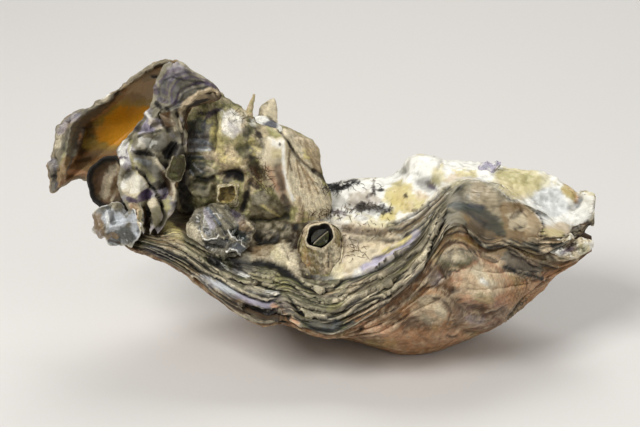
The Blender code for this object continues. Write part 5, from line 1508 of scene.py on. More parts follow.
FLUTED_EDGES = (
    (-22, -3.5, 3), (-18, -5.5, 6.5), (-13, -8, 7.5), (-9, -9.5, 8.5), (-4, -8.5, 9.5), (0, -9.8, 10.5),
    (4, -6.5, 11), (8, -3, 10), (12, 0, 12), (14.5, 0.8, 20.5), (18, 1.8, 19.8), (21, 2.8, 16.5),
    (24, 4.5, 11), (25.3, 6.5, 8.5),
)
FLUTED_PLACE = (-49.5, -6, 65.5)
FLUTED_TILT = 20
FLUTED_ROWS = 190
FLUTED_COLUMNS = 110
FLUTE_COUNT = 3.2
FLUTED_SCULPT = (
    (2, 2.4, (-59.5, 19), (-58, 16)),
    (-1.2, 1.2, (-56.5, 13), (-58, 11)),
    (1.8, 2.6, (-57.5, 7.5), (-56.5, 5)),
    (1.4, 3, (-51.5, 13), (-51, 10.5)),
    (1.2, 3, (-51.5, 21), (-48, 21.5)),
    (-1.8, 0.6, (-55, 13.5), (-52.5, 11), (-50.5, 8), (-48.5, 5), (-47, 2)),
    (1.2, 0.9, (-49, 16), (-47.5, 13.5), (-45.5, 11), (-44, 9.5), (-43.5, 7), (-44, 4)),
    (-1.8, 1, (-48, 16), (-46, 13.5), (-44, 11), (-42.5, 8)),
    (1.2, 1, (-54.5, 23), (-52.5, 24), (-50.5, 24), (-48, 25), (-46, 26)),
    (-1.4, 1.2, (-54.5, 25), (-51, 25.5), (-48.5, 27)),
    (2.4, 1.4, (-46.5, 29), (-45.5, 27)),
    (1.4, 1.2, (-44.5, 28.5), (-43.5, 25.5)),
    (-1.4, 0.7, (-48, 30), (-47, 27), (-45.5, 25)),
    (1.2, 0.8, (-53, 31.5), (-52, 30), (-50.5, 28)),
    (-1, 0.7, (-43, 30), (-42, 25.5), (-41, 21)),
    (-3.4, 3.2, (-38, 32), (-34, 34), (-31, 34.5)),
    (1.2, 0.9, (-41.5, 31.5), (-39, 34), (-36, 36), (-33, 37), (-30.5, 36)),
    (-0.8, 0.8, (-43, 33), (-42.5, 35.5), (-40, 37.5), (-37, 39), (-33.5, 39)),
    (1.2, 2.6, (-45.5, 42.5), (-42, 43)),
    (-1, 0.9, (-48.5, 37), (-48, 34.5)),
    (0.9, 1.2, (-49, 37.5)),
    (0.9, 1.4, (-47.5, 34)),
    (-3.4, 1.6, (-52, 1), (-51.5, -2.5)),
    (1.6, 1.2, (-56, 3.5), (-54.5, 0), (-54.5, -4)),
    (1.6, 1.2, (-50, 3.5), (-49, 0), (-49.5, -4)),
    (1.4, 1.4, (-47, 4.5), (-45.5, 1.5)),
)
FLUTED_PAINT = (
    ("slate", 0, 0.75, (-48.5, 37.5), (-47, 42), (-44.5, 44), (-39, 43), (-35.5, 40), (-30, 37),
     (-36, 36), (-40, 33.5), (-42.5, 30.5), (-45, 31.5)),
    ("lavender", 0, 0.35, (-46.5, 41), (-44.5, 44), (-41, 43.5), (-39.5, 41.5), (-43, 40.5), (-45.5, 39)),
    ("plum", 0.6, 0.9, (-43.5, 33), (-42.5, 35.5), (-40, 37.5), (-37, 39), (-33.5, 39), (-31, 37.5)),
    ("ink", 0.45, 0.7, (-42, 33.5), (-41, 36), (-38, 37.5), (-33.5, 38)),
    ("plum", 0.35, 0.7, (-44.5, 33), (-44.5, 37), (-42.5, 40), (-38.5, 41), (-34, 40)),
    ("plum", 0.35, 0.6, (-46, 34.5), (-45.5, 38.5), (-43.5, 41.5), (-40, 42.5), (-37, 41.5)),
    ("ash", 0.3, 0.6, (-45.5, 34), (-45, 37.5), (-43, 40.5), (-39, 42), (-35.5, 40.5)),
    ("ash", 0.5, 0.7, (-42.5, 34.5), (-41.5, 36.5), (-38.5, 38), (-35, 38.5)),
    # Painted shade in the hollow under the hood.
    ("peat", 0, 0.9, (-41, 27.5), (-41.5, 31), (-39, 34), (-35.5, 36), (-32, 36.5), (-29.5, 34),
     (-33.5, 32), (-37, 29)),
    ("cream", 1.1, 0.9, (-41.5, 30.5), (-40.5, 32.5), (-38.5, 34.5), (-35.5, 36), (-32.5, 37),
     (-30.5, 35.5)),
    ("cream", 0.7, 0.6, (-41, 29), (-40, 32), (-38, 33)),
    # Painted shade in the hood's hollow.
    ("peat", 1.3, 0.9, (-38.5, 32), (-36.5, 33)),
    ("peat", 1.3, 0.9, (-34.5, 33.5), (-32, 34.5)),
    ("ash", 0, 0.5, (-49, 38), (-47, 39), (-45, 36.5), (-45, 31.5), (-48.5, 31), (-49.5, 34.5)),
    ("plum", 1, 0.7, (-49.5, 38), (-49, 36.5)),
    ("plum", 0.7, 0.6, (-47, 37), (-46, 36)),
    ("plum", 0.8, 0.6, (-48, 34), (-46, 33.5)),
    ("ink", 0.8, 0.95, (-49, 33), (-47.5, 31.5)),
    ("ink", 0.6, 0.9, (-46.5, 32), (-45.5, 31)),
    ("indigo", 1.2, 0.4, (-48, 35), (-46.5, 40)),
    ("chalk", 0.5, 0.8, (-53, 31.5), (-52, 30), (-50.5, 28)),
    ("lavender", 0, 0.8, (-54, 25.5), (-51.5, 28.5), (-48, 28.5), (-47.5, 26), (-51, 24), (-54.5, 24)),
    ("plum", 1.2, 0.45, (-52, 26), (-51, 25)),
    ("bone", 1.2, 0.6, (-50.5, 27.5), (-48.5, 26)),
    ("ink", 0.4, 0.7, (-46.5, 40), (-44.5, 41), (-41, 40), (-37, 39.5)),
    ("plum", 0.5, 0.7, (-48, 39.5), (-45.5, 42.5), (-42, 43.5)),
    ("umber", 0, 0.95, (-47.5, 30), (-45, 30.5), (-44, 28.5), (-44.5, 25.5), (-47, 26.5)),
    ("taupe", 0.5, 0.7, (-47, 29), (-46, 27)),
    ("bone", 0.9, 0.8, (-44.5, 29), (-43.5, 25.5)),
    ("ink", 0.5, 0.9, (-48, 29), (-47, 26.5), (-45.5, 25)),
    ("peat", 0.7, 0.95, (-43, 30), (-41.5, 25.5), (-41, 21)),
    ("bone", 0.4, 0.8, (-42.5, 28.5), (-41.5, 24.5)),
    ("ash", 0, 0.9, (-56, 22.5), (-52.5, 23.5), (-48, 25), (-45, 25), (-44.5, 19), (-48, 16.5),
     (-51.5, 18), (-56, 19.5)),
    ("slate", 2.6, 0.6, (-51, 20), (-47.5, 21.5)),
    ("bone", 1, 0.6, (-53.5, 22), (-53, 20)),
    ("ink", 0, 0.7, (-55, 23), (-53, 23), (-50.5, 22), (-48.5, 20), (-48, 18), (-49.5, 18.5),
     (-51.5, 20.5), (-54, 22)),
    ("slate", 1.6, 0.7, (-48.5, 21.5), (-46, 19.5)),
    ("ink", 0, 0.97, (-57, 19), (-54.5, 19), (-51.5, 18.5), (-49, 18), (-49, 17), (-52, 17), (-56, 18)),
    ("ink", 0.5, 0.8, (-54.5, 23), (-52.5, 24), (-50.5, 24), (-48, 25)),
    ("chalk", 0, 0.98, (-62, 20), (-60, 21.5), (-57.5, 22.5), (-56.5, 20), (-57, 16.5), (-56.5, 13.5),
     (-58, 13.5), (-60.5, 16)),
    ("lavender", 1.2, 0.6, (-58.5, 20), (-57.5, 16.5), (-57.5, 14)),
    ("plum", 0.9, 0.95, (-60, 18), (-59.5, 17)),
    ("plum", 0.9, 0.95, (-58.5, 19), (-58.5, 17)),
    ("plum", 0.6, 0.6, (-58.5, 14.5), (-57.5, 13)),
    ("lichen", 0.5, 0.7, (-56.5, 22), (-57.5, 19), (-56, 14.5), (-56, 10), (-56, 7)),
    ("ash", 0, 0.9, (-56, 17), (-52, 17), (-49.5, 16.5), (-47.5, 13), (-45.5, 9.5), (-48.5, 9),
     (-52, 10.5), (-55, 13.5)),
    ("pearl", 1, 0.7, (-55, 16), (-51.5, 15)),
    ("slate", 3, 0.65, (-52, 14), (-48, 10)),
    ("slate", 0.6, 0.8, (-53.5, 14), (-50, 14)),
    ("lichen", 0.9, 0.5, (-55, 15.5), (-52, 12.5), (-50, 10)),
    ("bone", 0, 0.95, (-59.5, 7.5), (-58.5, 10.5), (-56.5, 13), (-54, 12.5), (-51, 8), (-53, 7), (-55, 5),
     (-57.5, 4.5)),
    ("chalk", 1, 0.8, (-58, 11), (-59, 8)),
    ("lichen", 1, 0.5, (-55, 12), (-54.5, 7.5)),
    ("ink", 0, 0.97, (-50.5, 9), (-48.5, 10), (-46, 9.5), (-45.5, 7.5), (-48, 7), (-50, 6.5)),
    ("lavender", 0, 0.8, (-48.5, 7), (-45.5, 7.5), (-45.5, 6), (-48, 5)),
    ("plum", 0, 0.97, (-55, 5), (-53.5, 6.5), (-51.5, 7.5), (-50, 6), (-51.5, 4), (-54, 3.5)),
    ("plum", 0, 0.9, (-48.5, 5.5), (-46, 6), (-46, 4.5), (-48, 4)),
    ("plum", 0.9, 0.9, (-57.5, 4.5), (-55.5, 3.5)),
    ("bone", 0, 0.9, (-52, 3.5), (-49, 5), (-48, 2), (-48.5, -4), (-50.5, -1)),
    ("moss", 1.4, 0.8, (-49, 1), (-49, -3)),
    ("cream", 0, 0.9, (-57.5, 3), (-54.5, 3), (-53, 0.5), (-53.5, -4), (-55.5, -1)),
    ("rose", 0.9, 0.4, (-56.5, 2), (-55, -1)),
    ("moss", 0.8, 0.7, (-54, 0.5), (-54, -4)),
    ("lichen", 0, 0.8, (-47.5, 4), (-45, 4.5), (-44.5, 1.5), (-46, 0), (-47.5, 2)),
    ("ink", 0, 0.97, (-53, 2), (-51.5, 1), (-50, -2), (-51.5, -4), (-53.5, -2)),
    ("ink", 0.45, 1, (-55, 13.5), (-52.5, 11), (-50.5, 8), (-48.5, 5), (-47, 2)),
    ("bone", 0.45, 0.9, (-49, 16), (-47.5, 13.5), (-45.5, 11), (-44, 9.5), (-43.5, 7), (-44, 4)),
    ("umber", 0.9, 0.8, (-47.5, 12.5), (-45.5, 9.5), (-44.5, 6)),
    ("ink", 0, 0.97, (-47.5, 19), (-44.5, 22), (-41, 21), (-40, 17), (-44.5, 16), (-47, 16.5)),
    # Painted shade in the recess between this valve and the knob.
    ("ink", 2.2, 0.97, (-41.5, 14.5), (-41.5, 10), (-41, 1.5)),
    ("chalk", 0, 0.7, (-61.5, 20), (-59.5, 22), (-58, 20), (-58, 17), (-60.5, 17)),
    ("slate", 2.2, 0.5, (-52, 13.5), (-49, 12.5)),
    ("olive", 1.6, 0.7, (-50, 0.5), (-48.5, -3)),
    ("umber", 1.8, 0.8, (-46.5, 29), (-45, 27)),
    ("peat", 1.8, 0.85, (-40, 30), (-38, 29)),
    ("chalk", 0, 0.55, (-59, 11), (-56.5, 13), (-54, 11.5), (-52, 8), (-54.5, 6), (-57.5, 5.5)),
    ("chalk", 0, 0.4, (-54.5, 22.5), (-51, 23), (-49, 21.5), (-51, 19.5), (-54.5, 20)),
)


def build_fluted_valve():
    """Frilled upright shell: folds and tips below, a hood above, dark stripes across."""
    height = np.linspace(FLUTED_EDGES[0][0], FLUTED_EDGES[-1][0], FLUTED_ROWS)[:, None]
    edges = line_at(FLUTED_EDGES, height[:, 0])
    share = np.linspace(0, 1, FLUTED_COLUMNS)[None]
    ripple = 0.35 * grain(np.stack(np.broadcast_arrays(share * 5, height, 3.0), -1), 9, 70)
    fold = np.cos(2 * np.pi * (FLUTE_COUNT * share + ripple))
    deep = np.clip((10 - height) / 10, 0, 1)
    ragged = np.clip((-13 - height) / 8, 0, 1)
    rim = np.stack(np.broadcast_arrays(np.round(share), height / 2.2, 1.0), -1)
    across = edges[:, :1] + (edges[:, 1:] - edges[:, :1]) * share
    across = across + 0.45 * layered(rim, 1.0, 3, 75) * np.abs(2 * share - 1) ** 3 * np.sign(share - 0.5)
    up = height - 2.2 * fold * ragged
    crown = 3.2 * (1 - (2 * share - 1) ** 2)
    growth = height + 1.6 * fold + 2.5 * crown * 0.3
    rise = crown + (0.5 + 1.3 * deep) * fold + 3.0 * np.clip((height - 10) / 15, 0, None)
    near = np.stack(np.broadcast_arrays(across, up, rise), -1)
    front = stood(near, FLUTED_PLACE, FLUTED_TILT)
    normals = facing_out(front, VIEW_BACK)
    form = sculpted(front, VIEW_BACK, FLUTED_SCULPT)
    fine = 0.12 * saw(growth / 2.6) + 0.2 * layered(front, 3.4, 3, 71)
    front = front + normals * (form + fine)[..., None]
    thick = 1.5 + 0.8 * crown
    back_local = np.stack(np.broadcast_arrays(across, up, rise + form - thick), -1)
    back = stood(back_local, FLUTED_PLACE, FLUTED_TILT)
    back = back + VIEW_BACK * (0.3 * layered(back, 3, 3, 72))[..., None]
    normals = facing_out(front, VIEW_BACK)

    tint = plain_tint("ash", front)
    tint = dappled(
        tint, front, 1.0, ("lavender", 0.45, 0.0, 0.5, 4, 3, 74), ("bone", 0.35, 0.0, 0.4, 7, 2, 76),
    )
    tint = brushed(tint, front, VIEW_BACK, FLUTED_PAINT, 0.15)
    # Painted shade in the hollows and painted highlight on what stands proud.
    tint = painted_hollow_shade_and_ridge_highlight(tint, front, normals, False, 0.4)
    rear = plain_tint("taupe", back)
    rear = dappled(rear, back, 1.0, ("plum", 0.5, 0, 0.4, 4, 3, 77), ("olive", 0.5, 0, 0.4, 7, 3, 78))
    growth = np.broadcast_to(growth, front.shape[:2])
    thing = sheet_piece(
        "fluted_shell", front, back,
        shell_skin(tint, growth, 0.15, 0.55, 0.4), shell_skin(rear, growth, 0.5, 0.2),
    )
    material = shell_material("striped_skin", mottle=1.3, contrast=0.18, lines=0.55, line_cut=0.2)
    settle(thing, "fluted_valve", material)


KNOB_EDGES = (
    (-21.5, -12, 14), (-18, -18, 20), (-14, -22.5, 22.5), (-9, -23.5, 22.5), (-4, -23.5, 20.5),
    (0, -23, 19.5), (4.5, -21, 19), (7.5, -20.5, 16.5), (11, -20, 9.5), (13.5, -20, 2.5), (16, -19, -3),
    (19, -17.5, -7), (21.5, -15.5, -10), (22.5, -14, -11.5),
)
KNOB_PLACE = (-19.3, 2, 57.1)
KNOB_TILT = 16
KNOB_ROWS = 150
KNOB_COLUMNS = 150
KNOB_SCULPT = (
    (1, 1.2, (-11, 22), (-10.5, 16.5), (-10, 11.5), (-9, 7), (-8, 2.5)),
    (-1.2, 2.6, (-13, 13.5), (-11.5, 8), (-10, 2)),
    (-3, 1.6, (-29, 12), (-26, 12), (-23.5, 11)),
    (1, 1, (-23, 13.5), (-22, 10.5), (-22.5, 7)),
    (1.3, 1, (-39.5, 12.5), (-39, 8.5), (-37, 6), (-34, 6), (-32.5, 9)),
    (1.6, 2.4, (-36, 8)),
    (-1.6, 1, (-37, 10.5), (-34, 10), (-32, 10.5)),
    (1.2, 2.6, (-36.5, 14)),
    (1.8, 4, (-26.5, 28), (-29, 24.5)),
    (2, 3.6, (-12, 21)),
    (-1.5, 1.2, (-32, 30.5), (-31, 25.5), (-32, 19.5)),
    (-0.9, 1.4, (-24, 19), (-20.5, 20.5), (-17.5, 20)),
    (1.5, 2.2, (-27.5, 16.5), (-24, 15.5)),
    (1.2, 1.2, (-20.5, 13), (-17, 9.5)),
    (-1.2, 1.4, (-21.5, 9.5), (-22, 4.5), (-23, 1.5)),
    (-1.8, 2, (-20.5, 16), (-18.5, 12.5)),
    (1.4, 2.6, (-17.5, 4), (-14.5, 0.5)),
    (-1.5, 1.4, (-20.5, -2.5), (-15, -2.5), (-9.5, -1.5)),
    (1, 1, (-7, 22), (-3, 21)),
    (-0.8, 0.8, (-12, 24.5), (-9, 20), (-6, 16), (-1.5, 12.5)),
    (0.7, 1, (-7, 4.5), (-6.5, 1), (-7, -2)),
)
KNOB_PAINT = (
    ("teal", 0, 0.9, (-41, 27), (-37, 28.5), (-34, 28.5), (-34, 25.5), (-37, 24), (-41, 24)),
    ("indigo", 0, 0.8, (-41, 24), (-36, 25.5), (-35, 28.5), (-32, 28), (-32, 24.5), (-32.5, 19.5),
     (-37, 19), (-41, 19.5)),
    ("plum", 0, 0.8, (-35, 30), (-32.5, 31.5), (-29, 31.5), (-29.5, 29), (-33.5, 28)),
    ("lichen", 0.9, 0.8, (-33.5, 27.5), (-30.5, 29.5)),
    ("steel", 0.7, 0.6, (-40, 21.5), (-37, 22), (-32.5, 21)),
    ("steel", 0.5, 0.5, (-40, 20), (-32.5, 19.5)),
    ("teal", 0.7, 0.6, (-39.5, 24), (-34, 25)),
    ("ink", 0.6, 0.6, (-40, 23), (-32.5, 23)),
    ("pearl", 0.5, 0.8, (-40, 19), (-33, 19)),
    ("slate", 0.5, 0.8, (-40, 18), (-32.5, 18)),
    ("steel", 0.5, 0.9, (-40, 17), (-32.5, 17)),
    ("teal", 0.7, 0.9, (-40, 16.5), (-32.5, 16.5)),
    ("cream", 0, 0.6, (-36, 18.5), (-32, 18.5), (-31, 15.5), (-35, 16.5)),
    ("teal", 0, 0.9, (-39.5, 16), (-35, 16), (-33.5, 13.5), (-35, 10.5), (-38.5, 11), (-40, 13.5)),
    ("ink", 0, 0.75, (-38.5, 14), (-35.5, 15), (-34.5, 12.5), (-37, 11)),
    ("pearl", 0.35, 0.9, (-38, 15), (-37, 13.5)),
    ("pearl", 0.35, 0.9, (-36.5, 13.5), (-35.5, 12.5)),
    ("pearl", 0.35, 0.9, (-39, 13), (-38, 11.5)),
    ("cream", 0.7, 0.7, (-34, 13.5), (-32.5, 13)),
    ("bone", 0.5, 0.9, (-34, 14), (-32, 13)),
    ("peat", 0.6, 0.9, (-35, 10.5), (-32.5, 11), (-30, 12)),
    ("slate", 0, 0.95, (-38, 9.5), (-34, 9.5), (-33.5, 7.5), (-35, 6.5), (-37, 7)),
    ("ink", 1, 0.5, (-37, 8), (-34, 8)),
    ("lichen", 0.7, 0.95, (-40, 13.5), (-39.5, 9), (-37.5, 6), (-34, 6), (-32.5, 8), (-31, 11)),
    ("olive", 1.2, 0.8, (-34, 10), (-31, 9.5), (-32, 7)),
    ("cream", 0, 0.6, (-32, 22), (-27.5, 22.5), (-22, 20), (-23, 13.5), (-29.5, 12.5), (-32, 17)),
    ("lichen", 1.6, 0.7, (-31, 25.5), (-32, 22), (-29.5, 20)),
    ("straw", 1.6, 0.5, (-28, 16.5), (-24.5, 15.5)),
    ("ash", 1.2, 0.6, (-29.5, 20), (-27, 21)),
    ("bone", 0, 0.95, (-29.5, 30.5), (-27.5, 31), (-24.5, 30), (-22, 32), (-21, 31), (-22, 27.5),
     (-23.5, 23.5), (-27.5, 22.5), (-31, 23.5), (-30.5, 27.5)),
    ("chalk", 1.6, 0.7, (-27.5, 25.5), (-24, 28.5)),
    ("chalk", 1.2, 0.7, (-29, 30), (-26, 29.5)),
    ("lichen", 0.5, 0.8, (-29.5, 27), (-27, 28), (-25, 28.5)),
    ("lichen", 0.9, 0.7, (-31, 22.5), (-30, 27), (-29.5, 30)),
    ("moss", 0.4, 0.7, (-26, 25.5), (-24, 28), (-23, 30)),
    ("moss", 0.4, 0.6, (-28, 29), (-26, 29)),
    ("moss", 0, 0.75, (-23, 25.5), (-21, 27), (-20, 24.5), (-22, 22.5), (-23.5, 23)),
    ("moss", 0, 0.65, (-25, 19), (-23.5, 20.5), (-21, 21), (-20.5, 19.5), (-23, 17.5), (-24.5, 17)),
    ("peat", 0.8, 0.9, (-18.5, 24), (-18, 23)),
    ("peat", 0.7, 0.9, (-19, 21), (-18, 21)),
    ("peat", 0.5, 0.8, (-21, 17), (-20, 16.5)),
    ("ash", 0, 0.7, (-21, 22), (-17, 22.5), (-16, 16.5), (-20.5, 16), (-23, 17)),
    ("straw", 0, 0.5, (-20.5, 19), (-17.5, 19.5), (-17, 17), (-20, 17)),
    ("bone", 0, 0.93, (-17.5, 22), (-15.5, 23), (-12, 23), (-10, 21.5), (-9.5, 13.5), (-8.5, 6.5),
     (-8, 2), (-10, 1.5), (-12.5, 4.5), (-15, 9), (-17, 15)),
    ("chalk", 0, 0.7, (-15.5, 22.5), (-12.5, 22.5), (-11, 21.5), (-11.5, 19.5), (-15, 20)),
    ("straw", 0, 0.3, (-15, 19.5), (-11.5, 19), (-11.5, 16.5), (-14.5, 16.5)),
    ("rose", 0, 0.5, (-16, 13), (-11.5, 15), (-9.5, 7), (-11, 3), (-13, 6)),
    ("cream", 2.4, 0.6, (-15.5, 14), (-14, 10.5)),
    ("umber", 1.6, 0.25, (-14, 8), (-12, 5)),
    ("rose", 1, 0.5, (-16, 14), (-14.5, 11), (-12.5, 7.5)),
    ("umber", 0.8, 0.3, (-11.5, 11), (-11, 7.5)),
    ("umber", 1.2, 0.7, (-11, 5), (-9, 2)),
    ("ink", 0.4, 0.9, (-12, 21), (-12, 20.5)),
    ("chalk", 0.6, 0.95, (-11, 21.5), (-11, 16.5), (-10.5, 12), (-9.5, 7.5), (-8, 4)),
    ("bone", 0, 0.97, (-10, 21.5), (-7, 19), (-2.5, 15), (1, 10), (3.5, 3), (3, -2.5), (-2.5, -1),
     (-6.5, 3), (-9, 7), (-10, 13)),
    ("cream", 0, 0.6, (-8.5, 15.5), (-4, 13.5), (-0.5, 8), (-2, 4), (-6, 7)),
    ("taupe", 0.35, 0.8, (-9, 19), (-9.5, 15), (-10, 10.5)),
    ("taupe", 0.35, 0.8, (-7, 16), (-6.5, 12.5), (-5.5, 8)),
    ("taupe", 0.35, 0.8, (-6.5, 15.5), (-4, 11), (-3, 7)),
    ("taupe", 0.35, 0.8, (-5, 13.5), (-2.5, 10), (-0.5, 6)),
    ("umber", 0.3, 0.7, (-9.5, 16.5), (-8.5, 13)),
    ("bone", 0, 0.97, (-12, 26), (-9, 25), (-6, 23), (-2.5, 22.5), (-1, 20), (-2.5, 19.5), (-5, 16),
     (-7, 18), (-9.5, 21)),
    ("straw", 0, 0.7, (-5, 19.5), (-2.5, 19.5), (-2.5, 16), (-5, 16.5)),
    ("taupe", 0, 0.85, (-2.5, 19), (-1, 19.5), (0.5, 12.5), (-2, 12.5), (-2.5, 15.5)),
    ("peat", 0.35, 0.9, (-12.5, 25), (-10, 22), (-8, 19)),
    ("taupe", 0.3, 0.8, (-8, 19), (-5.5, 16), (-1.5, 12.5)),
    ("peat", 0.8, 0.9, (-2, 13), (0, 11.5), (1.5, 10)),
    ("umber", 0, 0.6, (-22, 14), (-18, 16), (-16, 10), (-19, 7), (-21.5, 9)),
    ("straw", 0.3, 0.8, (-20, 11), (-18, 9), (-16, 7.5)),
    ("straw", 0.3, 0.8, (-18.5, 12.5), (-17, 9)),
    ("ochre", 0.3, 0.5, (-20.5, 13.5), (-17.5, 9.5)),
    ("peat", 0.8, 0.8, (-21.5, 15), (-20, 12)),
    ("peat", 0.6, 0.8, (-21, 9), (-18.5, 7.5)),
    ("olive", 0, 0.8, (-21.5, 5), (-17.5, 7.5), (-11, 3), (-8, 0), (-11, -5.5), (-17.5, -5.5),
     (-22, -1.5)),
    ("ash", 0, 0.6, (-20.5, 6), (-17, 7), (-15, 4), (-17.5, 2), (-20.5, 3)),
    ("straw", 0.4, 0.6, (-17.5, 2.5), (-14.5, 0.5), (-12, -1)),
    # Painted shade in the pit above the small barnacle, with the ink stroke after the next.
    ("peat", 0, 0.96, (-29, 12), (-27.5, 13.5), (-25, 13.5), (-23, 14), (-22.5, 11.5), (-24, 10),
     (-27, 10.5)),
    ("ink", 1, 0.8, (-26, 12), (-23.5, 12)),
    ("taupe", 0.6, 0.8, (-22.5, 13), (-22, 10), (-23, 7)),
    ("lichen", 1, 0.8, (-24, 8), (-23, 6)),
    # Painted shade in the recess between the fluted valve and the knob.
    ("ink", 2.4, 0.97, (-41, 17), (-41, 11), (-40, 4), (-39, 0)),
    ("peat", 1, 0.95, (-22, 6), (-23, 3.5), (-23.5, 1)),
    ("lichen", 1.6, 0.8, (-35, 4), (-29.5, 3), (-25, 4)),
    ("olive", 3, 0.8, (-34, 8), (-32, 6.5)),
    ("moss", 2.6, 0.6, (-37, 4), (-32.5, 2)),
    ("cream", 0.9, 0.9, (-6.5, 4.5), (-5.5, 1.5), (-6.5, -2)),
    ("lichen", 0.8, 0.8, (-8, 1.5), (-8.5, -0.5)),
    ("umber", 0.4, 0.5, (-5, 2), (-5, -2)),
    ("peat", 2, 0.8, (-10, -4), (-7, -5.5)),
    ("slate", 2.4, 0.5, (-35.5, 14), (-33.5, 12)),
    ("moss", 2.6, 0.6, (-37, 8), (-35, 6)),
    ("slate", 2, 0.5, (-37, 8), (-35, 6)),
    ("umber", 0, 0.5, (-13.5, 12.5), (-11, 12.5), (-10, 7), (-12, 6.5)),
    # Painted shade in the pit above the small barnacle.
    ("ink", 0, 0.95, (-29.5, 11), (-27, 12), (-24, 12), (-22, 10.5), (-23, 9), (-26, 10), (-29, 9)),
    ("cream", 0, 0.6, (-28, 30), (-24.5, 31), (-22, 28.5), (-23, 24.5), (-26.5, 22.5), (-29, 25)),
    ("lichen", 2, 0.6, (-29.5, 23), (-26.5, 21), (-22, 21.5)),
    ("bone", 0, 0.75, (-20, 21), (-17.5, 22.5), (-14.5, 22), (-14.5, 16), (-17, 13.5), (-19, 17)),
    ("cream", 0, 0.65, (-8.5, 25.5), (-5, 23), (-0.5, 21.5), (0.5, 18.5), (0, 12.5), (-2, 15), (-4.5, 19),
     (-8, 22.5)),
    ("taupe", 0.6, 0.6, (-4.5, 22), (-3.5, 18.5), (-2, 15)),
    ("chalk", 0, 0.7, (-29.5, 29), (-26.5, 31), (-23.5, 29), (-23.5, 25), (-26, 22.5), (-29, 24)),
    ("lavender", 1, 0.35, (-27, 27), (-25, 24.5)),
    ("chalk", 1, 0.55, (-21, 31), (-20, 27)),
    ("slate", 1, 0.6, (-22.5, 25.5), (-22, 22.5)),
    ("moss", 1.3, 0.6, (-24.5, 20), (-23, 17.5)),
    ("straw", 1.6, 0.5, (-31.5, 25), (-30.5, 21), (-29.5, 17)),
    ("straw", 1.2, 0.5, (-20.5, 21.5), (-18.5, 19.5)),
    ("cream", 1.6, 0.5, (-27.5, 19.5), (-26, 16)),
    ("peat", 1.4, 0.45, (-21, 13), (-17.5, 9.5)),
)
FAN_APEX = (-9.5, 26.0)


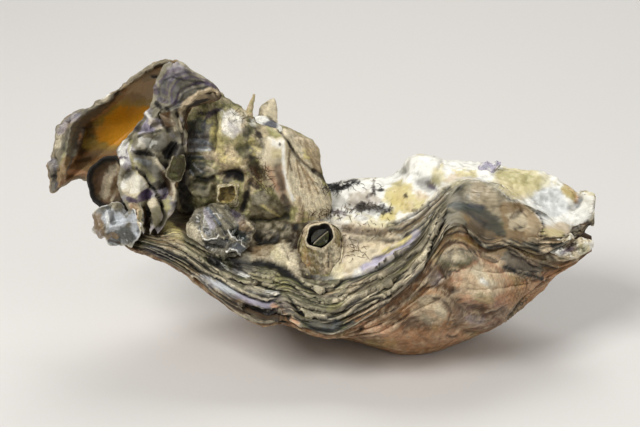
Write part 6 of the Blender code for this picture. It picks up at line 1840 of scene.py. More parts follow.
def build_knob_oyster():
    """Upright lump of an oyster: dark banded side, algae, a smooth cheek, a ridge and a striated fan."""
    rising = np.linspace(0, 1, KNOB_ROWS)[:, None]
    height = KNOB_EDGES[0][0] + (KNOB_EDGES[-1][0] - KNOB_EDGES[0][0]) * rising
    edges = line_at(KNOB_EDGES, height[:, 0])
    share = (1 - np.cos(np.pi * np.linspace(0, 1, KNOB_COLUMNS)))[None] / 2
    across = edges[:, :1] + (edges[:, 1:] - edges[:, :1]) * share
    up = np.broadcast_to(height, across.shape)
    dome = measure("knob_bulge") * np.sqrt(4 * share * (1 - share)) * (4 * rising * (1 - rising)) ** 0.4

    def hill(a, b, radius, size):
        return size * np.exp(-1.5 * ((across - a) ** 2 + (up - b) ** 2) / radius**2)

    rise = dome + hill(-15, -8.5, 3.6, 2.6) + hill(-6, 9, 5, 2.0) - hill(-16, 17, 5, 3.5)
    front = stood(np.stack([across, up, rise], -1), KNOB_PLACE, KNOB_TILT)
    normals = facing_out(front, VIEW_BACK)
    cards = card(front)
    turn = np.arctan2(cards[..., 1] - FAN_APEX[1], cards[..., 0] - FAN_APEX[0])
    on_fan = smooth(-9, -6.5, cards[..., 0] + 0.1 * cards[..., 1]) * smooth(5.5, 3, cards[..., 1] - 22)
    growth = np.where(on_fan > 0.5, turn * 16, across) + 0.6 * grain(front, 5, 80)
    slant = cards[..., 0] - 0.45 * np.clip(12 - cards[..., 1], 0, 12)
    rough = 1 - 0.85 * smooth(-17.5, -15, slant) * (1 - on_fan) * smooth(0, 4, cards[..., 1])
    lumps, crumbs = 0.7 * grain(front, 5, 81), layered(front, 2.6, 4, 82)
    relief = sculpted(front, VIEW_BACK, KNOB_SCULPT) + rough * (lumps + 0.4 * crumbs)
    relief += on_fan * (0.16 * saw(growth / measure("fan_step")) - lumps - 0.3 * crumbs)
    front = front + normals * relief[..., None]
    normals = facing_out(front, VIEW_BACK)

    tint = plain_tint("lichen", front)
    tint = dappled(
        tint, front, 1.0, ("cream", 0.7, -0.2, 0.4, 4, 3, 84), ("moss", 0.6, 0.1, 0.5, 5, 4, 83),
    )
    specks = 1 - on_fan
    tint = dappled(
        tint, front, specks, ("moss", 0.4, 0.1, 0.45, 1.8, 4, 85, 0.7),
        ("bone", 0.4, 0.1, 0.45, 1.5, 4, 79, 0.7),
    )
    tint = brushed(tint, front, VIEW_BACK, KNOB_PAINT)
    tint = dab(tint, "umber", 0.25 * rough * specks * smooth(0.1, 0.4, layered(front, 1.4, 4, 78, 0.7)))
    # Painted shade in the hollows and painted highlight on what stands proud.
    tint = painted_hollow_shade_and_ridge_highlight(tint, front, normals, False, 0.75)
    edge = border(KNOB_ROWS, KNOB_COLUMNS, 0)
    points = front.reshape(-1, 3)
    faces = grid_faces(KNOB_ROWS, KNOB_COLUMNS, 0, False)
    tilt = math.radians(KNOB_TILT)
    forward = np.array((0, -math.cos(tilt), math.sin(tilt)))
    loop = points[edge]
    middle = loop.mean(0)
    tints, growths = [tint.reshape(-1, 3)], [growth.ravel()]
    before = edge
    for k in range(1, 22):
        part = k / 22
        inward = math.cos(part * math.pi / 2)
        sunk = 1.2 * min(1, k / 3) + 11 * math.sin(part * math.pi / 2)
        ring = middle + (loop - middle) * inward - forward * sunk
        ring = ring + forward * (0.9 * layered(ring, 7, 4, 86))[:, None]
        first = len(points)
        points = np.concatenate([points, ring])
        colour = plain_tint("taupe", ring)
        colour = dappled(
            colour, ring, 1.0, ("moss", 0.7, -0.1, 0.4, 8, 3, 87), ("bone", 0.6, 0.1, 0.5, 5, 3, 88),
            ("umber", 0.6, 0.1, 0.5, 3, 3, 89),
        )
        tints.append(colour)
        growths.append(ring[:, 2])
        after = list(range(first, first + len(ring)))
        for m in range(len(before)):
            n = (m + 1) % len(before)
            faces.append((before[m], after[m], after[n], before[n]))
        before = after
    faces.append(tuple(before))
    skin = {"tint": np.concatenate(tints), "growth": np.concatenate(growths)}
    behind = len(points) - rough.size
    for key, values, last in (
        ("layers", np.where(on_fan > 0.5, 0.35, 0.1), 0.3), ("gloss", 0.15 + 0.5 * (1 - rough), 0.1),
        ("calm", 0.85 * (1 - rough), 0.0),
    ):
        skin[key] = np.concatenate([values.ravel(), np.full(behind, last)])
    thing = mesh_piece("knob_shell", points, faces, skin)
    material = shell_material(
        "algae_skin", mottle=1.3, contrast=0.27, lines=0.45, line_cut=0.2, rough=0.66, bump=0.7, drawn=1.6
    )
    settle(thing, "knob_oyster", material)


STUB_OUTLINE = ((0.9, 15), (1.8, 17.2), (3.9, 19), (5, 19.4), (6.1, 18.7), (6.6, 12), (5, 8), (0.5, 9))
FLAKE_OUTLINE = ((0.1, 14.3), (2, 14.8), (5, 13.3), (8.2, 11), (7.4, 7.8), (4.1, 9.2), (1.7, 11.2))
SPIKE_STATIONS = 24
SPIKE_SIDES = 16


def build_knob_points():
    """Spike, stub and flake that stand on top of the knob."""
    stations = np.linspace(0, 1, SPIKE_STATIONS)
    turns = np.linspace(0, 2 * np.pi, SPIKE_SIDES, endpoint=False)
    rings = []
    for share in stations:
        reach = 2.2 * (1 - share) ** 1.2 + 0.3
        across = -2.6 + 2.6 * share**1.4 + reach * np.cos(turns)
        up = np.full(SPIKE_SIDES, 10.5 + 10.8 * share)
        rings.append(np.stack([across, up, 2.0 + reach * np.sin(turns)], -1))
    spike = fine_relief(stood(np.array(rings), KNOB_PLACE, KNOB_TILT), 1.6, 0.35, 90)
    tint = plain_tint("cream", spike)
    tint = dappled(tint, spike, 1.0, ("lichen", 0.75, -0.2, 0.3, 2.5, 3, 91))
    low = smooth(0.6, 0.1, stations)[:, None]
    tint = dab(tint, "moss", 0.5 * low * smooth(-0.2, 0.3, grain(spike, 2, 92)))
    pieces = [ringed_piece("spike", spike, shell_skin(tint, spike[..., 2], 0.3, 0.1))]
    for name, outline, low, high, slope, first, second in (
        ("stub", STUB_OUTLINE, -3.2, -0.9, 0.0, "bone", "ash"),
        ("flake", FLAKE_OUTLINE, 1.6, 5.2, -0.15, "chalk", "indigo"),
    ):
        middle = np.mean(outline, 0)
        rings, _ = shell_rings(
            outline, middle, lambda a, b, s: high + slope * b + 0.5 * (1 - s * s),
            lambda a, b, s: low + slope * b, count=70, front_rings=22, back_rings=8, ragged=0.2,
        )
        grid = fine_relief(stood(rings, KNOB_PLACE, KNOB_TILT), 2.0, 0.2, 93)
        tint = plain_tint(first, grid)
        spot = np.linalg.norm(rings[..., :2] - (middle + (0.6, 0.2)), axis=-1)
        if second == "indigo":
            cover = smooth(2.6, 1.4, spot + 0.8 * layered(grid, 2, 3, 94))
        else:
            cover = smooth(-0.1, 0.4, layered(grid, 3, 3, 95))
        tint = dab(tint, second, 0.9 * cover)
        pieces.append(ringed_piece(name, grid, shell_skin(tint, rings[..., 0], 0.1, 0.2)))
    material = shell_material("point_skin", mottle=1.0, contrast=0.16, lines=0.5, line_cut=0.12)
    for piece in pieces:
        settle(piece, "knob_oyster", material)


ROUND_PLACE = (-29.8, -14, 43.1)
ROUND_OUTLINE = (
    (-9.5, -0.5), (-8, -4), (-4.5, -6.5), (0, -8), (4, -8), (8, -6), (10, -3), (10, 0.5), (6.5, 5),
    (3, 7.5), (-1, 8), (-5.5, 7), (-8, 4.5),
)
ROUND_SCULPT = (
    (0.5, 0.5, (-35.5, -5.5), (-35, -8), (-32.5, -7.5), (-30.5, -7)),
    (0.5, 0.5, (-27.5, -5.5), (-25.5, -7.5), (-23.5, -9), (-22.5, -10)),
    (0.6, 0.5, (-28, -11.5), (-26.5, -11), (-25, -11), (-24, -12.5), (-22.5, -13)),
    (-2, 1.6, (-26, -5.5), (-23.5, -7)),
    (0.9, 1.4, (-31.5, 1.5), (-28, -2.5), (-26, -8)),
    (-0.8, 1, (-33.5, 0.5), (-30.5, -3), (-28, -7.5)),
    (1.2, 1.6, (-23, -2.5), (-20.5, -4.5)),
    (0.9, 2, (-38, -4.5)),
    (-0.8, 1, (-34, -10), (-29.5, -10.5)),
)
ROUND_PAINT = (
    ("bone", 0, 0.6, (-41, -4.5), (-38.5, -2.5), (-35.5, -5), (-34, -7.5), (-36.5, -8.5), (-40, -7)),
    ("ash", 0, 0.8, (-35.5, 2), (-30.5, 3), (-26.5, 0.5), (-24.5, -4), (-27.5, -5), (-32.5, -5.5),
     (-36, -3)),
    ("lavender", 1.2, 0.5, (-34, 0.5), (-32.5, -4)),
    ("ink", 0.5, 0.7, (-34, 2), (-30.5, -2.5), (-27.5, -7)),
    ("ink", 0.4, 0.6, (-32.5, 2.5), (-29, -1.5), (-26, -4)),
    ("steel", 0.6, 0.6, (-33.5, 1.5), (-30, -3)),
    ("plum", 1.2, 0.5, (-26, 0.5), (-23.5, -2.5)),
    ("taupe", 0, 0.7, (-24.5, -2.5), (-22, -2), (-20, -4.5), (-22, -6), (-24.5, -5)),
    ("bone", 0.4, 0.7, (-22, -2.5), (-20, -4.5)),
    ("teal", 0, 0.7, (-27.5, -5), (-24.5, -5), (-22, -7), (-22.5, -9), (-24.5, -8), (-26.5, -7)),
    ("slate", 2, 0.5, (-34, -9), (-29.5, -10)),
    ("steel", 1.4, 0.6, (-25, -10), (-23, -11)),
    ("ash", 1.2, 0.7, (-32.5, -11), (-29, -11.5)),
    ("chalk", 0.2, 0.98, (-36, -5), (-35, -7.5), (-34, -8), (-32.5, -7.5), (-31, -7.5), (-30.5, -6.5)),
    ("chalk", 0.2, 0.98, (-27.5, -5), (-26.5, -7), (-25.5, -7), (-25, -8), (-23.5, -8), (-23.5, -9.5),
     (-22.5, -10)),
    ("chalk", 0.22, 0.98, (-28, -11.5), (-27, -10.5), (-25, -11), (-24.5, -12), (-23, -13)),
    ("chalk", 0.18, 0.85, (-37, -1), (-36.5, -1.5)),
    ("chalk", 0.18, 0.85, (-32, 0), (-31, 0), (-30, -1.5)),
    ("chalk", 0.18, 0.7, (-34.5, -0.5), (-35, -2.5)),
    # Painted shadow under the raised white lines: these two ink strokes.
    ("ink", 0.2, 0.8, (-34.5, -9), (-32.5, -8), (-30.5, -8)),
    ("ink", 0.2, 0.7, (-27.5, -12), (-26, -11.5), (-24.5, -13)),
)


def build_round_shell():
    """Young rounded shell, glossy grey, with thin white broken edges."""

    def front(a, b, s):
        steps = 0.6 * ((s * 3 + 0.1 * grain(on_plane(a, b), 4, 100)) % 1.0)
        return 4.6 * (1 - s**2.2) + steps

    def back(a, b, s):
        return a * 0 - 1.0 - 4 * (1 - s)

    rings, shares = shell_rings(
        ROUND_OUTLINE, (4, -1), front, back, count=200, front_rings=64, back_rings=12, ragged=0.6
    )
    grid = stood(rings, ROUND_PLACE, 38)
    normals = grid_normals(grid, True)
    rise = sculpted(grid, VIEW_BACK, ROUND_SCULPT) + 0.3 * layered(grid, 4, 4, 101)
    grid = grid + normals * rise[..., None]
    normals = grid_normals(grid, True)
    tint = plain_tint("slate", grid)
    tint = dappled(
        tint, grid, 1.0, ("ash", 0.8, -0.1, 0.4, 4, 4, 102), ("ink", 0.55, 0.15, 0.5, 3, 4, 103),
        ("bone", 0.5, 0.2, 0.5, 5, 3, 104),
    )
    # Painted shade in the hollows and painted highlight on what stands proud.
    tint = painted_hollow_shade_and_ridge_highlight(tint, grid, normals, True)
    tint = brushed(tint, grid, VIEW_BACK, ROUND_PAINT)
    skin = shell_skin(tint, shares[:, None] * 9, 0.12, 0.85)
    thing = ringed_piece("round_young_shell", grid, skin)
    material = shell_material(
        "glossy_skin", mottle=1.2, contrast=0.3, lines=0.5, line_cut=0.2, rough=0.6, coat=0.35
    )
    settle(thing, "round_shell", material)


PEARLY_PLACE = (-59.0, -16, 46.1)
PEARLY_OUTLINE = (
    (-7.5, 3), (-7, 0), (-7.5, -2), (-5, -4.5), (-3.5, -4), (-1.5, -6), (3, -5.5), (5, -6), (6, -3.5),
    (7.5, 0.5), (6, 2), (4.5, 5), (2, 4.5), (0, 6.5), (-4.5, 5.5),
)
PEARLY_PAINT = (
    ("taupe", 0, 0.8, (-69, -2), (-67, 0.5), (-65.5, 0.5), (-65, -3), (-63.5, -7.5), (-65, -9),
     (-67.5, -6)),
    ("umber", 1, 0.5, (-68, -1), (-66.5, -5), (-65, -8.5)),
    ("slate", 0.9, 0.6, (-64, -4), (-62.5, -2), (-63, 0.5)),
    ("pearl", 0, 0.7, (-65, 0), (-62, 1.5), (-59, 0), (-57.5, -2), (-60.5, -4.5), (-63.5, -6)),
    # Painted highlight: a bright streak on the shell's left.
    ("chalk", 0.6, 0.5, (-64, 0), (-63.5, -3), (-64, -5.5)),
    ("pearl", 1.1, 0.7, (-63, -4.5), (-60.5, -4), (-58, -2), (-56, -1)),
    ("slate", 1, 0.7, (-62.5, 0), (-62, -2.5)),
    ("slate", 0, 0.9, (-62.5, -6), (-59.5, -4.5), (-56.5, -5), (-54.5, -7.5), (-57.5, -9), (-62, -8)),
    ("pearl", 0, 0.8, (-57, -2), (-55, -3), (-53.5, -7.5), (-54, -9), (-56, -5.5)),
    ("bone", 0.4, 0.9, (-54.5, -2.5), (-53.5, -6)),
    ("taupe", 0.8, 0.7, (-65, -8), (-62.5, -6), (-61, -7)),
    ("peat", 0.4, 0.8, (-65, -9), (-63, -8), (-60, -9)),
)


def build_pearly_shell():
    """Small wavy shell at the left end, glossy blue-grey with a thin tan edge."""

    def front(a, b, s):
        ridge = 1.9 * np.exp(-((b + 0.5 - 0.35 * a) ** 2) / 0.9)
        ridge = ridge + 1.7 * np.exp(-((a + 2.5 - 0.3 * b) ** 2) / 0.8)
        return 0.9 * (1 - s * s) + ridge * (1 - s**6) + 1.2 * np.sin(a * 0.9 + 0.4 * b) * s

    def back(a, b, s):
        return -1.0 + 1.0 * np.sin(a * 0.9 + 0.4 * b) * s - 3 * (1 - s)

    rings, shares = shell_rings(
        PEARLY_OUTLINE, (1, 1), front, back, count=160, front_rings=48, back_rings=12, ragged=0.5
    )
    grid = fine_relief(stood(rings, PEARLY_PLACE, 30, -10), 3.5, 0.25, 110)
    normals = grid_normals(grid, True)
    tint = plain_tint("ash", grid)
    tint = dappled(
        tint, grid, 1.0, ("steel", 0.7, -0.2, 0.4, 5, 3, 113), ("pearl", 0.6, 0, 0.5, 4, 3, 111),
        ("slate", 0.7, 0.1, 0.5, 3, 3, 112),
    )
    # Painted shade in the hollows and painted highlight on what stands proud.
    tint = painted_hollow_shade_and_ridge_highlight(tint, grid, normals, True)
    tint = brushed(tint, grid, VIEW_BACK, PEARLY_PAINT, 0.6)
    worn = smooth(-0.2, 0.3, grain(grid, 2.5, 114))
    tint = dab(tint, "chalk", 0.7 * smooth(0.93, 1.0, shares)[:, None] * worn)
    skin = shell_skin(tint, shares[:, None] * 7, 0.1, 0.85, 0.5)
    thing = ringed_piece("pearly_young_shell", grid, skin)
    material = shell_material(
        "pearl_skin", mottle=1.4, contrast=0.25, lines=0.5, line_cut=0.2, rough=0.5, coat=0.4
    )
    settle(thing, "pearly_shell", material)


LEAF_PLACE = (-41.9, -10, 61.6)
LEAF_OUTLINE = ((-3, -2), (-1, -4), (1.5, -3.5), (3, 0), (3, 3), (0.5, 4), (-1.5, 1.5))


def build_leaf_shell():
    """Little olive leaf of shell with a pale edge."""
    rings, shares = shell_rings(
        LEAF_OUTLINE, (0.3, 0), lambda a, b, s: a * 0 + 1.5 * (1 - s * s), lambda a, b, s: a * 0 - 1.6,
        count=70, front_rings=24, back_rings=8, ragged=0.15,
    )
    grid = fine_relief(stood(rings, LEAF_PLACE, 20, 15), 2.2, 0.45, 120)
    tint = plain_tint("olive", grid)
    tint = dappled(tint, grid, 1.0, ("moss", 0.6, 0, 0.4, 2, 3, 121))
    tint = dab(tint, "bone", 0.6 * smooth(0.9, 0.99, shares)[:, None])
    skin = shell_skin(tint, shares[:, None] * 4, 0.6, 0.4)
    thing = ringed_piece("leaf_young_shell", grid, skin)
    material = shell_material("leaf_skin", mottle=0.9, contrast=0.25, lines=0.4, line_cut=0.25)
    settle(thing, "leaf_shell", material)


# --- barnacles and chips -------------------------------------------------------------------------

BARNACLE_PLACE = (0, -13, 39.5)
BARNACLE_TILT = 42
BARNACLE_FLOOR = 2.6
BARNACLE_BASE = (
    (-6.8, -3), (-6.2, -8), (-3.4, -12.8), (0.5, -14.8), (3.8, -12.5), (6.5, -7.5), (7, -2), (6, 3),
    (2.5, 5.2), (-1.5, 5.6), (-5, 3.2),
)
SMALL_PLACE = (-27.2, -6.3, 51.4)
SMALL_BASE = ((-3.2, 3), (-3.2, -0.5), (-3, -3.4), (0, -3.8), (3, -3.4), (3.4, 0), (3.2, 3), (0, 3.2))
BARNACLE_PAINT = (
    ("cream", 0, 0.9, (-6.5, -4), (-3.5, -1.5), (2, -1.5), (4, -4), (-0.5, -4.5), (-3.5, -7), (-5, -8.5)),
    ("bone", 0.8, 0.7, (-5, -4), (-2, -2), (1, -2)),
    ("umber", 0.5, 0.8, (-3, -5.5), (-4, -8.5), (-3.5, -10.5)),
    ("lichen", 0, 0.5, (-7, -10), (-3.5, -11), (-0.5, -11.5), (-0.5, -19), (-4, -17), (-6.5, -14.5)),
    ("ash", 0, 0.7, (-0.5, -11.5), (4, -10), (7, -10), (6.5, -14.5), (3.5, -17.5), (-0.5, -19)),
    ("cream", 1.6, 0.6, (2, -13), (2, -16.5)),
    ("umber", 0.5, 0.6, (0.5, -13.5), (1, -16.5)),
    ("umber", 2, 0.6, (-2.5, -13.5), (-1.5, -17)),
    ("peat", 0.35, 0.8, (2.5, -12), (2.5, -16)),
    ("tan", 1.6, 0.4, (-5.5, -11.5), (-4, -14.5)),
    ("bone", 0, 0.9, (4, -9), (7, -10), (6.5, -14.5), (4.5, -16), (4, -13)),
    ("bone", 0, 0.85, (-5.5, -17), (-3.5, -19), (0.5, -20.5), (4, -18), (6.5, -15), (6.5, -19), (2, -23),
     (-2.5, -22.5)),
    ("lichen", 0.7, 0.8, (-5, -17.5), (-2.5, -20), (0, -20.5), (4, -17.5)),
    ("lichen", 0, 0.5, (-7, -8), (-5, -9), (-5, -13), (-7, -13)),
    ("umber", 1, 0.7, (-6.5, -5.5), (-7, -10), (-6.5, -13.5)),
)


def barnacle_rings(base, mouth, radius, height, floor, ribs, count, square, flange):
    """Rings of a walled cone: sunken floor, sharp lip, wall, thin flange round the base and a root."""
    edge = closed_outline(base, count)
    mouth = np.array(mouth, float)
    turn = np.arctan2(edge[:, 1] - mouth[1], edge[:, 0] - mouth[0])
    ray = np.stack([np.cos(turn), np.sin(turn)], -1)
    reach = radius * (1 + 0.08 * np.cos(2 * turn - 1.2) + 0.05 * np.cos(5 * turn + 0.7))
    reach = reach * (np.abs(ray) ** square).sum(-1) ** (-1 / square)
    ragged = 0.35 * layered(on_plane(ray[:, 0] * 4, ray[:, 1] * 4), 1.2, 3, 130)
    rings, shares = [], []
    steps = ((0.3, -floor), (0.8, -floor), (0.92, -floor * 0.6), (0.99, -floor * 0.2))
    for share, drop in (*steps, (1.02, -0.05), (1.05, 0.05), (1.08, 0.0), (1.13, -0.2)):
        spot = mouth + ray * (reach * share)[:, None]
        lip = ragged * (share > 0.95)
        rings.append(np.concatenate([spot, (height + drop + lip)[:, None]], 1))
        shares.append(0.0 if share < 1 else 0.02)
    lip = mouth + ray * (reach * 1.13)[:, None]
    for share in np.linspace(0, 1, 40)[1:]:
        spot = lip + (edge - lip) * share
        uneven = grain(np.stack([ray[:, 0] * 3, ray[:, 1] * 3, turn * 0 + share], -1), 1.6, 133)
        rib = 0.15 * np.abs(np.cos(ribs * turn / 2 + 1.1 * uneven)) + 0.45 * uneven
        down = min(1, share / flange)
        rise = 0.7 + (height - 1.0) * (1 - down) ** 1.15 + 0.5 * (share > flange) * math.sin(share * 9)
        sunk = 1.2 * max(0, (share - flange) / (1 - flange)) ** 3
        rise = rise + rib * math.sin(math.pi * down) * 1.3 - sunk
        rings.append(np.concatenate([spot, (rise + ragged * (1 - share))[:, None]], 1))
        shares.append(share)
    rings.append(np.concatenate([edge, np.full((count, 1), -1.5)], 1))
    rings.append(np.concatenate([edge, np.full((count, 1), -3.0)], 1))
    shares += [1.0, 1.0]
    return np.array(rings), np.array(shares)[:, None], turn


def build_large_barnacle():
    """Big barnacle with a long streaked wall, a pale lip and two dark plates in its mouth."""
    rings, shares, turn = barnacle_rings(
        BARNACLE_BASE, (0, 0.3), radius=3.6, height=measure("barnacle_height"), floor=BARNACLE_FLOOR,
        ribs=5, count=180, square=2.4, flange=0.8,
    )
    grid = fine_relief(stood(rings, BARNACLE_PLACE, BARNACLE_TILT), 1.6, 0.18, 131)
    normals = grid_normals(grid, True)
    tint = plain_tint("taupe", grid)
    tint = dappled(tint, grid, 1.0, ("lichen", 0.55, -0.1, 0.4, 3.0, 3, 132))
    tint = brushed(tint, grid, VIEW_BACK, BARNACLE_PAINT)
    wall = smooth(0.0, 0.1, shares)
    tint = dappled(
        tint, grid, wall, ("olive", 0.55, 0.05, 0.45, 2.2, 4, 134, 0.65),
        ("bone", 0.4, 0.1, 0.5, 1.6, 4, 135, 0.65),
    )
    tint = dab(tint, "ink", (shares <= 0.0) * 0.9)
    tint = dab(tint, "bone", 0.7 * smooth(0.05, 0.0, np.abs(shares - 0.02)) * (shares > 0))
    # Painted shadow at the foot of the wall, above the flange.
    tint = dab(tint, "umber", 0.6 * smooth(0.07, 0.0, np.abs(shares - 0.79)))
    # Painted shade in the hollows and painted highlight on what stands proud.
    tint = painted_hollow_shade_and_ridge_highlight(tint, grid, normals, True)
    growth = np.broadcast_to(turn * 5, grid.shape[:2])
    thing = ringed_piece("large_barnacle_wall", grid, shell_skin(tint, growth, 0.1, 0.15))
    material = shell_material("barnacle_skin", mottle=1.1, contrast=0.28, lines=0.5, line_cut=0.2)
    settle(thing, "large_barnacle", material)


PLATE_HEIGHT = 0.45
PLATE_RADIUS = 2.6
SLIT_ANGLE = 42


def build_barnacle_plates():
    """Two beaked plates that shut the large barnacle's mouth."""
    material = shell_material(
        "plate_skin", mottle=0.7, contrast=0.3, lines=0.35, line_cut=0.3, rough=0.5, coat=0.2
    )
    tilt, slit = math.radians(BARNACLE_TILT), math.radians(SLIT_ANGLE)
    raised = measure("barnacle_height") - BARNACLE_FLOOR + PLATE_HEIGHT + GAP
    lift = np.array((0, -math.cos(tilt), math.sin(tilt))) * raised
    for name, node, side, first, second in (
        ("plate_left", "barnacle_plate_left", 1, "slate", "olive"),
        ("plate_right", "barnacle_plate_right", -1, "moss", "olive"),
    ):
        turns = np.linspace(0, math.pi, 9)[::side]
        outline = [(PLATE_RADIUS * math.cos(t), side * (0.2 + 2.2 * math.sin(t))) for t in turns]
        rings, shares = shell_rings(
            outline, (0.2, side), lambda a, b, s: 1.5 - 0.55 * np.abs(b) + 0.2 * ((s * 5) % 1),
            lambda a, b, s: a * 0 - PLATE_HEIGHT, count=60, front_rings=26, back_rings=6, ragged=0.05,
        )
        turned = rings.copy()
        turned[..., 0] = rings[..., 0] * math.cos(slit) - rings[..., 1] * math.sin(slit)
        turned[..., 1] = rings[..., 0] * math.sin(slit) + rings[..., 1] * math.cos(slit)
        grid = stood(turned, BARNACLE_PLACE + lift, BARNACLE_TILT)
        tint = plain_tint(first, grid)
        tint = dappled(
            tint, grid, 1.0, ("ink", 0.7, -0.1, 0.4, 1.2, 3, 140), (second, 0.6, 0.0, 0.4, 0.8, 3, 141),
        )
        inner_edge = np.abs(rings[..., 1]) - 0.2
        tint = dab(tint, "bone" if side < 0 else "ink", 0.8 * smooth(0.3, 0.1, inner_edge))
        thing = ringed_piece(name, grid, shell_skin(tint, shares[:, None] * 3, 0.8, 0.4))
        settle(thing, node, material)


def build_small_barnacle():
    """Small squarish yellow barnacle, empty, on the knob."""
    rings, shares, turn = barnacle_rings(
        SMALL_BASE, (0, 0.3), radius=2.3, height=3.4, floor=1.8, ribs=4, count=90, square=5, flange=0.75
    )
    grid = fine_relief(stood(rings, SMALL_PLACE, 20), 1.2, 0.22, 150)
    normals = grid_normals(grid, True)
    tint = plain_tint("bone", grid)
    tint = dappled(
        tint, grid, 1.0, ("straw", 0.75, -0.2, 0.4, 1.6, 3, 151), ("moss", 0.6, 0.1, 0.5, 1.2, 3, 152),
    )
    inside = (shares <= 0.0) * 1.0
    tint = dab(tint, "mustard", inside * 0.8)
    tint = dab(tint, "umber", inside * 0.7 * smooth(-0.1, 0.4, layered(grid, 1.6, 3, 153)))
    # Painted shade in the hollows and painted highlight on what stands proud.
    tint = painted_hollow_shade_and_ridge_highlight(tint, grid, normals, True, 0.7)
    thing = ringed_piece("small_barnacle_wall", grid, shell_skin(tint, turn[None] * 3, 0.2, 0.1))
    material = shell_material("small_barnacle_skin", mottle=0.8, contrast=0.3, lines=0.4, line_cut=0.25)
    settle(thing, "small_barnacle", material)


# Flakes: name, node, slot, outline, place, tilt, thickness and finishes.
CHIPS = (
    (
        "grey_flake", "grey_chip", "grey_chip",
        ((-3, 0), (-1, -2.5), (1, -1.5), (4, 1.5), (3, 2.5), (1, 2), (-0.5, 2.5), (-2.5, 1.5)),
        (50.9, 11, 51.5), 45, 1.6, "lavender", "chalk", "steel",
    ),
    (
        "end_flake", "end_chip", "end_chip",
        ((-6.5, 1.5), (-6.5, -1), (-5, -2), (-1, -3), (2.5, -2.5), (6.5, 0), (6.5, 2), (3.5, 3),
         (1.5, 2.5), (-0.5, 4), (-2.5, 2.5), (-5, 2)),
        (74.2, -10.2, 35.6), 40, 3.0, "bone", "chalk", "taupe",
    ),
)
CHIP_PAINT = (
    ("chalk", 0, 0.97, (67, -8), (72, -7), (74, -10.5), (71.5, -14), (67, -13)),
    ("umber", 0, 0.85, (73, -8.5), (76, -8), (77.5, -10.5), (75.5, -12), (73, -11.5)),
    ("plum", 0.8, 0.6, (72.5, -12), (75.5, -10.5)),
    ("peat", 0.6, 0.9, (73, -10), (76.5, -9)),
    ("lichen", 0, 0.5, (77, -9), (80, -9), (80.5, -11.5), (78, -13)),
    ("chalk", 0.9, 0.9, (81.5, -9), (82, -11.5), (79.5, -14)),
)


def build_chips():
    """Two loose flakes: a grey one on the deck and a white broken one in the gape."""
    for name, node, slot, outline, location, tilt, thickness, first, second, third in CHIPS:
        middle = np.mean(outline, 0)

        def front(a, b, s):
            rough = layered(on_plane(a, b), 2.2, 3, 160)
            return thickness * (0.5 + 0.25 * (1 - s)) + 0.5 * thickness * rough

        rings, _ = shell_rings(
            outline, middle, front, lambda a, b, s: a * 0 - thickness * 0.5,
            count=90, front_rings=34, back_rings=8, ragged=0.3,
        )
        grid = fine_relief(stood(rings, location, tilt), 1.2, 0.15, 161)
        normals = grid_normals(grid, True)
        tint = plain_tint(first, grid)
        tint = dappled(
            tint, grid, 1.0, (second, 0.8, -0.1, 0.4, 2, 3, 162), (third, 0.5, 0.1, 0.5, 2, 3, 163),
        )
        tint = brushed(tint, grid, VIEW_BACK, CHIP_PAINT)
        # Painted shade in the hollows and painted highlight on what stands proud.
        tint = painted_hollow_shade_and_ridge_highlight(tint, grid, normals, True, 0.5)
        thing = ringed_piece(name, grid, shell_skin(tint, rings[..., 1], 0.2, 0.3, 0.5))
        material = shell_material(name + "_skin", mottle=0.9, contrast=0.16, lines=0.4, line_cut=0.2)
        settle(thing, node, material)


# --- hair ----------------------------------------------------------------------------------------

# Tufts of dark threads: place on the card, spread, count, length and finish.
TUFTS = (
    ((5.5, 8), (2.8, 0.6), 90, 2.2, "ink"),
    ((9.5, 9), (1.6, 0.5), 26, 1.8, "ink"),
    ((13, 2), (2.4, 0.8), 40, 1.6, "peat"),
    ((18.5, 1.5), (2.0, 0.9), 26, 1.6, "peat"),
    ((4, 0), (3.6, 0.6), 50, 2.4, "umber"),
    ((16, -5), (3.4, 1.2), 16, 1.6, "umber"),
    ((17, 7.5), (0.8, 1.4), 10, 2.0, "peat"),
    ((-18.5, 12.5), (1.4, 2.0), 36, 3.0, "umber"),
    ((7.5, -8), (1.2, 1.6), 12, 2.0, "umber"),
    ((-24, 30), (2.4, 1.6), 16, 3.0, "moss"),
    ((-7, -7), (1.0, 1.4), 18, 2.2, "umber"),
    ((11, -11), (1.2, 1.6), 16, 2.4, "umber"),
    ((-17.5, 10), (1.6, 1.6), 24, 2.6, "peat"),
)
THREAD_STEPS = 9


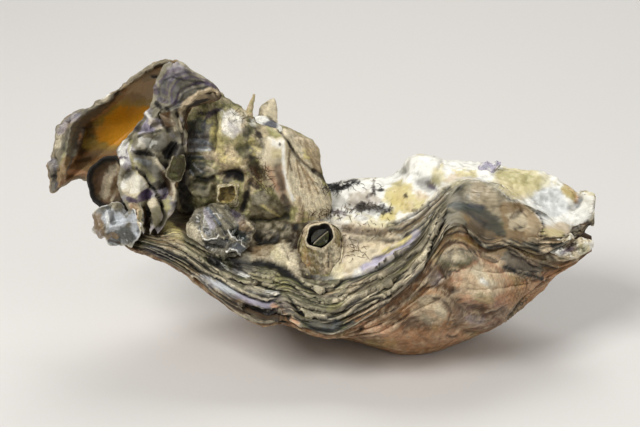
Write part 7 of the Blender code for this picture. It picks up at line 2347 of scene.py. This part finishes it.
def build_threads(ground):
    """Tufts of fine dark threads that lie over the deck and the knob."""
    draw = np.random.default_rng(7)
    trees = []
    for thing in ground:
        mesh = bmesh.new()
        mesh.from_mesh(thing.data)
        trees.append(BVHTree.FromBMesh(mesh))
        mesh.free()
    viewer = (VIEW_TARGET + VIEW_BACK * VIEW_DISTANCE + FRAME_SHIFT) * MM
    points, faces, tint = [], [], []

    def surface(a, b):
        """Point and normal of the ground behind a place on the card."""
        aim = (VIEW_TARGET + VIEW_RIGHT * a + VIEW_UP * b + FRAME_SHIFT) * MM
        ray = Vector(aim - viewer).normalized()
        found = [tree.ray_cast(Vector(viewer), ray) for tree in trees]
        found = [hit for hit in found if hit[0] is not None]
        if not found:
            return None
        hit = min(found, key=lambda item: item[3])
        return np.array(hit[0]) / MM - FRAME_SHIFT, np.array(hit[1])

    for (across, up), spread, count, length, name in TUFTS:
        for _ in range(count):
            a, b = draw.normal((across, up), spread)
            heading = draw.uniform(0, 2 * math.pi)
            bend = draw.normal(0, 0.12)
            step = length * draw.uniform(0.5, 1.2) / THREAD_STEPS
            loft = draw.uniform(0.1, 0.9)
            spine = []
            for k in range(THREAD_STEPS + 1):
                hit = surface(a, b)
                if hit is None:
                    break
                arch = loft * math.sin(math.pi * k / THREAD_STEPS)
                spine.append(hit[0] + VIEW_BACK * (0.12 + arch))
                a, b = a + math.cos(heading) * step, b + math.sin(heading) * step
                heading += bend
            if len(spine) < 4:
                continue
            spine = np.array(spine)
            spine = relaxed(spine[:, None], False, 1)[:, 0]
            run = np.gradient(spine, axis=0)
            side = np.cross(run, VIEW_BACK)
            side /= np.maximum(np.linalg.norm(side, axis=-1, keepdims=True), 1e-9)
            first = len(points)
            for k, (spot, beside) in enumerate(zip(spine, side)):
                thin = measure("thread_radius") * (1 - 0.6 * k / len(spine))
                points += [spot - beside * thin, spot + beside * thin, spot + VIEW_BACK * thin * 1.5]
                tint += [tone(name)] * 3
            for k in range(len(spine) - 1):
                low, high = first + 3 * k, first + 3 * k + 3
                for m in range(3):
                    n = (m + 1) % 3
                    faces.append((low + m, low + n, high + n, high + m))
            faces.append((first + 2, first + 1, first))
            last = first + 3 * (len(spine) - 1)
            faces.append((last, last + 1, last + 2))
    points, tint = np.array(points), np.array(tint)
    flat = np.zeros(len(points))
    skin = shell_skin(tint, flat, flat, 0.3)
    thing = mesh_piece("threads", points, faces, skin)
    material = shell_material("thread_skin", mottle=0.8, contrast=0.3, lines=0.4, line_cut=0.1)
    thing.data.materials.append(material)
    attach(thing, "root")


# --- studio --------------------------------------------------------------------------------------


def build_studio():
    """Pale floor, soft lights and the viewer's camera."""
    scene = bpy.context.scene
    sizes = scene.oyster_sizes
    half = 1.6
    mesh = bmesh.new()
    bmesh.ops.create_grid(mesh, x_segments=8, y_segments=8, size=half)
    data = bpy.data.meshes.new("floor")
    mesh.to_mesh(data)
    mesh.free()
    floor = bpy.data.objects.new("floor", data)
    scene.collection.objects.link(floor)
    material = bpy.data.materials.new("pale_floor")
    material.use_nodes = True
    nodes, links = material.node_tree.nodes, material.node_tree.links
    shader = nodes["Principled BSDF"]
    shader.inputs["Roughness"].default_value = 0.6
    noise = nodes.new("ShaderNodeTexNoise")
    noise.inputs["Scale"].default_value = 9.0
    ramp = nodes.new("ShaderNodeValToRGB")
    ramp.color_ramp.elements[0].color = (0.66, 0.64, 0.61, 1)
    ramp.color_ramp.elements[1].color = (0.7, 0.68, 0.65, 1)
    links.new(noise.outputs["Fac"], ramp.inputs["Fac"])
    links.new(ramp.outputs["Color"], shader.inputs["Base Color"])
    data.materials.append(material)

    world = bpy.data.worlds.new("studio")
    world.use_nodes = True
    world.node_tree.nodes["Background"].inputs["Color"].default_value = (1, 0.98, 0.95, 1)
    world.node_tree.nodes["Background"].inputs["Strength"].default_value = sizes.surround
    scene.world = world
    middle = Vector((VIEW_TARGET + FRAME_SHIFT) * MM)
    for name, place, size, power in (
        ("key_light", (-0.42, -0.38, 0.62), 0.35, sizes.key_power),
        ("fill_light", (0.6, -0.5, 0.35), 0.6, sizes.fill_power),
        ("top_light", (0.15, 0.45, 0.7), 0.5, sizes.top_power),
    ):
        lamp = bpy.data.lights.new(name, "AREA")
        lamp.size = size
        lamp.energy = power
        thing = bpy.data.objects.new(name, lamp)
        thing.location = middle + Vector(place)
        thing.rotation_euler = (-Vector(place)).to_track_quat("-Z", "Y").to_euler()
        scene.collection.objects.link(thing)

    camera = bpy.data.cameras.new("viewer")
    camera.lens = 100
    camera.sensor_width = 36
    camera.clip_start = 0.01
    thing = bpy.data.objects.new("viewer", camera)
    thing.location = Vector((VIEW_TARGET + VIEW_BACK * VIEW_DISTANCE + FRAME_SHIFT) * MM)
    thing.rotation_euler = (math.pi / 2 - VIEW_TILT, 0, 0)
    scene.collection.objects.link(thing)
    scene.camera = thing
    scene.view_settings.view_transform = "Standard"


# --- add-on --------------------------------------------------------------------------------------


class OYSTER_OT_upper_valve(bpy.types.Operator):
    """Flat valve with its lamellae and bleached deck."""

    bl_idname = "oyster.upper_valve"
    bl_label = "Upper Valve"

    def execute(self, context):
        build_upper_valve()
        return {"FINISHED"}


class OYSTER_OT_lower_valve(bpy.types.Operator):
    """Cupped valve that the oyster rests on."""

    bl_idname = "oyster.lower_valve"
    bl_label = "Lower Valve"

    def execute(self, context):
        build_lower_valve()
        return {"FINISHED"}


class OYSTER_OT_open_valve(bpy.types.Operator):
    """Empty cupped valve at the left."""

    bl_idname = "oyster.open_valve"
    bl_label = "Open Valve"

    def execute(self, context):
        build_open_valve()
        return {"FINISHED"}


class OYSTER_OT_fluted_valve(bpy.types.Operator):
    """Frilled upright valve with its hood."""

    bl_idname = "oyster.fluted_valve"
    bl_label = "Fluted Valve"

    def execute(self, context):
        build_fluted_valve()
        return {"FINISHED"}


class OYSTER_OT_knob_oyster(bpy.types.Operator):
    """Upright oyster with its spike, stub and flake."""

    bl_idname = "oyster.knob_oyster"
    bl_label = "Knob Oyster"

    def execute(self, context):
        build_knob_oyster()
        build_knob_points()
        return {"FINISHED"}


class OYSTER_OT_young_shells(bpy.types.Operator):
    """Round, pearly, dark-rimmed and leaf shells."""

    bl_idname = "oyster.young_shells"
    bl_label = "Young Shells"

    def execute(self, context):
        build_round_shell()
        build_pearly_shell()
        build_dark_rimmed_valve()
        build_leaf_shell()
        return {"FINISHED"}


class OYSTER_OT_barnacles(bpy.types.Operator):
    """Large barnacle with its plates, and the small one."""

    bl_idname = "oyster.barnacles"
    bl_label = "Barnacles"

    def execute(self, context):
        build_large_barnacle()
        build_barnacle_plates()
        build_small_barnacle()
        return {"FINISHED"}


class OYSTER_OT_chips(bpy.types.Operator):
    """Loose flakes of shell."""

    bl_idname = "oyster.chips"
    bl_label = "Chips"

    def execute(self, context):
        build_chips()
        return {"FINISHED"}


class OYSTER_OT_threads(bpy.types.Operator):
    """Tufts of dark threads on the deck and the knob."""

    bl_idname = "oyster.threads"
    bl_label = "Threads"

    def execute(self, context):
        build_threads([bpy.data.objects[name] for name in ("upper_shell", "knob_shell")])
        return {"FINISHED"}


class OYSTER_OT_studio(bpy.types.Operator):
    """Floor, lights and camera."""

    bl_idname = "oyster.studio"
    bl_label = "Studio"

    def execute(self, context):
        build_studio()
        return {"FINISHED"}


OPERATORS = (
    OYSTER_OT_upper_valve,
    OYSTER_OT_lower_valve,
    OYSTER_OT_open_valve,
    OYSTER_OT_fluted_valve,
    OYSTER_OT_knob_oyster,
    OYSTER_OT_young_shells,
    OYSTER_OT_barnacles,
    OYSTER_OT_chips,
    OYSTER_OT_threads,
    OYSTER_OT_studio,
)


class OYSTER_PT_panel(bpy.types.Panel):
    """Lists the pieces, their sizes and their finishes."""

    bl_idname = "OYSTER_PT_panel"
    bl_label = "Pacific Oyster"
    bl_space_type = "VIEW_3D"
    bl_region_type = "UI"
    bl_category = "Oyster"

    def draw(self, context):
        for operator in OPERATORS:
            self.layout.operator(operator.bl_idname)
        scene = context.scene
        for settings in (scene.oyster_sizes, scene.oyster_finishes):
            column = self.layout.column(align=True)
            for key in type(settings).__annotations__:
                column.prop(settings, key)


CLASSES = (OysterSizes, OysterFinishes, *OPERATORS, OYSTER_PT_panel)


def register():
    for item in CLASSES:
        bpy.utils.register_class(item)
    bpy.types.Scene.oyster_sizes = PointerProperty(type=OysterSizes)
    bpy.types.Scene.oyster_finishes = PointerProperty(type=OysterFinishes)


def unregister():
    del bpy.types.Scene.oyster_finishes
    del bpy.types.Scene.oyster_sizes
    for item in reversed(CLASSES):
        bpy.utils.unregister_class(item)


def main():
    """Register the add-on and build every piece and the stage."""
    register()
    for operator in OPERATORS:
        getattr(bpy.ops.oyster, operator.bl_idname.split(".")[1])()


if __name__ == "__main__":
    main()
